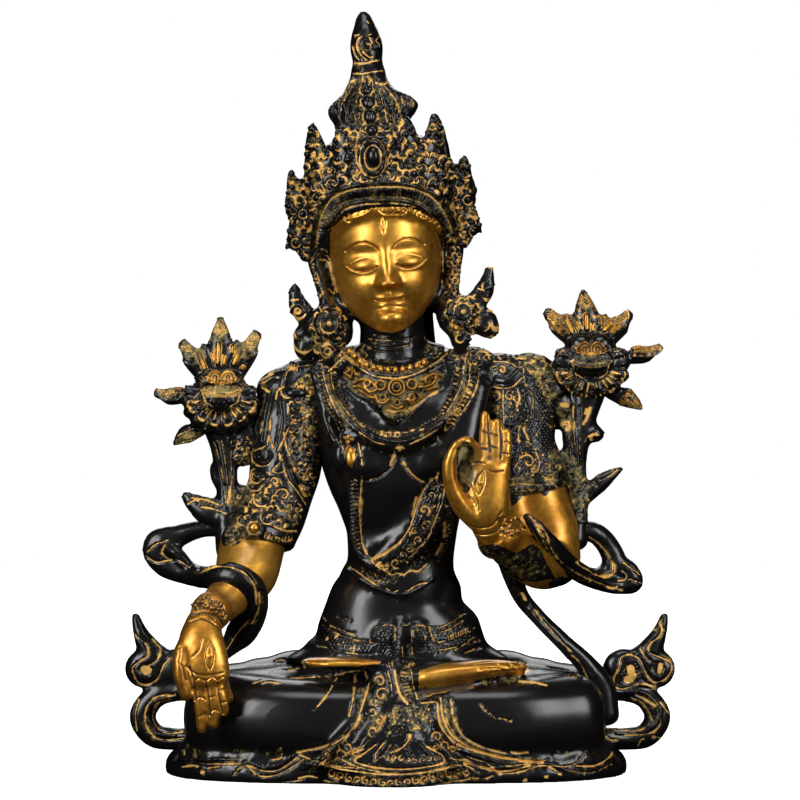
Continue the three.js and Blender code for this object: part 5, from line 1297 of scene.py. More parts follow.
    # breasts, and the gilt drop beside them
    for line in ([(393.5, 449), (394.5, 459), (388.5, 469.5), (378, 477.5), (366, 481), (361.5, 480)], [(402.5, 450.5), (403.5, 461), (409, 471.5), (416, 478.5), (424.5, 482.5)]):
        sheet.groove(line, 2.6, 0.7)
        sheet.gold(line, 1.0, 0.75)
    sheet.gold([(394, 455.5), (390.5, 465)], 2.8, 1.0)
    sheet.gold([(403.5, 462.5), (409, 470.5), (417.5, 479), (423.5, 482)], 2.2, 1.0)
    sheet.gold([(396.5, 448), (403, 447.5), (400, 450.5)], 2.2, 1.0)
    sheet.gild([(345, 449), (349.5, 444.5), (354.5, 449), (355.5, 457.5), (352, 468), (348, 463.5), (345.5, 455.5)])
    sheet.gild([(343.5, 437), (348.5, 434.5), (352.5, 437.5), (350.5, 442), (346, 443)])
    for u, v, r, start, way in ((*(345.5, 438, 2.8), 3.0, 1), (*(350.5, 439, 2.6), 0.4, -1), (*(348, 443, 1.7), 1.6, 1)):
        sheet.cut(sheet.swirl(u, v, r, start, 0.9, way), 1.6, 0.7, 0)
    sheet.dome(*(350, 457), 5.2, 11.5, 1.3)
    sheet.boss(*(350.5, 453.5), 1.4, 1.6)
    sheet.cut([(358, 443.5), (360.5, 454), (362, 464.5)], 2.2)
    sheet.cut([(339.5, 433.5), (341.5, 443.5), (345, 454)], 1.6)
    # the string down the side, and the sash across the body with its beaded edge
    rope = [(354.5, 480), (354.5, 495.5), (355.5, 509), (356, 523), (357.5, 537.5), (359.5, 547)]
    sheet.groove(rope, 7.6, 0.5)
    sheet.hatch(rope, 4.0, 6.0, 2.5, 0.4)
    sheet.cut([(361.5, 476.5), (360.5, 493.5), (360, 511), (361, 528), (362.5, 542), (367, 554), (372.5, 560)], 2.2, 0.6)
    sheet.haze_and_shade([(358, 480), (363, 476.5), (362.5, 511), (363, 536.5), (359, 536.5), (358, 511)], 0.35)
    left_edge = [(436.5, 476.5), (428, 483.5), (421.5, 493.5), (416.5, 505.5), (413, 517.5), (409, 528), (400, 541), (393.5, 547.5), (383, 554.5), (371, 560.5)]
    sheet.cut(left_edge, 2.4, 0.8)
    sheet.gold([(416.5, 498), (412.5, 517)], 2.4, 1.0)
    sheet.gold([(400, 542), (386.5, 552), (372.5, 559)], 2.6, 1.0)
    sash = [(438, 476.5), (446, 485), (447.5, 502), (446, 528), (440, 545.5), (428, 559), (410.5, 568.5), (393.5, 573), (376, 566), (393.5, 552), (407, 535), (416.5, 512.5), (426, 488.5)]
    for u, v, r, start, way in ((423.6, 510, 5.4, 1.0, -1), (425.8, 526, 4.6, 5.2, -1), (409, 549.4, 3.2, 5.6, 1), (402.6, 554.4, 3.4, 0.4, -1), (396, 563, 4.8, 1.2, 1), (386.4, 566, 3.4, 3.2, -1),
                                (433, 484, 5.2, 4.0, 1), (431, 495, 3.6, 1.0, -1), (418, 540, 3.8, 2.4, 1), (380, 563, 2.6, 0.6, 1), (414, 531, 2.8, 4.4, -1)):
        sheet.cut(sheet.swirl(u, v, r * 1.15, start, 0.95, way), 2.4, 0.8, 0)
    sheet.grains(sash, 3.4, 21, 0.12)
    for line in ([(445, 485), (441.5, 502), (436.5, 516), (428, 536.5)], [(440, 493.5), (436.5, 511)], [(431.5, 531.5), (426, 540.5), (417.5, 549)], [(416.5, 552), (409, 557.5)]):
        sheet.cut(line, 1.7, 0.5)
    beaded = [(447.5, 505.5), (450, 519.5), (449.5, 533), (445.5, 545.5), (438, 560)]
    sheet.groove(beaded, 5.5, 0.5)
    sheet.beads(beaded, 3.8, 1.9, 0.5)
    sheet.gold([(445, 523), (444, 536.5)], 2.4, 1.0)
    sheet.gold([(442, 543.5), (436.5, 554)], 2.0, 1.0)
    sheet.gold([(438, 473), (436.5, 480)], 2.2, 0.9)
    # the bodice's scalloped hem
    for line in ([(371, 561), (378.5, 567), (386.5, 571.5), (391.5, 575), (397.5, 573), (403.5, 574.5), (410.5, 570.5), (417.5, 571), (428, 563.5)], [(348.5, 566.5), (357, 571.5), (366, 578.5), (376, 585)],
                 [(386, 588.5), (393.5, 592), (397, 590.5)], [(408.5, 590.5), (417, 585), (426, 583)]):
        sheet.cut(line, 2.3, 0.6)
    sheet.ridge([(348.5, 570), (366, 582.5), (386.5, 592.5), (403.5, 594.5), (419, 588.5), (433, 578)], 3.0, 0.7)
    sheet.grains([(349.5, 566), (359, 568.5), (371, 571), (386.5, 578), (400, 579), (393.5, 585), (376, 582.5), (362.5, 575.5)], 4.2, 22, 0.08)
    sheet.haze_and_shade([(347, 559), (355.5, 561), (376, 574.5), (397, 579.5), (393.5, 586.5), (372.5, 583), (352, 571)], 0.3)
    # belt: flat tabs with lines across, and the bow
    for line, width in (([(337, 617), (350.5, 620.5)], 1.4), ([(330, 626), (340, 629.5), (355.5, 636)], 1.5), ([(323.5, 618), (325.5, 620.5)], 2.0), ([(440, 628), (452.5, 621.5), (465, 613)], 1.6), ([(437.5, 633), (450, 629), (463, 620.5)], 1.5),
                        ([(455.5, 650), (465, 643.5), (474.5, 637)], 2.2), ([(466, 652), (480, 647)], 3.4), ([(353, 639), (357.5, 640)], 2.8), ([(375, 636), (376.5, 629), (386, 624), (395, 626)], 1.3), ([(430, 627.5), (434, 640.5)], 2.0),
                        ([(412, 630.5), (412, 642)], 2.2), ([(403, 647), (404.5, 661)], 3.0), ([(412, 647.5), (413, 654.5)], 2.2), ([(395, 626), (394.5, 640)], 1.4), ([(425, 627.5), (426, 650)], 1.4), ([(400, 625), (415, 624.5), (430, 626.5)], 1.4)):
        sheet.groove(line, width * 1.2, 0.6)
        sheet.gold(line, width * 0.42, 0.9)
    sheet.strokes([(448, 638), (458, 634), (469.5, 629.5)], 2.6, 4.4, 1.2)
    sheet.grains([(320, 627.5), (352.5, 637.5), (372.5, 640), (372.5, 652.5), (330, 651)], 3.6, 91, 0.12)
    sheet.grains([(376, 627.5), (397.5, 626), (397.5, 657.5), (377.5, 657.5)], 3.4, 92, 0.02)
    sheet.grains([(415, 627.5), (465, 622.5), (475, 640), (440, 655), (415, 652.5)], 3.6, 93, 0.05)
    for line in ([(322.5, 625), (340, 635), (372.5, 642.5)], [(437.5, 642.5), (455, 637.5), (475, 627.5)], [(317.5, 645), (347.5, 652.5), (375, 654)], [(440, 650), (460, 646), (480, 640)]):
        sheet.groove(line, 3.0, 0.6)
    return sheet


def sleeve_drawing():
    sheet = Drawing(225, 325, 600, 575, tone=0.34)
    left_sleeve(sheet)
    right_sleeve(sheet)
    return sheet


def left_sleeve(sheet):
    """Folds from the shoulder, running scrolls down to a banded hem, and fine curls between them."""
    for line, width in (([(285, 380), (279.5, 396.5), (281.5, 420), (277.5, 443.5)], 6.0), ([(264, 394.5), (259.5, 414.5), (255, 440)], 5.0), ([(273, 391), (267.5, 414.5), (264, 440)], 5.0), ([(290.5, 469), (297.5, 485.5), (307, 500)], 5.0)):
        sheet.groove(line, width, 0.9)
    # the hatched leaf and the scarf's knot on top of the shoulder
    sheet.ridge([(258.5, 378), (268.5, 368), (283, 362), (296, 363.5), (301.5, 371)], 2.6, 0.6)
    sheet.strokes([(267.5, 371.5), (277.5, 367), (288.5, 366), (297.5, 369)], 2.7, 6.4, 1.0, 0.5)
    for line, width in (([(260.5, 379.5), (266.5, 376), (272.5, 373)], 3.4), ([(263, 388), (269, 391.5)], 3.0), ([(257, 383.5), (264, 382), (270.5, 378), (279.5, 377.5)], 1.3), ([(283, 385.5), (277.5, 390.5), (275.5, 398.5)], 2.2),
                        ([(285, 378), (287.5, 371), (297.5, 366.5), (312.5, 364.5)], 1.4), ([(287.5, 403.5), (288, 414.5)], 2.8), ([(270.5, 420), (270, 430)], 1.6), ([(262.5, 421), (260, 433)], 1.6),
                        ([(268.5, 435.5), (266, 445.5), (255.5, 451)], 1.5), ([(268.5, 435.5), (273, 448)], 1.5), ([(288.5, 427.5), (283, 440), (278, 450)], 2.4), ([(283.5, 432), (287, 449), (295, 467.5)], 2.2),
                        ([(279, 452.5), (279.5, 462), (272.5, 470.5), (277.5, 473), (284, 471.5)], 1.7), ([(280.5, 454.5), (284.5, 470.5)], 1.4), ([(285, 472.5), (288.5, 480), (297.5, 491), (307, 505.5)], 1.7),
                        ([(300.5, 485.5), (304, 492.5), (307.5, 496.5)], 3.2), ([(274, 525.5), (285, 530.5), (296.5, 531)], 2.6), ([(276, 536.5), (288.5, 542), (292.5, 539)], 1.4),
                        ([(250.5, 490), (257.5, 489.5), (261.5, 485.5)], 2.4), ([(227.5, 547.5), (235, 542), (245, 539)], 2.0), ([(288.5, 445.5), (292.5, 462), (300, 476.5)], 1.3), ([(312.5, 414.5), (314, 436.5)], 1.0)):
        sheet.groove(line, width, 0.6)
        sheet.gold(line, width * 0.62)
    # the lappet beside the neck: a scalloped, gilt edge over a smooth dark stone
    lappet = [(295, 387.5), (297.5, 379), (310.5, 371.5), (314.5, 374.5), (314, 391), (307.5, 394.5), (307, 387.5), (301.5, 383.5)]
    sheet.haze_and_shade(lappet, 0.42)
    sheet.lobes(lappet, 4.2, 33, 1.8, 0.6, 0.3)
    sheet.dome(*(296.5, 392.5), 11.6, 5.6, 1.5)
    sheet.strokes([(291.5, 387.5), (297.5, 386), (305, 387.5)], 2.6, 4.4, 1.2, 0.3)
    sheet.crescent(*(288.5, 390), 8.0, 2.4, 2.4, 2.2)
    sheet.crescent(*(307.5, 390), 6.0, 0.6, 2.6, 2.8)
    # scrolls
    for u, v, r, start, way, width in ((*(303.5, 408.5, 5.5), 5.6, 1, 2.6), (*(295, 420.5, 2.9), 1.0, 1, 3.0), (*(305.5, 420, 3.1), 4.4, -1, 2.0), (*(306.5, 429.5, 3.3), 4.6, 1, 2.0), (*(292.5, 437.5, 3.3), 3.4, 1, 2.2),
                                       (*(307, 442, 3.6), 4.2, 1, 2.2), (*(309.5, 453, 4), 5.0, 1, 2.2), (*(298.5, 469, 4.7), 3.4, -1, 2.2), (*(305, 477.5, 4), 5.6, 1, 2.0), (*(304.5, 459.5, 2.7), 2.6, 1, 1.8),
                                       (*(274.5, 481.5, 4.9), 3.3, 1, 2.6), (*(283.5, 495, 8), 3.2, 1, 2.8), (*(289, 506.5, 4.7), 2.2, -1, 2.2), (*(298, 509, 5.5), 4.8, 1, 2.4), (*(303.5, 487.5, 2.7), 1.0, -1, 1.8)):
        sheet.cut(sheet.swirl(u, v, r, start, 0.85, way), width, 0.8, 0)
    for u, v, r in ((262.5, 455.5, 10.2), (261, 498, 7.3), (268, 516.5, 6.5), (256, 476.5, 5.5), (243, 520, 4.7)):
        sheet.dome(u, v, r, r, 1.4)
        sheet.crescent(u, v, r + 0.8, 2.2, 3.6, 1.6)
        sheet.groove(sheet.swirl(u, v, r * 0.75, 0.6, 1.3), 1.4, 0.5, 0)
    low = [(252.5, 469), (270.5, 476.5), (277.5, 505.5), (301.5, 514.5), (297.5, 523.5), (277.5, 529), (261.5, 523.5), (241.5, 523.5), (241.5, 505.5), (248.5, 487.5)]
    sheet.lobes(low, 5.4, 32, 1.7, 0.7, 0.4)
    sheet.lobes([(289.5, 399), (312.5, 396.5), (316, 436.5), (319.5, 469), (310.5, 494.5), (301.5, 476.5), (292.5, 454.5), (287, 432.5)], 5.2, 31, 1.2, 0.6, 0.3)
    sheet.grains([(310.5, 407.5), (321.5, 414.5), (324, 469), (316, 483.5), (310.5, 451)], 2.6, 34)
    sheet.grains([(270.5, 487.5), (279.5, 476.5), (287, 487.5), (303, 503.5), (279.5, 505.5)], 2.6, 35)
    sheet.haze_and_shade([(236, 485.5), (250.5, 469), (254, 487.5), (247, 509), (236, 523.5)], 0.42)
    sheet.haze_and_shade([(275, 513.5), (303, 505.5), (297.5, 527.5), (277.5, 529)], 0.42)
    sheet.haze_and_shade([(299.5, 396.5), (319.5, 396.5), (321.5, 438), (305, 436.5)], 0.3)
    sheet.lobes([(225, 523.5), (237.5, 523.5), (247, 534.5), (236, 543.5), (225, 549)], 4.6, 36, 1.2, 0.6, 0.3)
    sheet.haze_and_shade([(225, 516.5), (239.5, 520), (248.5, 534.5), (236, 549), (225, 552.5)], 0.6)
    # the hem's ticked band, and the gilt stud on it
    sheet.groove([(265, 534.5), (279.5, 542), (293.5, 539)], 7.0, 0.4)
    sheet.strokes([(264, 534.5), (279.5, 540), (294, 538)], 3.6, 4.6, 1.2)
    u, v = (254, 528)
    sheet.clear([(u + 9 * math.cos(a), v + 9 * math.sin(a)) for a in np.arange(0, 6.2, 0.6)])
    sheet.ring(u, v, 8.0, 2.0, 0.8)
    sheet.dome(u, v, 5.0, 5.0, 1.8)
    sheet.gild([(u + 4.6 * math.cos(a), v + 4.6 * math.sin(a)) for a in np.arange(0, 6.2, 0.6)])
    sheet.gold([(u + 6.4 * math.cos(a), v + 6.4 * math.sin(a)) for a in np.linspace(0.4, 5.2, 13)], 1.0, 0.9, 0)


def right_sleeve(sheet):
    """A scrolled lappet at the shoulder, rounded folds, and scrolls down to a plain hem."""
    top = [(463.5, 353.5), (482, 344.5), (505.5, 342.5), (523.5, 339), (551, 342.5), (569, 361), (565.5, 379), (540, 390), (523.5, 372), (505.5, 361), (483.5, 359), (471, 361)]
    sheet.lobes(top, 5.4, 41, 1.1, 0.5, 0.3)
    sheet.haze_and_shade([(505.5, 342.5), (551, 339), (569, 361), (569, 393.5), (551, 410), (538, 386.5), (522, 361)], 0.6)
    for line in ([(514.5, 344.5), (525.5, 357.5), (540, 370), (545.5, 386.5)], [(532.5, 342.5), (547.5, 357.5), (554.5, 375.5)]):
        sheet.groove(line, 5.0, 0.8)
    sheet.haze_and_shade([(520, 355.5), (542, 361), (554.5, 379), (547.5, 395.5), (536.5, 386.5), (529, 372)], 0.42)
    sheet.ridge([(496.5, 380), (509, 380), (518, 372)], 8.0, 0.7)
    for u, v, r, start, way, width in ((*(487.5, 369, 3.6), 0.6, 1, 1.9), (*(495, 368, 3.1), 3.4, 1, 1.9), (*(502, 369.5, 4), 4.2, 1, 2.0), (*(495, 394.5, 5.5), 1.2, -1, 2.6), (*(509.5, 395.5, 5.1), 4.4, -1, 2.4),
                                       (*(495.5, 408, 4), 3.6, 1, 2.2), (*(528, 461.5, 8), 3.6, 1, 2.6), (*(533.5, 469, 3.3), 0.4, 1, 1.9), (*(547.5, 466.5, 3.6), 4.0, 1, 2.0), (*(527.5, 444.5, 2.9), 4.2, 1, 1.6),
                                       (*(551, 477.5, 4), 3.2, 1, 2.0), (*(558, 466.5, 3.3), 1.0, -1, 2.0)):
        sheet.cut(sheet.swirl(u, v, r, start, 0.95, way), width, 0.8, 0)
    for line, width in (([(483.5, 380), (491.5, 385.5), (502, 388), (513, 386), (522, 377.5)], 2.6), ([(503, 388.5), (503, 404.5), (503.5, 421.5)], 1.6), ([(516.5, 388), (519.5, 397.5), (516.5, 406.5)], 2.0),
                        ([(523.5, 368), (525, 384.5), (533, 395.5), (532, 414)], 1.7), ([(489, 399), (489, 406.5), (495, 412.5), (498.5, 412)], 2.0), ([(519, 426.5), (518, 441.5)], 1.6), ([(522.5, 426.5), (528.5, 439.5)], 1.6),
                        ([(514.5, 467.5), (520.5, 456)], 1.8), ([(507.5, 485), (520, 483.5), (538.5, 485)], 1.5), ([(509, 479.5), (523.5, 478.5), (529, 480)], 1.1), ([(483.5, 361), (483.5, 379)], 1.6),
                        ([(503.5, 426.5), (501.5, 444.5)], 1.4), ([(536, 452), (540, 462.5), (538, 470)], 1.8), ([(542.5, 475.5), (551, 481), (559, 488)], 2.0), ([(492.5, 361), (507.5, 362), (520, 368)], 1.2)):
        sheet.cut(line, width, 0.6)
    rungs = [(478, 364.5), (477.5, 371.5), (475.5, 381), (472, 390), (466.5, 404.5)]
    sheet.groove(rungs, 7.4, 0.5)
    sheet.strokes(rungs, 4.6, 6.4, 1.2)
    for line in ([(482, 362.5), (480.5, 377.5), (475.5, 393.5), (469, 408)], [(473, 363.5), (472, 375.5), (467.5, 386.5), (462, 397.5)], [(484, 377.5), (482, 388), (477.5, 399)]):
        sheet.cut(line, 1.9, 0.6)
    for line, width in (([(527.5, 395.5), (531.5, 413.5), (527.5, 428)], 5.0), ([(542, 386.5), (548.5, 402.5), (553, 415.5)], 6.0), ([(512, 433.5), (514.5, 452), (509, 470)], 5.0), ([(512.5, 404.5), (514.5, 419), (512, 430)], 4.0)):
        sheet.groove(line, width, 0.9)
    sheet.grains([(512.5, 413.5), (536.5, 404.5), (554.5, 426.5), (556.5, 466.5), (545.5, 482.5), (514.5, 481), (511, 452)], 3.0, 42, 0.12)
    sheet.grains([(520, 372), (540, 379), (554.5, 404.5), (554.5, 426.5), (534.5, 419), (529, 392)], 3.2, 43, 0.16)
    sheet.grains([(487.5, 390), (522, 390), (522, 404.5), (514.5, 426.5), (496.5, 422.5)], 2.8, 44, 0.14)
    sheet.haze_and_shade([(492.5, 401), (502, 401), (503.5, 426.5), (494.5, 426.5)], 0.3)
    sheet.haze_and_shade([(545.5, 444.5), (572.5, 444.5), (580, 466.5), (583.5, 492), (562, 492), (547.5, 473.5)], 0.6)
    sheet.haze_and_shade([(503.5, 475.5), (540, 475.5), (554.5, 477.5), (558, 495.5), (532.5, 502.5), (503.5, 501)], 0.6)
    sheet.grains([(503.5, 485.5), (558, 484.5), (558, 495.5), (503.5, 501)], 3.6, 45, 0.3)


def lap_drawing():
    sheet = Drawing(150, 600, 650, 795, tone=0.4)
    # the soles, gilt, with their toes
    sheet.gild([(418, 671), (440, 664), (475, 661), (475, 688), (440, 693), (425, 697), (418, 690)])
    right_sole = [(471, 662.5), (480, 661), (496, 659.5), (521, 661), (530.5, 666), (528.5, 671.5), (521, 676), (503.5, 676), (491.5, 677.5), (480, 679), (471, 681.5)]
    sheet.gild(right_sole)
    for line in ([(496, 662.5), (500.5, 668), (504, 671.5)], [(508, 661.5), (511.5, 666), (515, 671)], [(517.5, 661), (520.5, 665), (524, 669)], [(489, 673.5), (503.5, 671.5), (524, 670.5)], [(480, 669), (493, 668), (500.5, 668)]):
        sheet.groove(line, 2.0, 0.5)
    sheet.cut([(469.5, 664.5), (480, 662.5), (496, 661), (522.5, 662.5), (531.5, 668)], 1.6, 0.4)
    left_sole = [(304.5, 659), (322.5, 657), (352, 657.5), (380.5, 660.5), (379.5, 664), (357.5, 666), (316.5, 667), (307.5, 665.5)]
    sheet.gild(left_sole)
    for line in ([(274, 669), (276, 660.5), (300.5, 659)], [(274, 667), (287, 669), (299, 668)], [(301, 660.5), (304.5, 667)], [(287, 660.5), (289, 667)], [(269.5, 674), (272.5, 669.5), (293, 670)]):
        sheet.cut(line, 2.0, 0.5)
    for u, v in ((281, 663.5), (294, 663)):
        sheet.dome(u, v, 6.0, 3.4, 1.0)
        sheet.crescent(u, v, 4.6, 4.0, 3.0, 1.4)
    for line, width in (([(254, 683), (263.5, 678), (268, 675.5), (278, 678), (304.5, 677), (319.5, 676.5)], 2.0), ([(262, 683), (269.5, 681), (278, 683)], 2.6), ([(322.5, 676.5), (343, 674)], 1.3),
                        ([(336.5, 677.5), (328, 693), (321, 702.5), (313.5, 710.5)], 2.0)):
        sheet.cut(line, width, 0.6)
    # folds on the lap beside the soles
    for line in ([(533, 671.5), (536.5, 676), (553.5, 675.5), (566, 675), (577, 678)], [(533, 668.5), (538.5, 669.5), (543, 668)], [(480, 704.5), (486, 711), (495.5, 718.5)], [(499, 718), (511.5, 721.5)]):
        sheet.cut(line, 1.9, 0.6)
    sheet.gold([(519.5, 681.5), (534.5, 682.5), (546.5, 685.5)], 2.4, 0.9)
    sheet.haze_and_shade([(480, 677.5), (503.5, 677.5), (528.5, 676), (547.5, 684.5), (524, 684.5), (480, 686)], 0.36)
    sheet.haze_and_shade([(581, 662.5), (590, 677.5), (597.5, 692), (603, 706.5), (600, 677.5), (591.5, 662.5)], 0.32)
    sheet.ridge([(538.5, 668.5), (553.5, 668), (568, 671.5), (579.5, 677.5)], 5.0, 0.8)
    apron_carving(sheet)
    # the hem along the base on the left: a broken upper line and a wave under it
    for line, width in (([(181, 767), (193, 765.5), (197.5, 766.5)], 3.0), ([(203, 764), (240, 763.5)], 1.6), ([(207, 768), (219.5, 766.5)], 2.4), ([(233.5, 774), (243, 766.5), (247.5, 765.5), (263.5, 771), (278, 770), (296.5, 757.5)], 1.9),
                        ([(248, 766.5), (258, 775.5), (272.5, 776), (287, 770), (303.5, 759)], 2.2), ([(271, 759.5), (281, 757.5), (280.5, 748)], 1.6), ([(299, 754.5), (316.5, 761), (343, 767), (357.5, 768)], 2.4),
                        ([(297.5, 752.5), (322.5, 747), (346, 736), (356, 726), (361, 714.5)], 3.4), ([(184, 754.5), (183, 751)], 1.6), ([(299, 778), (309, 776), (316.5, 778)], 3.4), ([(316.5, 766.5), (331, 760.5), (346, 754.5), (363.5, 749)], 2.0),
                        ([(243, 784), (287, 782), (304.5, 779.5)], 1.2)):
        sheet.cut(line, width, 0.8)
    for line in ([(237, 770), (246, 762.5), (260.5, 767), (278, 766), (293, 756.5)], [(304.5, 763.5), (328, 767.5), (357.5, 772)], [(184, 760.5), (213.5, 759.5), (237, 760)]):
        sheet.ridge(line, 3.2, 0.8)
    # the hem on the right: the skirt's thick edge round the knee, then two waves
    for line, width in (([(440.5, 697.5), (443, 716.5), (450.5, 733), (467, 746), (490, 754.5), (523, 760.5), (543, 762.5)], 3.4), ([(577, 766), (596, 765.5), (609, 758), (614.5, 750.5)], 2.8), ([(549, 765.5), (566.5, 766.5), (576.5, 763.5), (584, 754.5)], 1.5),
                        ([(467, 756.5), (487, 763.5), (500.5, 773), (519.5, 772), (543, 765.5), (554.5, 769.5), (561, 774)], 2.0), ([(463.5, 762), (478, 765.5), (493.5, 770), (500, 774.5)], 2.0), ([(506, 766.5), (528, 764), (549, 759.5)], 1.4),
                        ([(470, 778), (484, 779), (493, 776)], 2.4), ([(511, 752.5), (521, 753.5), (528, 752.5)], 3.0), ([(566.5, 771), (593, 772.5), (613.5, 763.5)], 1.2), ([(519.5, 786.5), (566.5, 784)], 1.0)):
        sheet.cut(line, width, 0.8)
    for line in ([(463.5, 750.5), (487, 759.5), (522.5, 765.5), (546, 766.5)], [(490, 768), (507.5, 767.5), (528, 767.5), (549, 763.5), (566.5, 770), (593, 769.5), (610.5, 762)]):
        sheet.ridge(line, 3.2, 0.8)
    for u, v in (*[(525, 780.5), (546, 777), (500, 774), (560, 774)], *[(202.5, 772)]):
        sheet.gold([(u - 0.8, v), (u + 0.8, v)], 3.0, 0.95, 0)
    sheet.haze_and_shade([(437, 696), (446, 696), (452, 728), (478, 749), (537, 759), (537, 763.5), (478, 756), (449, 740)], 0.42)
    sheet.haze_and_shade([(299, 750.5), (328, 743), (346, 731), (357.5, 716.5), (363.5, 719.5), (354.5, 737), (331, 752)], 0.42)
    sheet.haze_and_shade([(606, 702), (613.5, 707.5), (610.5, 749), (606, 749)], 0.36)
    return sheet


def apron_carving(sheet):
    """The skirt's end that fans out over the crossed ankles, with scrolled bands and a scalloped edge."""
    # the scrolled band on the left, and the ticked strap in the middle
    for line, width in (([(354.5, 676), (353, 698.5), (349, 716)], 2.4), ([(364.5, 671.5), (368, 683), (362.5, 705), (353.5, 727.5), (343, 743.5)], 3.2), ([(387.5, 670.5), (391, 683), (392, 695.5)], 1.8), ([(385.5, 716), (379.5, 727.5), (371, 738.5), (362, 747)], 1.8),
                        ([(340, 673), (353, 671), (364.5, 670.5)], 1.6)):
        sheet.cut(line, width, 0.8)
    for u, v, r, start, way in ((*(379.5, 681, 5.7), 3.4, 1), (*(381.5, 694, 6.6), 5.8, -1), (*(374, 701, 4), 1.0, 1), (*(372, 711, 4.4), 2.6, -1), (*(379, 720, 4.4), 5.0, 1), (*(373, 731, 4.9), 2.0, 1),
                                (*(346.5, 747, 6.6), 3.6, -1), (*(356, 751, 5.3), 0.6, 1), (*(342, 754, 4.9), 2.2, 1), (*(437.5, 736.5, 5.7), 3.0, 1), (*(444, 745.5, 4.9), 0.4, -1), (*(453, 750, 4), 2.8, 1),
                                (*(435, 747, 3.5), 5.0, 1), (*(459.5, 746, 3.1), 1.4, 1)):
        sheet.cut(sheet.swirl(u, v, r * 1.1, start, 1.0, way), 2.5, 0.8, 0)
    sheet.gold([(394.5, 670.5), (396.5, 683), (400, 694), (407.5, 704)], 2.2, 1.0)
    sheet.ridge([(400.5, 670), (404, 685.5), (410, 702)], 5.4, 0.8)
    sheet.strokes([(403.5, 671), (406, 686.5), (410.5, 700.5)], 3.6, 5.6, 1.5)
    sheet.gold([(411, 670), (413.5, 685.5), (417.5, 699.5)], 1.2, 1.0)
    sheet.haze_and_shade([(413, 665.5), (421.5, 665.5), (428.5, 692), (435, 697.5), (417.5, 701)], 0.42)
    sheet.haze_and_shade([(393, 663), (413, 663), (413, 703), (395, 703)], 0.36)
    sheet.strokes([(387.5, 665), (399.5, 663), (413, 665.5)], 3.4, 4.0, 1.4)
    # the dotted ground between the ankles, its gold patches and the folds that fan out of it
    dotted = [(392.5, 705), (424, 703), (435, 716), (432.5, 729.5), (406, 731.5), (391, 742.5), (384, 734)]
    sheet.grains(dotted, 3.0, 51, 0.3)
    sheet.haze_and_shade(dotted, 0.3)
    for line, width in (([(420.5, 702.5), (437, 701)], 2.6), ([(422, 716), (429, 702)], 1.8), ([(413, 702), (416, 716)], 1.6), ([(393, 709.5), (395, 723)], 1.8), ([(410, 735), (409, 739.5)], 6.0),
                        ([(409, 740), (402.5, 747), (391, 753)], 3.2), ([(384, 742.5), (375.5, 754), (375.5, 760.5)], 2.4), ([(390.5, 745), (383.5, 754), (374.5, 761.5)], 1.6),
                        ([(375.5, 744.5), (362, 755), (354.5, 760.5), (364.5, 765), (395, 769), (424, 767), (444, 761.5), (442, 756.5), (426.5, 746)], 3.0),
                        ([(437, 701), (440, 723), (450.5, 738.5), (463.5, 747.5), (494.5, 756), (538.5, 763)], 3.2), ([(450.5, 699), (455, 720.5), (463.5, 736), (481.5, 747), (508, 754)], 2.6), ([(444, 700), (447, 720.5), (459, 740.5)], 1.5),
                        ([(340, 758), (353, 765), (393, 773.5), (432.5, 772), (463.5, 765), (481.5, 773.5)], 1.8), ([(450.5, 758), (463.5, 760), (483.5, 768.5), (508, 771), (530, 765)], 2.2)):
        sheet.cut(line, width, 0.8)
    for line in ([(417.5, 742.5), (428.5, 754), (435, 760.5)], [(395, 747), (388.5, 758)], [(406, 747), (413, 760.5)], [(455, 754), (472.5, 762.5), (494.5, 765), (516.5, 760.5)]):
        sheet.ridge(line, 4.0, 0.7)
    sheet.chain([(383.5, 757.5), (397.5, 757.5), (413, 760.5), (428.5, 758.5), (438.5, 757.5)], 7.2, 3.0, 1.6, 0.5)
    sheet.curls([(327.5, 748.5), (346, 739), (356.5, 742), (350.5, 751.5), (330.5, 759), (318.5, 760.5)], 7.0, 0.55, 52)
    sheet.haze_and_shade([(357.5, 676.5), (388.5, 672), (388.5, 716), (373, 738.5), (349, 756), (344.5, 742.5)], 0.26)
    sheet.haze_and_shade([(435, 701), (455, 701), (463.5, 738.5), (494.5, 754), (463.5, 749.5), (441.5, 729.5)], 0.4)
    hem = [(327.5, 773), (344.5, 778), (364.5, 781), (385.5, 783), (407, 782), (430, 778.5), (453, 774), (470, 772)]
    sheet.groove(hem, 12, 0.3)
    sheet.chain(hem, 8.6, 4.4, 2.6, 0.8)
    sheet.cut([(324.5, 780.5), (344.5, 786.5), (364.5, 789.5), (385.5, 791.5), (407, 790.5), (430, 786.5), (453, 782), (471.5, 779)], 1.8, 0.6)
    sheet.cut([(326, 766.5), (361, 772), (392, 774.5), (422.5, 772), (453, 766), (468.5, 763.5)], 2.4, 0.6)


def back_drawing():
    """Plain folds on the back, as on the hidden side of such castings."""
    sheet = Drawing(150, 350, 650, 795, places=back_places, facing=1.0, tone=0.25)
    for k in range(7):
        x = 330 + 22 * k
        sheet.groove([(x, 380), (x * 0.94 + 24, 430), (x * 0.86 + 55, 500), (x * 0.9 + 40, 580)], 7.0, 0.8)
    for v in (612, 626, 640):
        sheet.cut([(318, v), (396, v + 5), (474, v)], 2.6, 0.6)
    for k in range(6):
        sheet.groove([(230 + 60 * k, 690), (240 + 56 * k, 730), (225 + 62 * k, 762)], 8.0, 0.9)
    for v, pitch in ((772, 14), (784, 20)):
        u = np.arange(205, 590, pitch / 2)
        sheet.cut(np.column_stack([u, v + 2.2 * np.sin(u * 2 * np.pi / (pitch * 2.4))]), 2.2, 0.6)
    for s in (-1, 1):
        for v in (390, 415, 440, 465, 490, 512):
            sheet.cut([(396 + s * 110, v + 6), (396 + s * 138, v), (396 + s * 160, v + 12)], 3.4, 0.8)
    return sheet


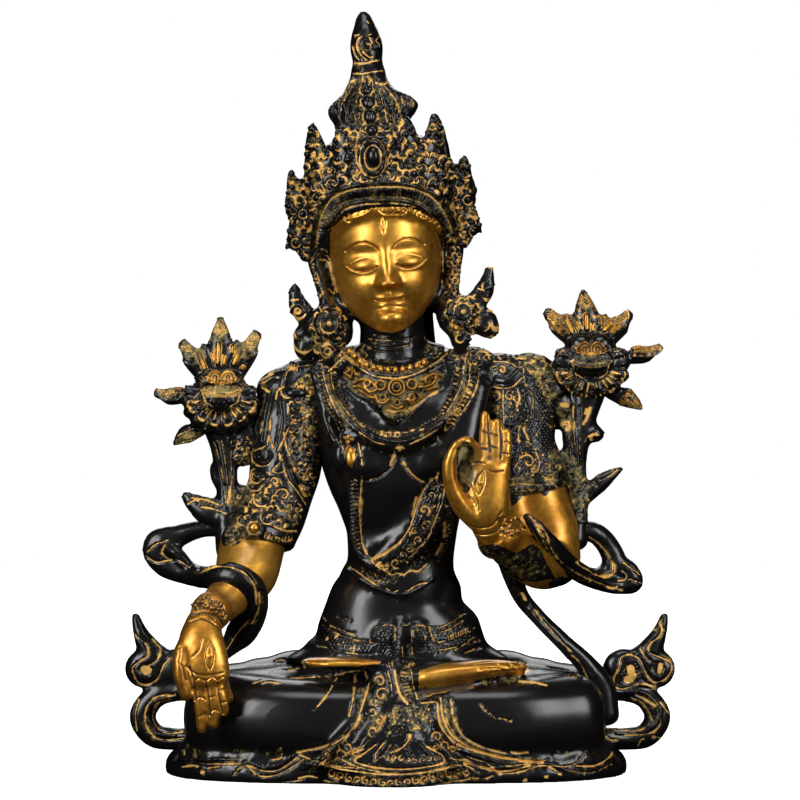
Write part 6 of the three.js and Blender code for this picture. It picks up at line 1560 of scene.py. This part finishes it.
def lowered_hand_drawing():
    sheet = Drawing(160, 500, 300, 740, tone=0.9)
    for line in ([(202, 639), (199, 650), (192.5, 656.5)], [(195, 680.5), (199, 678), (203.5, 680.5)], [(207, 680.5), (212.5, 677), (218, 680.5)], [(219, 679.5), (223.5, 676.5), (227, 679)],
                 [(195.5, 699.5), (200.5, 697), (205.5, 699.5)], [(210, 698), (214.5, 696)], [(220.5, 690), (226, 688.5)], [(199.5, 717), (203.5, 714.5)], [(211.5, 712), (215, 709.5), (219, 711.5)],
                 [(222, 703.5), (226, 702)], [(186, 666), (195.5, 674), (208.5, 675.5), (223, 672.5)], [(179.5, 647), (180.5, 655), (179.5, 663), (183, 667.5), (186, 680.5)]):
        sheet.groove(line, 1.8, 0.45)
    for line in ([(205.5, 680.5), (208.5, 701), (210, 715.5)], [(218, 683.5), (219.5, 699.5), (223, 714)], [(189.5, 667.5), (194, 683.5), (195.5, 701)]):
        sheet.groove(line, 2.6, 0.8)
    almond = [(210, 642), (206.5, 650), (206.5, 661), (210, 670), (213.5, 661), (213.5, 650), (210, 642)]
    sheet.groove(almond, 1.7, 0.5)
    sheet.boss(*(210, 656), 2.4, 0.5)
    sheet.cut([(189.5, 616.5), (195.5, 613), (203.5, 612), (219, 618), (226, 629.5)], 2.2, 0.6)
    sheet.cut([(186, 623), (202, 619.5), (218, 627), (223, 635.5)], 1.8, 0.5)
    sheet.beads([(191.5, 612), (199, 608), (210, 607), (221, 610), (227.5, 619.5)], 4.6, 2.2, 0.8)
    sheet.lobes([(191.5, 602), (206, 596), (220, 600), (227.5, 615), (224, 624), (206, 615), (190, 615)], 4.2, 63, 1.0, 0.9, 0.3)
    # painted shade under the sleeve's hem, as dark stain on the gilding
    sheet.haze_and_shade([(226, 549.5), (251.5, 543), (277, 549.5), (264.5, 564), (235.5, 568.5)], 0.6)
    sheet.haze_and_shade([(189.5, 600.5), (206, 594), (221, 599), (229, 616.5), (224.5, 626), (206, 618), (189.5, 616.5)], 0.5)
    # painted shade under the scarf's wrap, as dark stain on the gilding
    sheet.haze_and_shade([(195.5, 588), (211.5, 583), (235.5, 591), (243.5, 607), (237, 619.5), (226, 604), (202, 596)], 0.6)
    return sheet


def raised_hand_drawing():
    sheet = Drawing(430, 390, 600, 600, tone=0.9)
    for line in ([(472, 464), (479, 462.5), (485.5, 463)], [(483.5, 467.5), (492.5, 472), (503, 471)], [(482, 431), (487, 433)], [(490.5, 433.5), (497, 435.5)], [(505, 441.5), (510.5, 443)],
                 [(481, 448), (487, 449.5)], [(490.5, 446), (496.5, 448)], [(503, 453), (508.5, 455)], [(464, 480), (473, 489), (477.5, 501.5), (479, 510.5)], [(440.5, 458.5), (446, 457)], [(444.5, 449.5), (449.5, 448)]):
        sheet.groove(line, 1.8, 0.5)
    sheet.haze_and_shade([(469, 441), (480, 444.5), (483.5, 462.5), (478, 488), (469, 481)], 0.7)
    sheet.haze_and_shade([(480, 422.5), (491, 419), (503.5, 430), (509, 452), (496.5, 466.5), (478, 459)], 0.6)
    almond = [(483, 471), (477, 477.5), (474.5, 487), (478.5, 494.5), (483.5, 485.5), (484.5, 477.5), (483, 471)]
    sheet.groove(almond, 1.8, 0.5)
    sheet.boss(*(480, 482.5), 2.6, 0.5)
    sheet.groove([(488, 415.5), (489, 433.5), (490, 451.5)], 2.4, 0.7)
    sheet.groove([(500.5, 423), (501.5, 440.5), (500.5, 458.5)], 2.4, 0.7)
    sheet.cut([(462, 523), (476.5, 528), (492.5, 525.5), (501.5, 512)], 2.4, 0.6)
    sheet.cut([(465.5, 530), (480, 535), (496, 532), (507, 517.5)], 2.0, 0.6)
    sheet.scrolls([(496, 519.5), (507, 515.5), (523, 521), (526.5, 532), (514, 537), (499.5, 533.5)], 7, 0.5, 62, 2.0, 0.4)
    # painted shade: the forearm's underside, and a painted shadow under the sleeve's hem, both bared of gilding and
    # dulled; then the web between thumb and palm, bared and dulled
    under = [(476, 546), (496, 544), (516, 553), (533, 543), (541, 550), (548, 566), (556, 578), (536, 582), (514, 580), (492, 566)]
    sheet.bare(under)
    sheet.haze_and_shade(under, 0.5)
    # more painted shade on the underside at the elbow
    sheet.bare([(548, 583), (560, 576), (580, 580), (576, 594), (552, 596)])
    # painted shadow that the sleeve's hem casts on the forearm
    hem_shadow = [(509, 478), (562, 470), (566, 484), (552, 489), (545, 497), (536, 488), (526, 490), (520, 500), (511, 508)]
    sheet.bare(hem_shadow)
    sheet.haze_and_shade(hem_shadow, 0.5)
    sheet.gold([(514, 486), (526, 489), (540, 486)], 1.4)
    web = [(456, 448), (466, 440), (474, 450), (474, 478), (468, 494), (458, 480)]
    sheet.bare(web)
    sheet.haze_and_shade(web, 1.0)
    return sheet


def lotus_parts(sheet, x, v, out, petals):
    """What both lotuses have below their leaves: two ribbed lobes, a dish, a dark bowl and rays of small petals."""
    for s in (-1, 1):
        arch = np.linspace(math.pi, 2 * math.pi, 9)
        for r, w in ((8.6, 2.4), (5.4, 1.8)):
            sheet.ridge(np.column_stack([x + s * 6.6 + r * 0.78 * np.cos(arch), v - 17 + r * np.sin(arch)]), w, 0.8)
        for k in (-2.6, 0, 2.6):
            sheet.ridge([(x + s * 6.6 + k, v - 20), (x + s * 6.6 + k * 1.2, v - 13)], 1.6, 0.6)
        sheet.rays(x, v, 22, 31, 208 if s < 0 else 308, 232 if s < 0 else 332, 5, 2.2, 0.7, 0.9)
        sheet.ridge([(x + s * 22, v - 16), (x + s * 28, v - 19), (x + s * 35, v - 12), (x + s * 33, v - 4)], 2.6, 0.8)
        sheet.ridge([(x + s * 25, v + 2), (x + s * 34, v + 2), (x + s * 36, v + 10), (x + s * 29, v + 14)], 2.6, 0.8)
        for k in range(3):
            sheet.ridge([(x + s * (27 + 2.6 * k), v + 3 + k), (x + s * (26 + 2.8 * k), v + 11 + k)], 1.6, 0.6)
    turn = np.linspace(0, 2 * math.pi, 25)
    dish = np.column_stack([x + 20 * np.cos(turn), v - 8 + 5 * np.sin(turn)])
    sheet.sink(dish, 0.2)
    sheet.haze_and_shade(dish, 0.8)
    arches = np.array([(-15, -15), (-13, -24), (-6, -26.5), (0, -23.5), (6, -26.5), (13, -24), (15, -15), (0, -12)])
    sheet.gild(arches + (x, v), 0.85)
    sheet.haze_and_shade(arches + (x, v), 0.5)
    lip = np.linspace(0.1, math.pi - 0.1, 13)
    sheet.ridge(np.column_stack([x + 20.5 * np.cos(lip), v - 8 + 6 * np.sin(lip)]), 2.6, 0.9)
    sheet.gold(np.column_stack([x + 20 * np.cos(lip), v - 7.2 + 6.4 * np.sin(lip)]), 1.8, 1.0)
    sheet.grains(dish, 2.6, 60 + petals, 0.12)
    bowl = np.column_stack([x + 22 * np.cos(turn), v + 4 + 8.5 * np.sin(turn)])
    sheet.bare(bowl)
    sheet.wash(bowl, 0.35)
    chance = np.random.default_rng(70 + petals)
    for u, w, *_ in sheet.spots(bowl, 4.6, chance):
        sheet.boss(u, w, chance.uniform(0.9, 1.7), 0.5)
    for s in (-1, 1):
        sheet.cut([(x + s * 19, v - 4), (x + s * 15, v + 6), (x + s * 8, v + 10)], 1.8, 0.6)
    rim = np.column_stack([x + 34 * np.cos(lip), v - 3 + 29 * np.sin(lip)])
    sheet.wash(np.vstack([bowl[:13] + (0, 0), rim[::-1]]), 0.35)
    sheet.rays(x, v - 2, 20, 29, 22, 158, petals, 2.4, 0.9, 0.84)
    for k, a in enumerate(np.radians(np.linspace(18, 162, petals * 2 - 1))):
        ray = np.array([math.cos(a), 0.84 * math.sin(a)])
        if k % 5 != 3:
            sheet.gold([(x, v - 2) + ray * 21, (x, v - 2) + ray * (26 if k % 2 else 30)], 0.7 if k % 3 else 1.7, 1.0, 0)
    for a in np.radians(np.linspace(30, 150, 6)):
        u, w = x + 33 * math.cos(a), v - 3 + 29 * math.sin(a)
        way = np.array([math.cos(a), math.sin(a)])
        side = np.array([-way[1], way[0]])
        place = np.array([u, w])
        scallop = [place - side * 6.4 - way * 2.4, place - side * 3.6 + way * 1.8, place + way * 3.0, place + side * 3.6 + way * 1.8, place + side * 6.4 - way * 2.4]
        sheet.ridge(scallop, 2.2, 0.8)
        sheet.gold(scallop[1:4], 1.2, 1.0)


def lotus_leaves(sheet, leaves, drops, amber):
    """Gilt leaves with slanting veins, and smooth gilt drops at their feet."""
    for foot, tip, wide in leaves:
        foot, tip = np.array(foot), np.array(tip)
        across = np.array([-(tip - foot)[1], (tip - foot)[0]]) / np.linalg.norm(tip - foot) * wide / 2
        rim = [foot + across * 0.9, (foot + tip) / 2 + across * 1.3, foot * 0.12 + tip * 0.88 + across * 0.9, tip * 1.06 - foot * 0.06, foot * 0.12 + tip * 0.88 - across * 0.9, (foot + tip) / 2 - across * 1.3, foot - across * 0.9]
        sheet.haze_and_shade(rim, 0.5 if amber else 0.8)
        if amber:
            sheet.gild(rim, amber)
        sheet.ridge(rim, 1.8, 0.5)
        sheet.gold(rim[1:3] + [tip], 0.9, 0.9)
        sheet.feather(foot * 0.75 + tip * 0.25, foot * 0.08 + tip * 0.92, wide * 0.8, pitch=3.1, gold=0.7)
        sheet.crescent(*(foot * 0.3 + tip * 0.7), wide * 0.16, 1.6, 2.4, 2.0)
    for a, b, thick in drops:
        sheet.ridge([a, ((a[0] + b[0]) / 2, (a[1] + b[1]) / 2), b], thick, 1.3)
        middle = np.array([a, b]).mean(0)
        along = (np.array(b) - np.array(a)) / 2
        side = np.array([-along[1], along[0]]) / np.linalg.norm(along) * thick * 0.6
        sheet.gild([middle - along * 1.2, middle - side, middle + along * 1.2, middle + side])


def lotus_drawing(lotus, out):
    if out < 0:
        sheet = Drawing(140, 300, 290, 460, tone=0.6)
        leaves = (((219, 344.5), (221, 319.5), 21), ((238, 356.5), (256.5, 333.5), 19), ((201, 362.5), (183.5, 342), 19), ((186, 391), (157, 392.5), 14), ((207.5, 436), (176, 443.5), 15))
        drops = (((218.5, 343.5), (218, 363.5), 5.6), ((240.5, 350.5), (233.5, 364), 6.2), ((199, 353.5), (205, 369.5), 5.6), ((212, 352), (214, 362.5), 2.8), ((225.5, 355), (223.5, 364.5), 3.2),
                 ((232, 346), (232, 353.5), 3.2), ((245.5, 365.5), (241, 369), 3.0), ((174.5, 390), (184.5, 390), 4.0))
        middle, petals = (221.5, 397), 11
    else:
        sheet = Drawing(525, 275, 670, 440, tone=0.6)
        leaves = (((588, 319), (586.5, 294), 26), ((571, 331), (550.5, 305.5), 22), ((604.5, 330), (623, 305.5), 22), ((632, 350.5), (661.5, 345.5), 14), ((622, 394.5), (642, 410), 17))
        drops = (((586.5, 316), (587, 329.5), 6.0), ((566.5, 319), (573, 333.5), 6.2), ((611, 324), (603, 331), 6.0), ((601, 319), (601.5, 324.5), 3.2), ((577, 321), (580, 330), 3.4),
                 ((593.5, 323), (592.5, 331), 3.0), ((640.5, 348), (632, 349), 4.0))
        middle, petals = (591, 368), 12
    lotus_leaves(sheet, leaves, drops, 0 if out < 0 else 0.5)
    lotus_parts(sheet, *middle, out, petals)
    return sheet


def stem_drawing():
    sheet = Drawing(150, 380, 680, 730, tone=0.5)
    # flutes along both stems
    for line in ([(213.5, 442.5), (219.5, 463.5), (223.5, 483.5), (225.5, 502)], [(222, 440.5), (225.5, 463.5), (228, 483.5), (229.5, 502)], [(232, 440.5), (232, 463.5), (232.5, 483.5), (232, 500.5)],
                 [(570, 407), (573, 430), (575, 452), (578, 475)], [(579.5, 407), (579.5, 430), (580.5, 452), (583.5, 475)], [(566.5, 423.5), (569, 435), (573.5, 457.5)]):
        sheet.groove(line, 2.4, 0.9)
        sheet.gold(line[1:3], 0.9, 0.9)
    for line in ([(218, 442.5), (222.5, 463.5), (225.5, 483.5)], [(227, 440.5), (229, 463.5), (230.5, 483.5)], [(575, 423.5), (576.5, 440.5), (578, 463.5)]):
        sheet.ridge(line, 3.4, 0.8)
    for line, width in (([(232, 476), (230.5, 491), (228, 502)], 2.6), ([(589.5, 408.5), (587, 417.5), (583.5, 423.5)], 3.2), ([(586, 408.5), (585, 414)], 2.0), ([(563.5, 405.5), (568, 406)], 3.2), ([(562, 424), (568, 423.5), (567.5, 429)], 4.0),
                        ([(574, 423.5), (573.5, 428)], 3.2), ([(591, 438), (593, 435), (597.5, 435)], 2.6)):
        sheet.gold(line, width, 1.0)
    sheet.curls([(235, 440.5), (250, 434.5), (256.5, 448.5), (253.5, 466.5), (238, 466.5), (233.5, 456)], 6.4, 0.5, 71)
    sheet.haze_and_shade([(235, 453), (253.5, 450), (253.5, 468.5), (238, 470)], 0.4)
    # the leaves below the lotuses
    for line in ([(187.5, 504), (193.5, 500.5), (199, 500)], [(201, 507), (212, 508.5), (225.5, 513.5)], [(190.5, 497.5), (204.5, 499), (219.5, 505)], [(585, 440.5), (589.5, 435), (597.5, 432)],
                 [(596, 476.5), (605, 469.5), (617.5, 468.5), (612, 474.5), (599.5, 480)], [(587, 480), (598, 487)]):
        sheet.cut(line, 2.0, 0.6)
    sheet.feather((195, 497.5), (225.5, 509.5), 12)
    sheet.haze_and_shade([(232, 485), (247, 486.5), (250, 502), (235, 515.5), (225.5, 506.5)], 0.4)
    sheet.curls([(232, 494.5), (250, 488), (256.5, 506.5), (247, 519), (232, 519)], 7.0, 0.5, 72)
    # the stem that climbs from the knee
    for line in ([(534.5, 609), (546, 624.5), (559, 639), (571, 651.5)], [(571.5, 655.5), (579.5, 662.5), (585.5, 674.5), (591, 689)]):
        sheet.cut(line, 2.2, 0.7)
    sheet.gold([(522.5, 593.5), (525, 599)], 3.2, 1.0)
    sheet.haze_and_shade([(557.5, 452), (569, 448), (588, 477.5), (593.5, 524.5), (577.5, 524.5), (566.5, 488)], 0.8)
    sheet.haze_and_shade([(554.5, 401), (576.5, 401), (576.5, 430), (562, 433.5)], 0.5)
    sheet.crescent(*(592.5, 437), 3.0, 3.0, 4.4, 2.4)
    sheet.grains([(556.5, 452), (569, 448), (588, 477.5), (593.5, 524.5), (577.5, 524.5), (566.5, 488)], 4.0, 73, 0.2)
    for line, width in (([(562, 404.5), (567.5, 404.5)], 3.0), ([(563.5, 422.5), (569, 426.5), (568.5, 430)], 3.0), ([(573.5, 406.5), (573, 417.5)], 2.0)):
        sheet.gold(line, width)
    sheet.ridge([(527, 608.5), (538.5, 623), (553.5, 639), (568, 657)], 4.4, 0.6)
    sheet.haze_and_shade([(503.5, 564.5), (522.5, 569), (519.5, 582), (522.5, 595), (513.5, 589.5), (506.5, 577.5)], 0.36)
    return sheet


def scarf_drawing():
    sheet = Drawing(100, 480, 700, 770, tone=0.5)
    flame = [(662, 613), (658, 620), (662.5, 629), (659.5, 636.5), (651, 642.5), (648, 648.5), (652, 654), (663.5, 658), (672, 663), (672, 671.5), (665, 680), (656, 683), (648.5, 677.5), (643, 665.5), (637, 657), (628, 654), (621, 657), (618.5, 668.5), (614, 677.5), (615, 686), (623.5, 689), (635.5, 684.5), (646, 684), (657.5, 690)]
    sheet.cut(flame, 2.6, 1.0, 3)
    for line in ([(640.5, 649), (645.5, 657), (651, 661.5)], [(635.5, 694), (645.5, 699.5), (655, 705.5)], [(631, 698), (641.5, 702.5), (648.5, 713), (652, 720)], [(621, 728.5), (632.5, 731), (644.5, 728)],
                 [(625, 735), (638.5, 734.5), (653, 732), (660.5, 724), (660.5, 718.5)], [(660.5, 702), (669, 712.5), (671, 715.5)], [(653, 736.5), (663.5, 739)], [(638.5, 746.5), (641.5, 740), (644.5, 738.5)],
                 [(607, 695.5), (608, 701), (616.5, 701)], [(607.5, 718.5), (612, 725.5), (616.5, 730)], [(606, 736), (612, 740.5), (618, 739.5)], [(653, 629), (656, 630)]):
        sheet.cut(line, 2.4, 0.8)
    for line in ([(628, 692), (643, 692.5), (654.5, 701), (660.5, 711), (656, 724), (644, 731.5)], [(616.5, 733), (632.5, 733), (647, 731.5)], [(635.5, 676), (644, 684.5), (656, 687.5)]):
        sheet.ridge(line, 4.4, 0.7)
    blob = [(626.5, 664), (635.5, 663), (640, 671.5), (641.5, 680.5), (632.5, 685), (622.5, 682), (622, 673)]
    sheet.sink(blob, 0.8)
    sheet.gold([(631, 668.5), (632.5, 677.5), (628, 680)], 9.0, 0.75)
    chance = np.random.default_rng(81)
    for u, v, *_ in sheet.spots(blob, 3.2, chance):
        sheet.boss(u, v, 1.1, 0.0)
    hollow = [(653, 662.5), (662, 661), (665, 668.5), (662, 676), (654.5, 674.5), (651, 668.5)]
    sheet.sink(hollow, 0.7)
    sheet.gold([(661, 665), (659.5, 672)], 5.0, 0.95)
    sheet.haze_and_shade([(607.5, 709.5), (612, 721.5), (617, 730), (610.5, 737.5), (605.5, 733)], 0.5)
    # the right loop and its hanging lobe
    for line, width in (([(577, 562), (587, 569), (597.5, 574.5), (607.5, 577), (614.5, 573), (615, 566), (611, 560)], 2.8), ([(623, 562), (635.5, 570.5), (640, 574)], 2.4), ([(622, 570.5), (626.5, 574.5), (625, 579), (618.5, 580.5)], 2.4),
                        ([(629.5, 579), (643, 583.5)], 2.2), ([(607, 587.5), (612.5, 588.5), (618, 586)], 3.0), ([(530, 515.5), (544.5, 532), (555, 555), (573, 571), (599.5, 583.5), (623, 590.5)], 2.0),
                        ([(535.5, 523), (544.5, 537)], 2.4), ([(589, 537), (599.5, 544.5), (610.5, 558.5), (612, 573), (601.5, 575.5)], 2.4), ([(537, 528), (555, 562), (578, 580)], 1.8)):
        sheet.cut(line, width, 0.8)
    sheet.ridge([(540.5, 523), (553, 544.5), (569.5, 562), (590.5, 574.5)], 4.6, 0.6)
    # the left loop, the wrap round the forearm, and the left curl
    for line in ([(144.5, 556), (156, 562.5), (167, 560.5), (176.5, 560.5), (189.5, 567)], [(164, 545), (162, 553), (170, 560.5)], [(148, 551), (154, 545), (167, 540)], [(199, 572), (221, 565.5), (243.5, 572), (254.5, 586.5), (256.5, 604)],
                 [(250, 619.5), (237, 634), (226, 650)], [(259.5, 592.5), (259.5, 607), (253, 623)], [(128.5, 616.5), (135, 635.5), (146.5, 645.5), (148, 655), (140, 661), (132, 667.5), (133.5, 675.5), (138.5, 683.5), (146.5, 685), (156, 680.5), (164, 664.5), (170, 658)],
                 [(168.5, 694.5), (154, 698), (145.5, 710.5), (146.5, 726.5), (156, 738), (168.5, 740), (183, 738)], [(175, 694.5), (160.5, 699.5), (154, 712), (156, 725), (167, 733), (182, 731.5)],
                 [(152.5, 639), (160.5, 648.5), (156, 661), (148, 666)], [(138.5, 699.5), (134.5, 714), (136.5, 730)], [(168.5, 699.5), (162, 709), (164, 720), (170, 726.5)]):
        sheet.cut(line, 2.4, 0.8)
    for line in ([(164, 697), (150, 704.5), (150, 720), (159, 734), (175, 735.5)], [(202, 568), (224.5, 562.5), (246.5, 570.5), (259.5, 588)]):
        sheet.ridge(line, 4.2, 0.7)
    u, v = (145.5, 670)
    sheet.sink([(u + 7 * math.cos(a), v + 7 * math.sin(a)) for a in np.arange(0, 6.3, 0.6)], 0.8)
    sheet.gold([(u - 1, v), (u + 1, v + 1)], 9.0, 0.9, 0)
    return sheet


# ---- what a user would change ----
class GODDESS_PG_sizes(bpy.types.PropertyGroup):
    skin: bpy.props.FloatProperty(name="Skin step", description="Step of the fused skin, in millimetres", default=1.3, min=0.4, max=3)
    fine_skin: bpy.props.FloatProperty(name="Fine step", description="Step of the skin on head, hands and lotuses", default=1.0, min=0.4, max=3)


class GODDESS_PG_colours(bpy.types.PropertyGroup):
    lacquer: bpy.props.FloatVectorProperty(name="Lacquer", description="Black lacquer", subtype="COLOR", default=(0.0045, 0.004, 0.0042))
    lacquer_worn: bpy.props.FloatVectorProperty(name="Worn lacquer", description="Lacquer rubbed thin", subtype="COLOR", default=(0.008, 0.007, 0.0065))
    khaki: bpy.props.FloatVectorProperty(name="Patina", description="Dull patina beside the carving", subtype="COLOR", default=(0.27, 0.2, 0.06))
    khaki_deep: bpy.props.FloatVectorProperty(name="Deep patina", description="Patina where it is thickest", subtype="COLOR", default=(0.085, 0.07, 0.026))
    ochre: bpy.props.FloatVectorProperty(name="Carving gold", description="Dull gold in the carving", subtype="COLOR", default=(0.86, 0.5, 0.14))
    ochre_dark: bpy.props.FloatVectorProperty(name="Deep carving gold", description="Dull gold in the deepest places", subtype="COLOR", default=(0.62, 0.34, 0.075))
    gilding: bpy.props.FloatVectorProperty(name="Gilding", description="Gilding of face and hands", subtype="COLOR", default=(0.74, 0.37, 0.05))
    gilding_deep: bpy.props.FloatVectorProperty(name="Deep gilding", description="Gilding under thicker varnish", subtype="COLOR", default=(0.38, 0.15, 0.014))
    # also the colour of painted shade on the gilding, where the patina mark is painted shade
    stain_and_shade: bpy.props.FloatVectorProperty(name="Stain", description="Dark varnish in the creases of the gilding", subtype="COLOR", default=(0.06, 0.035, 0.015))


class Piece:
    """What the operators that make a piece share."""

    bl_options = {"REGISTER", "UNDO"}

    def dress(self, context, made, *replaced):
        material = bpy.data.materials.get("lacquer_and_gold") or lacquered_brass(context.scene.goddess_colours)
        made.data.materials.append(material)
        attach(made, "root")
        if replaced:
            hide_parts(*replaced)


class GODDESS_OT_body(Piece, bpy.types.Operator):
    """Torso, folded legs, skirt and base"""

    bl_idname = "goddess.body"
    bl_label = "Body and base"

    def execute(self, context):
        sizes = context.scene.goddess_sizes
        back = back_drawing()
        torso = cast("torso", torso_forms() + jewel_forms(), sizes.skin * 1.2, [torso_drawing(), back], fine=2)
        self.dress(context, torso, "statue")
        self.dress(context, cast("sleeves", sleeve_forms(), sizes.skin * 1.1, [sleeve_drawing(), back], fine=2))
        lap = cast("lap_and_base", base_forms() + leg_forms() + apron_forms(), sizes.skin * 1.25, [lap_drawing(), back], fine=2)
        self.dress(context, lap)
        return {"FINISHED"}


class GODDESS_OT_hands(Piece, bpy.types.Operator):
    """Both gilt forearms and hands"""

    bl_idname = "goddess.hands"
    bl_label = "Hands"

    def execute(self, context):
        sizes = context.scene.goddess_sizes
        for name, forms, sheet in (("lowered_hand", lowered_hand_forms(), lowered_hand_drawing()), ("raised_hand", raised_hand_forms(), raised_hand_drawing())):
            self.dress(context, cast(name, forms, sizes.fine_skin * 0.85, [sheet], gilt=1.0, tone=0.6, rounds=3))
        return {"FINISHED"}


class GODDESS_OT_head(Piece, bpy.types.Operator):
    """The head with its hair and earrings"""

    bl_idname = "goddess.head"
    bl_label = "Head"

    def execute(self, context):
        forms = lean_all(head_forms() + earring_forms())
        self.dress(context, cast("head", forms, context.scene.goddess_sizes.fine_skin * 1.3, [head_drawing()], fine=2, crevice=(0.12, 0.5)))
        return {"FINISHED"}


class GODDESS_OT_crown(Piece, bpy.types.Operator):
    """The leaf crown and the piled hair"""

    bl_idname = "goddess.crown"
    bl_label = "Crown"

    def execute(self, context):
        forms = lean_all(crown_forms() + topknot_forms())
        self.dress(context, cast("leaf_crown", forms, context.scene.goddess_sizes.fine_skin * 1.6, [crown_drawing()], fine=2))
        return {"FINISHED"}


class GODDESS_OT_lotuses(Piece, bpy.types.Operator):
    """Both lotuses with their stems"""

    bl_idname = "goddess.lotuses"
    bl_label = "Lotuses"

    def execute(self, context):
        step = context.scene.goddess_sizes.fine_skin * 0.8
        self.dress(context, cast("lotus_right", lotus_forms(LOTUS_RIGHT, 1), step, [lotus_drawing(LOTUS_RIGHT, 1)]))
        self.dress(context, cast("lotus_left", lotus_forms(LOTUS_LEFT, -1), step, [lotus_drawing(LOTUS_LEFT, -1)]))
        self.dress(context, cast("lotus_stems", stem_forms(), step * 1.25, [stem_drawing()]))
        return {"FINISHED"}


class GODDESS_OT_scarves(Piece, bpy.types.Operator):
    """The scarf's loops and its curled ends"""

    bl_idname = "goddess.scarves"
    bl_label = "Scarves"

    def execute(self, context):
        step = context.scene.goddess_sizes.fine_skin
        forms = scarf_forms() + curl_forms() + mirrored(curl_forms())
        self.dress(context, cast("scarves", forms, step, [scarf_drawing()], tone=0.35))
        return {"FINISHED"}


class GODDESS_OT_stage(bpy.types.Operator):
    """The pale floor, the soft lights and the camera"""

    bl_idname = "goddess.stage"
    bl_label = "Stage"

    def execute(self, context):
        scene = context.scene
        floor = bpy.data.objects.new("floor", mesh_of("floor", *floor_form()))
        scene.collection.objects.link(floor)
        floor.data.polygons.foreach_set("use_smooth", np.ones(len(floor.data.polygons), bool))
        pale = Finish("pale_floor")
        floor.data.materials.append(pale.shade(rgb((0.9, 0.9, 0.9)), 0.85, 0.0, specular=0.2, glow=1.0))
        floor.visible_glossy = floor.visible_diffuse = False
        floor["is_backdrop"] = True
        world = scene.world or bpy.data.worlds.new("studio")
        scene.world = world
        world.use_nodes = True
        background = world.node_tree.nodes["Background"]
        background.inputs["Color"].default_value = (1, 1, 1, 1)
        background.inputs["Strength"].default_value = 1.0
        world.cycles_visibility.glossy = world.cycles_visibility.diffuse = False
        for name, place, size, power in LIGHTS:
            data = bpy.data.lights.new(name, "AREA")
            data.shape, data.size, data.size_y, data.energy = "RECTANGLE", size[0], size[1], power
            lamp = bpy.data.objects.new(name, data)
            lamp.location = place
            lamp.visible_camera = False
            lamp.rotation_euler = (Vector((0, 0, 0.16)) - Vector(place)).to_track_quat("-Z", "Y").to_euler()
            scene.collection.objects.link(lamp)
        data = bpy.data.cameras.new("camera")
        data.sensor_width, data.lens = 36.0, 36.0 * EYE_AWAY / (PX * 800)
        camera = bpy.data.objects.new("camera", data)
        camera.location = (0, -EYE_AWAY / 1000, EYE_HEIGHT / 1000)
        camera.rotation_euler = (math.pi / 2, 0, 0)
        scene.collection.objects.link(camera)
        scene.camera = camera
        scene.view_settings.view_transform = "Standard"
        return {"FINISHED"}


LIGHTS = (
    ("key", (-0.85, -0.95, 0.5), (0.42, 0.8), 12.0),
    ("fill", (0.9, -0.95, 0.5), (0.42, 0.8), 10.0),
    ("top", (0.0, -0.5, 1.2), (0.7, 0.4), 5.0),
    ("rear", (0.0, 1.5, 1.2), (1.6, 0.9), 13.0),
    ("surround", (0.0, -2.6, 0.6), (5.0, 3.0), 7.0),
)


def floor_form():
    """A round floor, in metres."""
    turn = np.linspace(0, 2 * math.pi, 65)[:-1]
    points = np.vstack([[(0, 0, 0)], np.column_stack([FLOOR * np.cos(turn), FLOOR * np.sin(turn), np.zeros(64)])])
    return points, np.array([(0, 1 + i, 1 + (i + 1) % 64) for i in range(64)])


FLOOR = 1.6


PIECES = (GODDESS_OT_body, GODDESS_OT_hands, GODDESS_OT_head, GODDESS_OT_crown, GODDESS_OT_lotuses, GODDESS_OT_scarves, GODDESS_OT_stage)


class GODDESS_PT_panel(bpy.types.Panel):
    """Lists the pieces of the figure"""

    bl_idname = "GODDESS_PT_panel"
    bl_label = "Lacquered goddess"
    bl_space_type, bl_region_type, bl_category = "VIEW_3D", "UI", "Goddess"

    def draw(self, context):
        for group in (context.scene.goddess_sizes, context.scene.goddess_colours):
            for name in group.__annotations__:
                self.layout.prop(group, name)
        for operator in PIECES:
            self.layout.operator(operator.bl_idname)


CLASSES = (GODDESS_PG_sizes, GODDESS_PG_colours, *PIECES, GODDESS_PT_panel)


def register():
    for cls in CLASSES:
        bpy.utils.register_class(cls)
    bpy.types.Scene.goddess_sizes = bpy.props.PointerProperty(type=GODDESS_PG_sizes)
    bpy.types.Scene.goddess_colours = bpy.props.PointerProperty(type=GODDESS_PG_colours)


def unregister():
    del bpy.types.Scene.goddess_colours
    del bpy.types.Scene.goddess_sizes
    for cls in reversed(CLASSES):
        bpy.utils.unregister_class(cls)


def main():
    register()
    bpy.ops.goddess.body()
    bpy.ops.goddess.hands()
    bpy.ops.goddess.head()
    bpy.ops.goddess.crown()
    bpy.ops.goddess.lotuses()
    bpy.ops.goddess.scarves()
    bpy.ops.goddess.stage()
    corners = [[list(corner) for corner in box] for box in (CAD_BOX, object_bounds())]


if __name__ == "__main__":
    main()
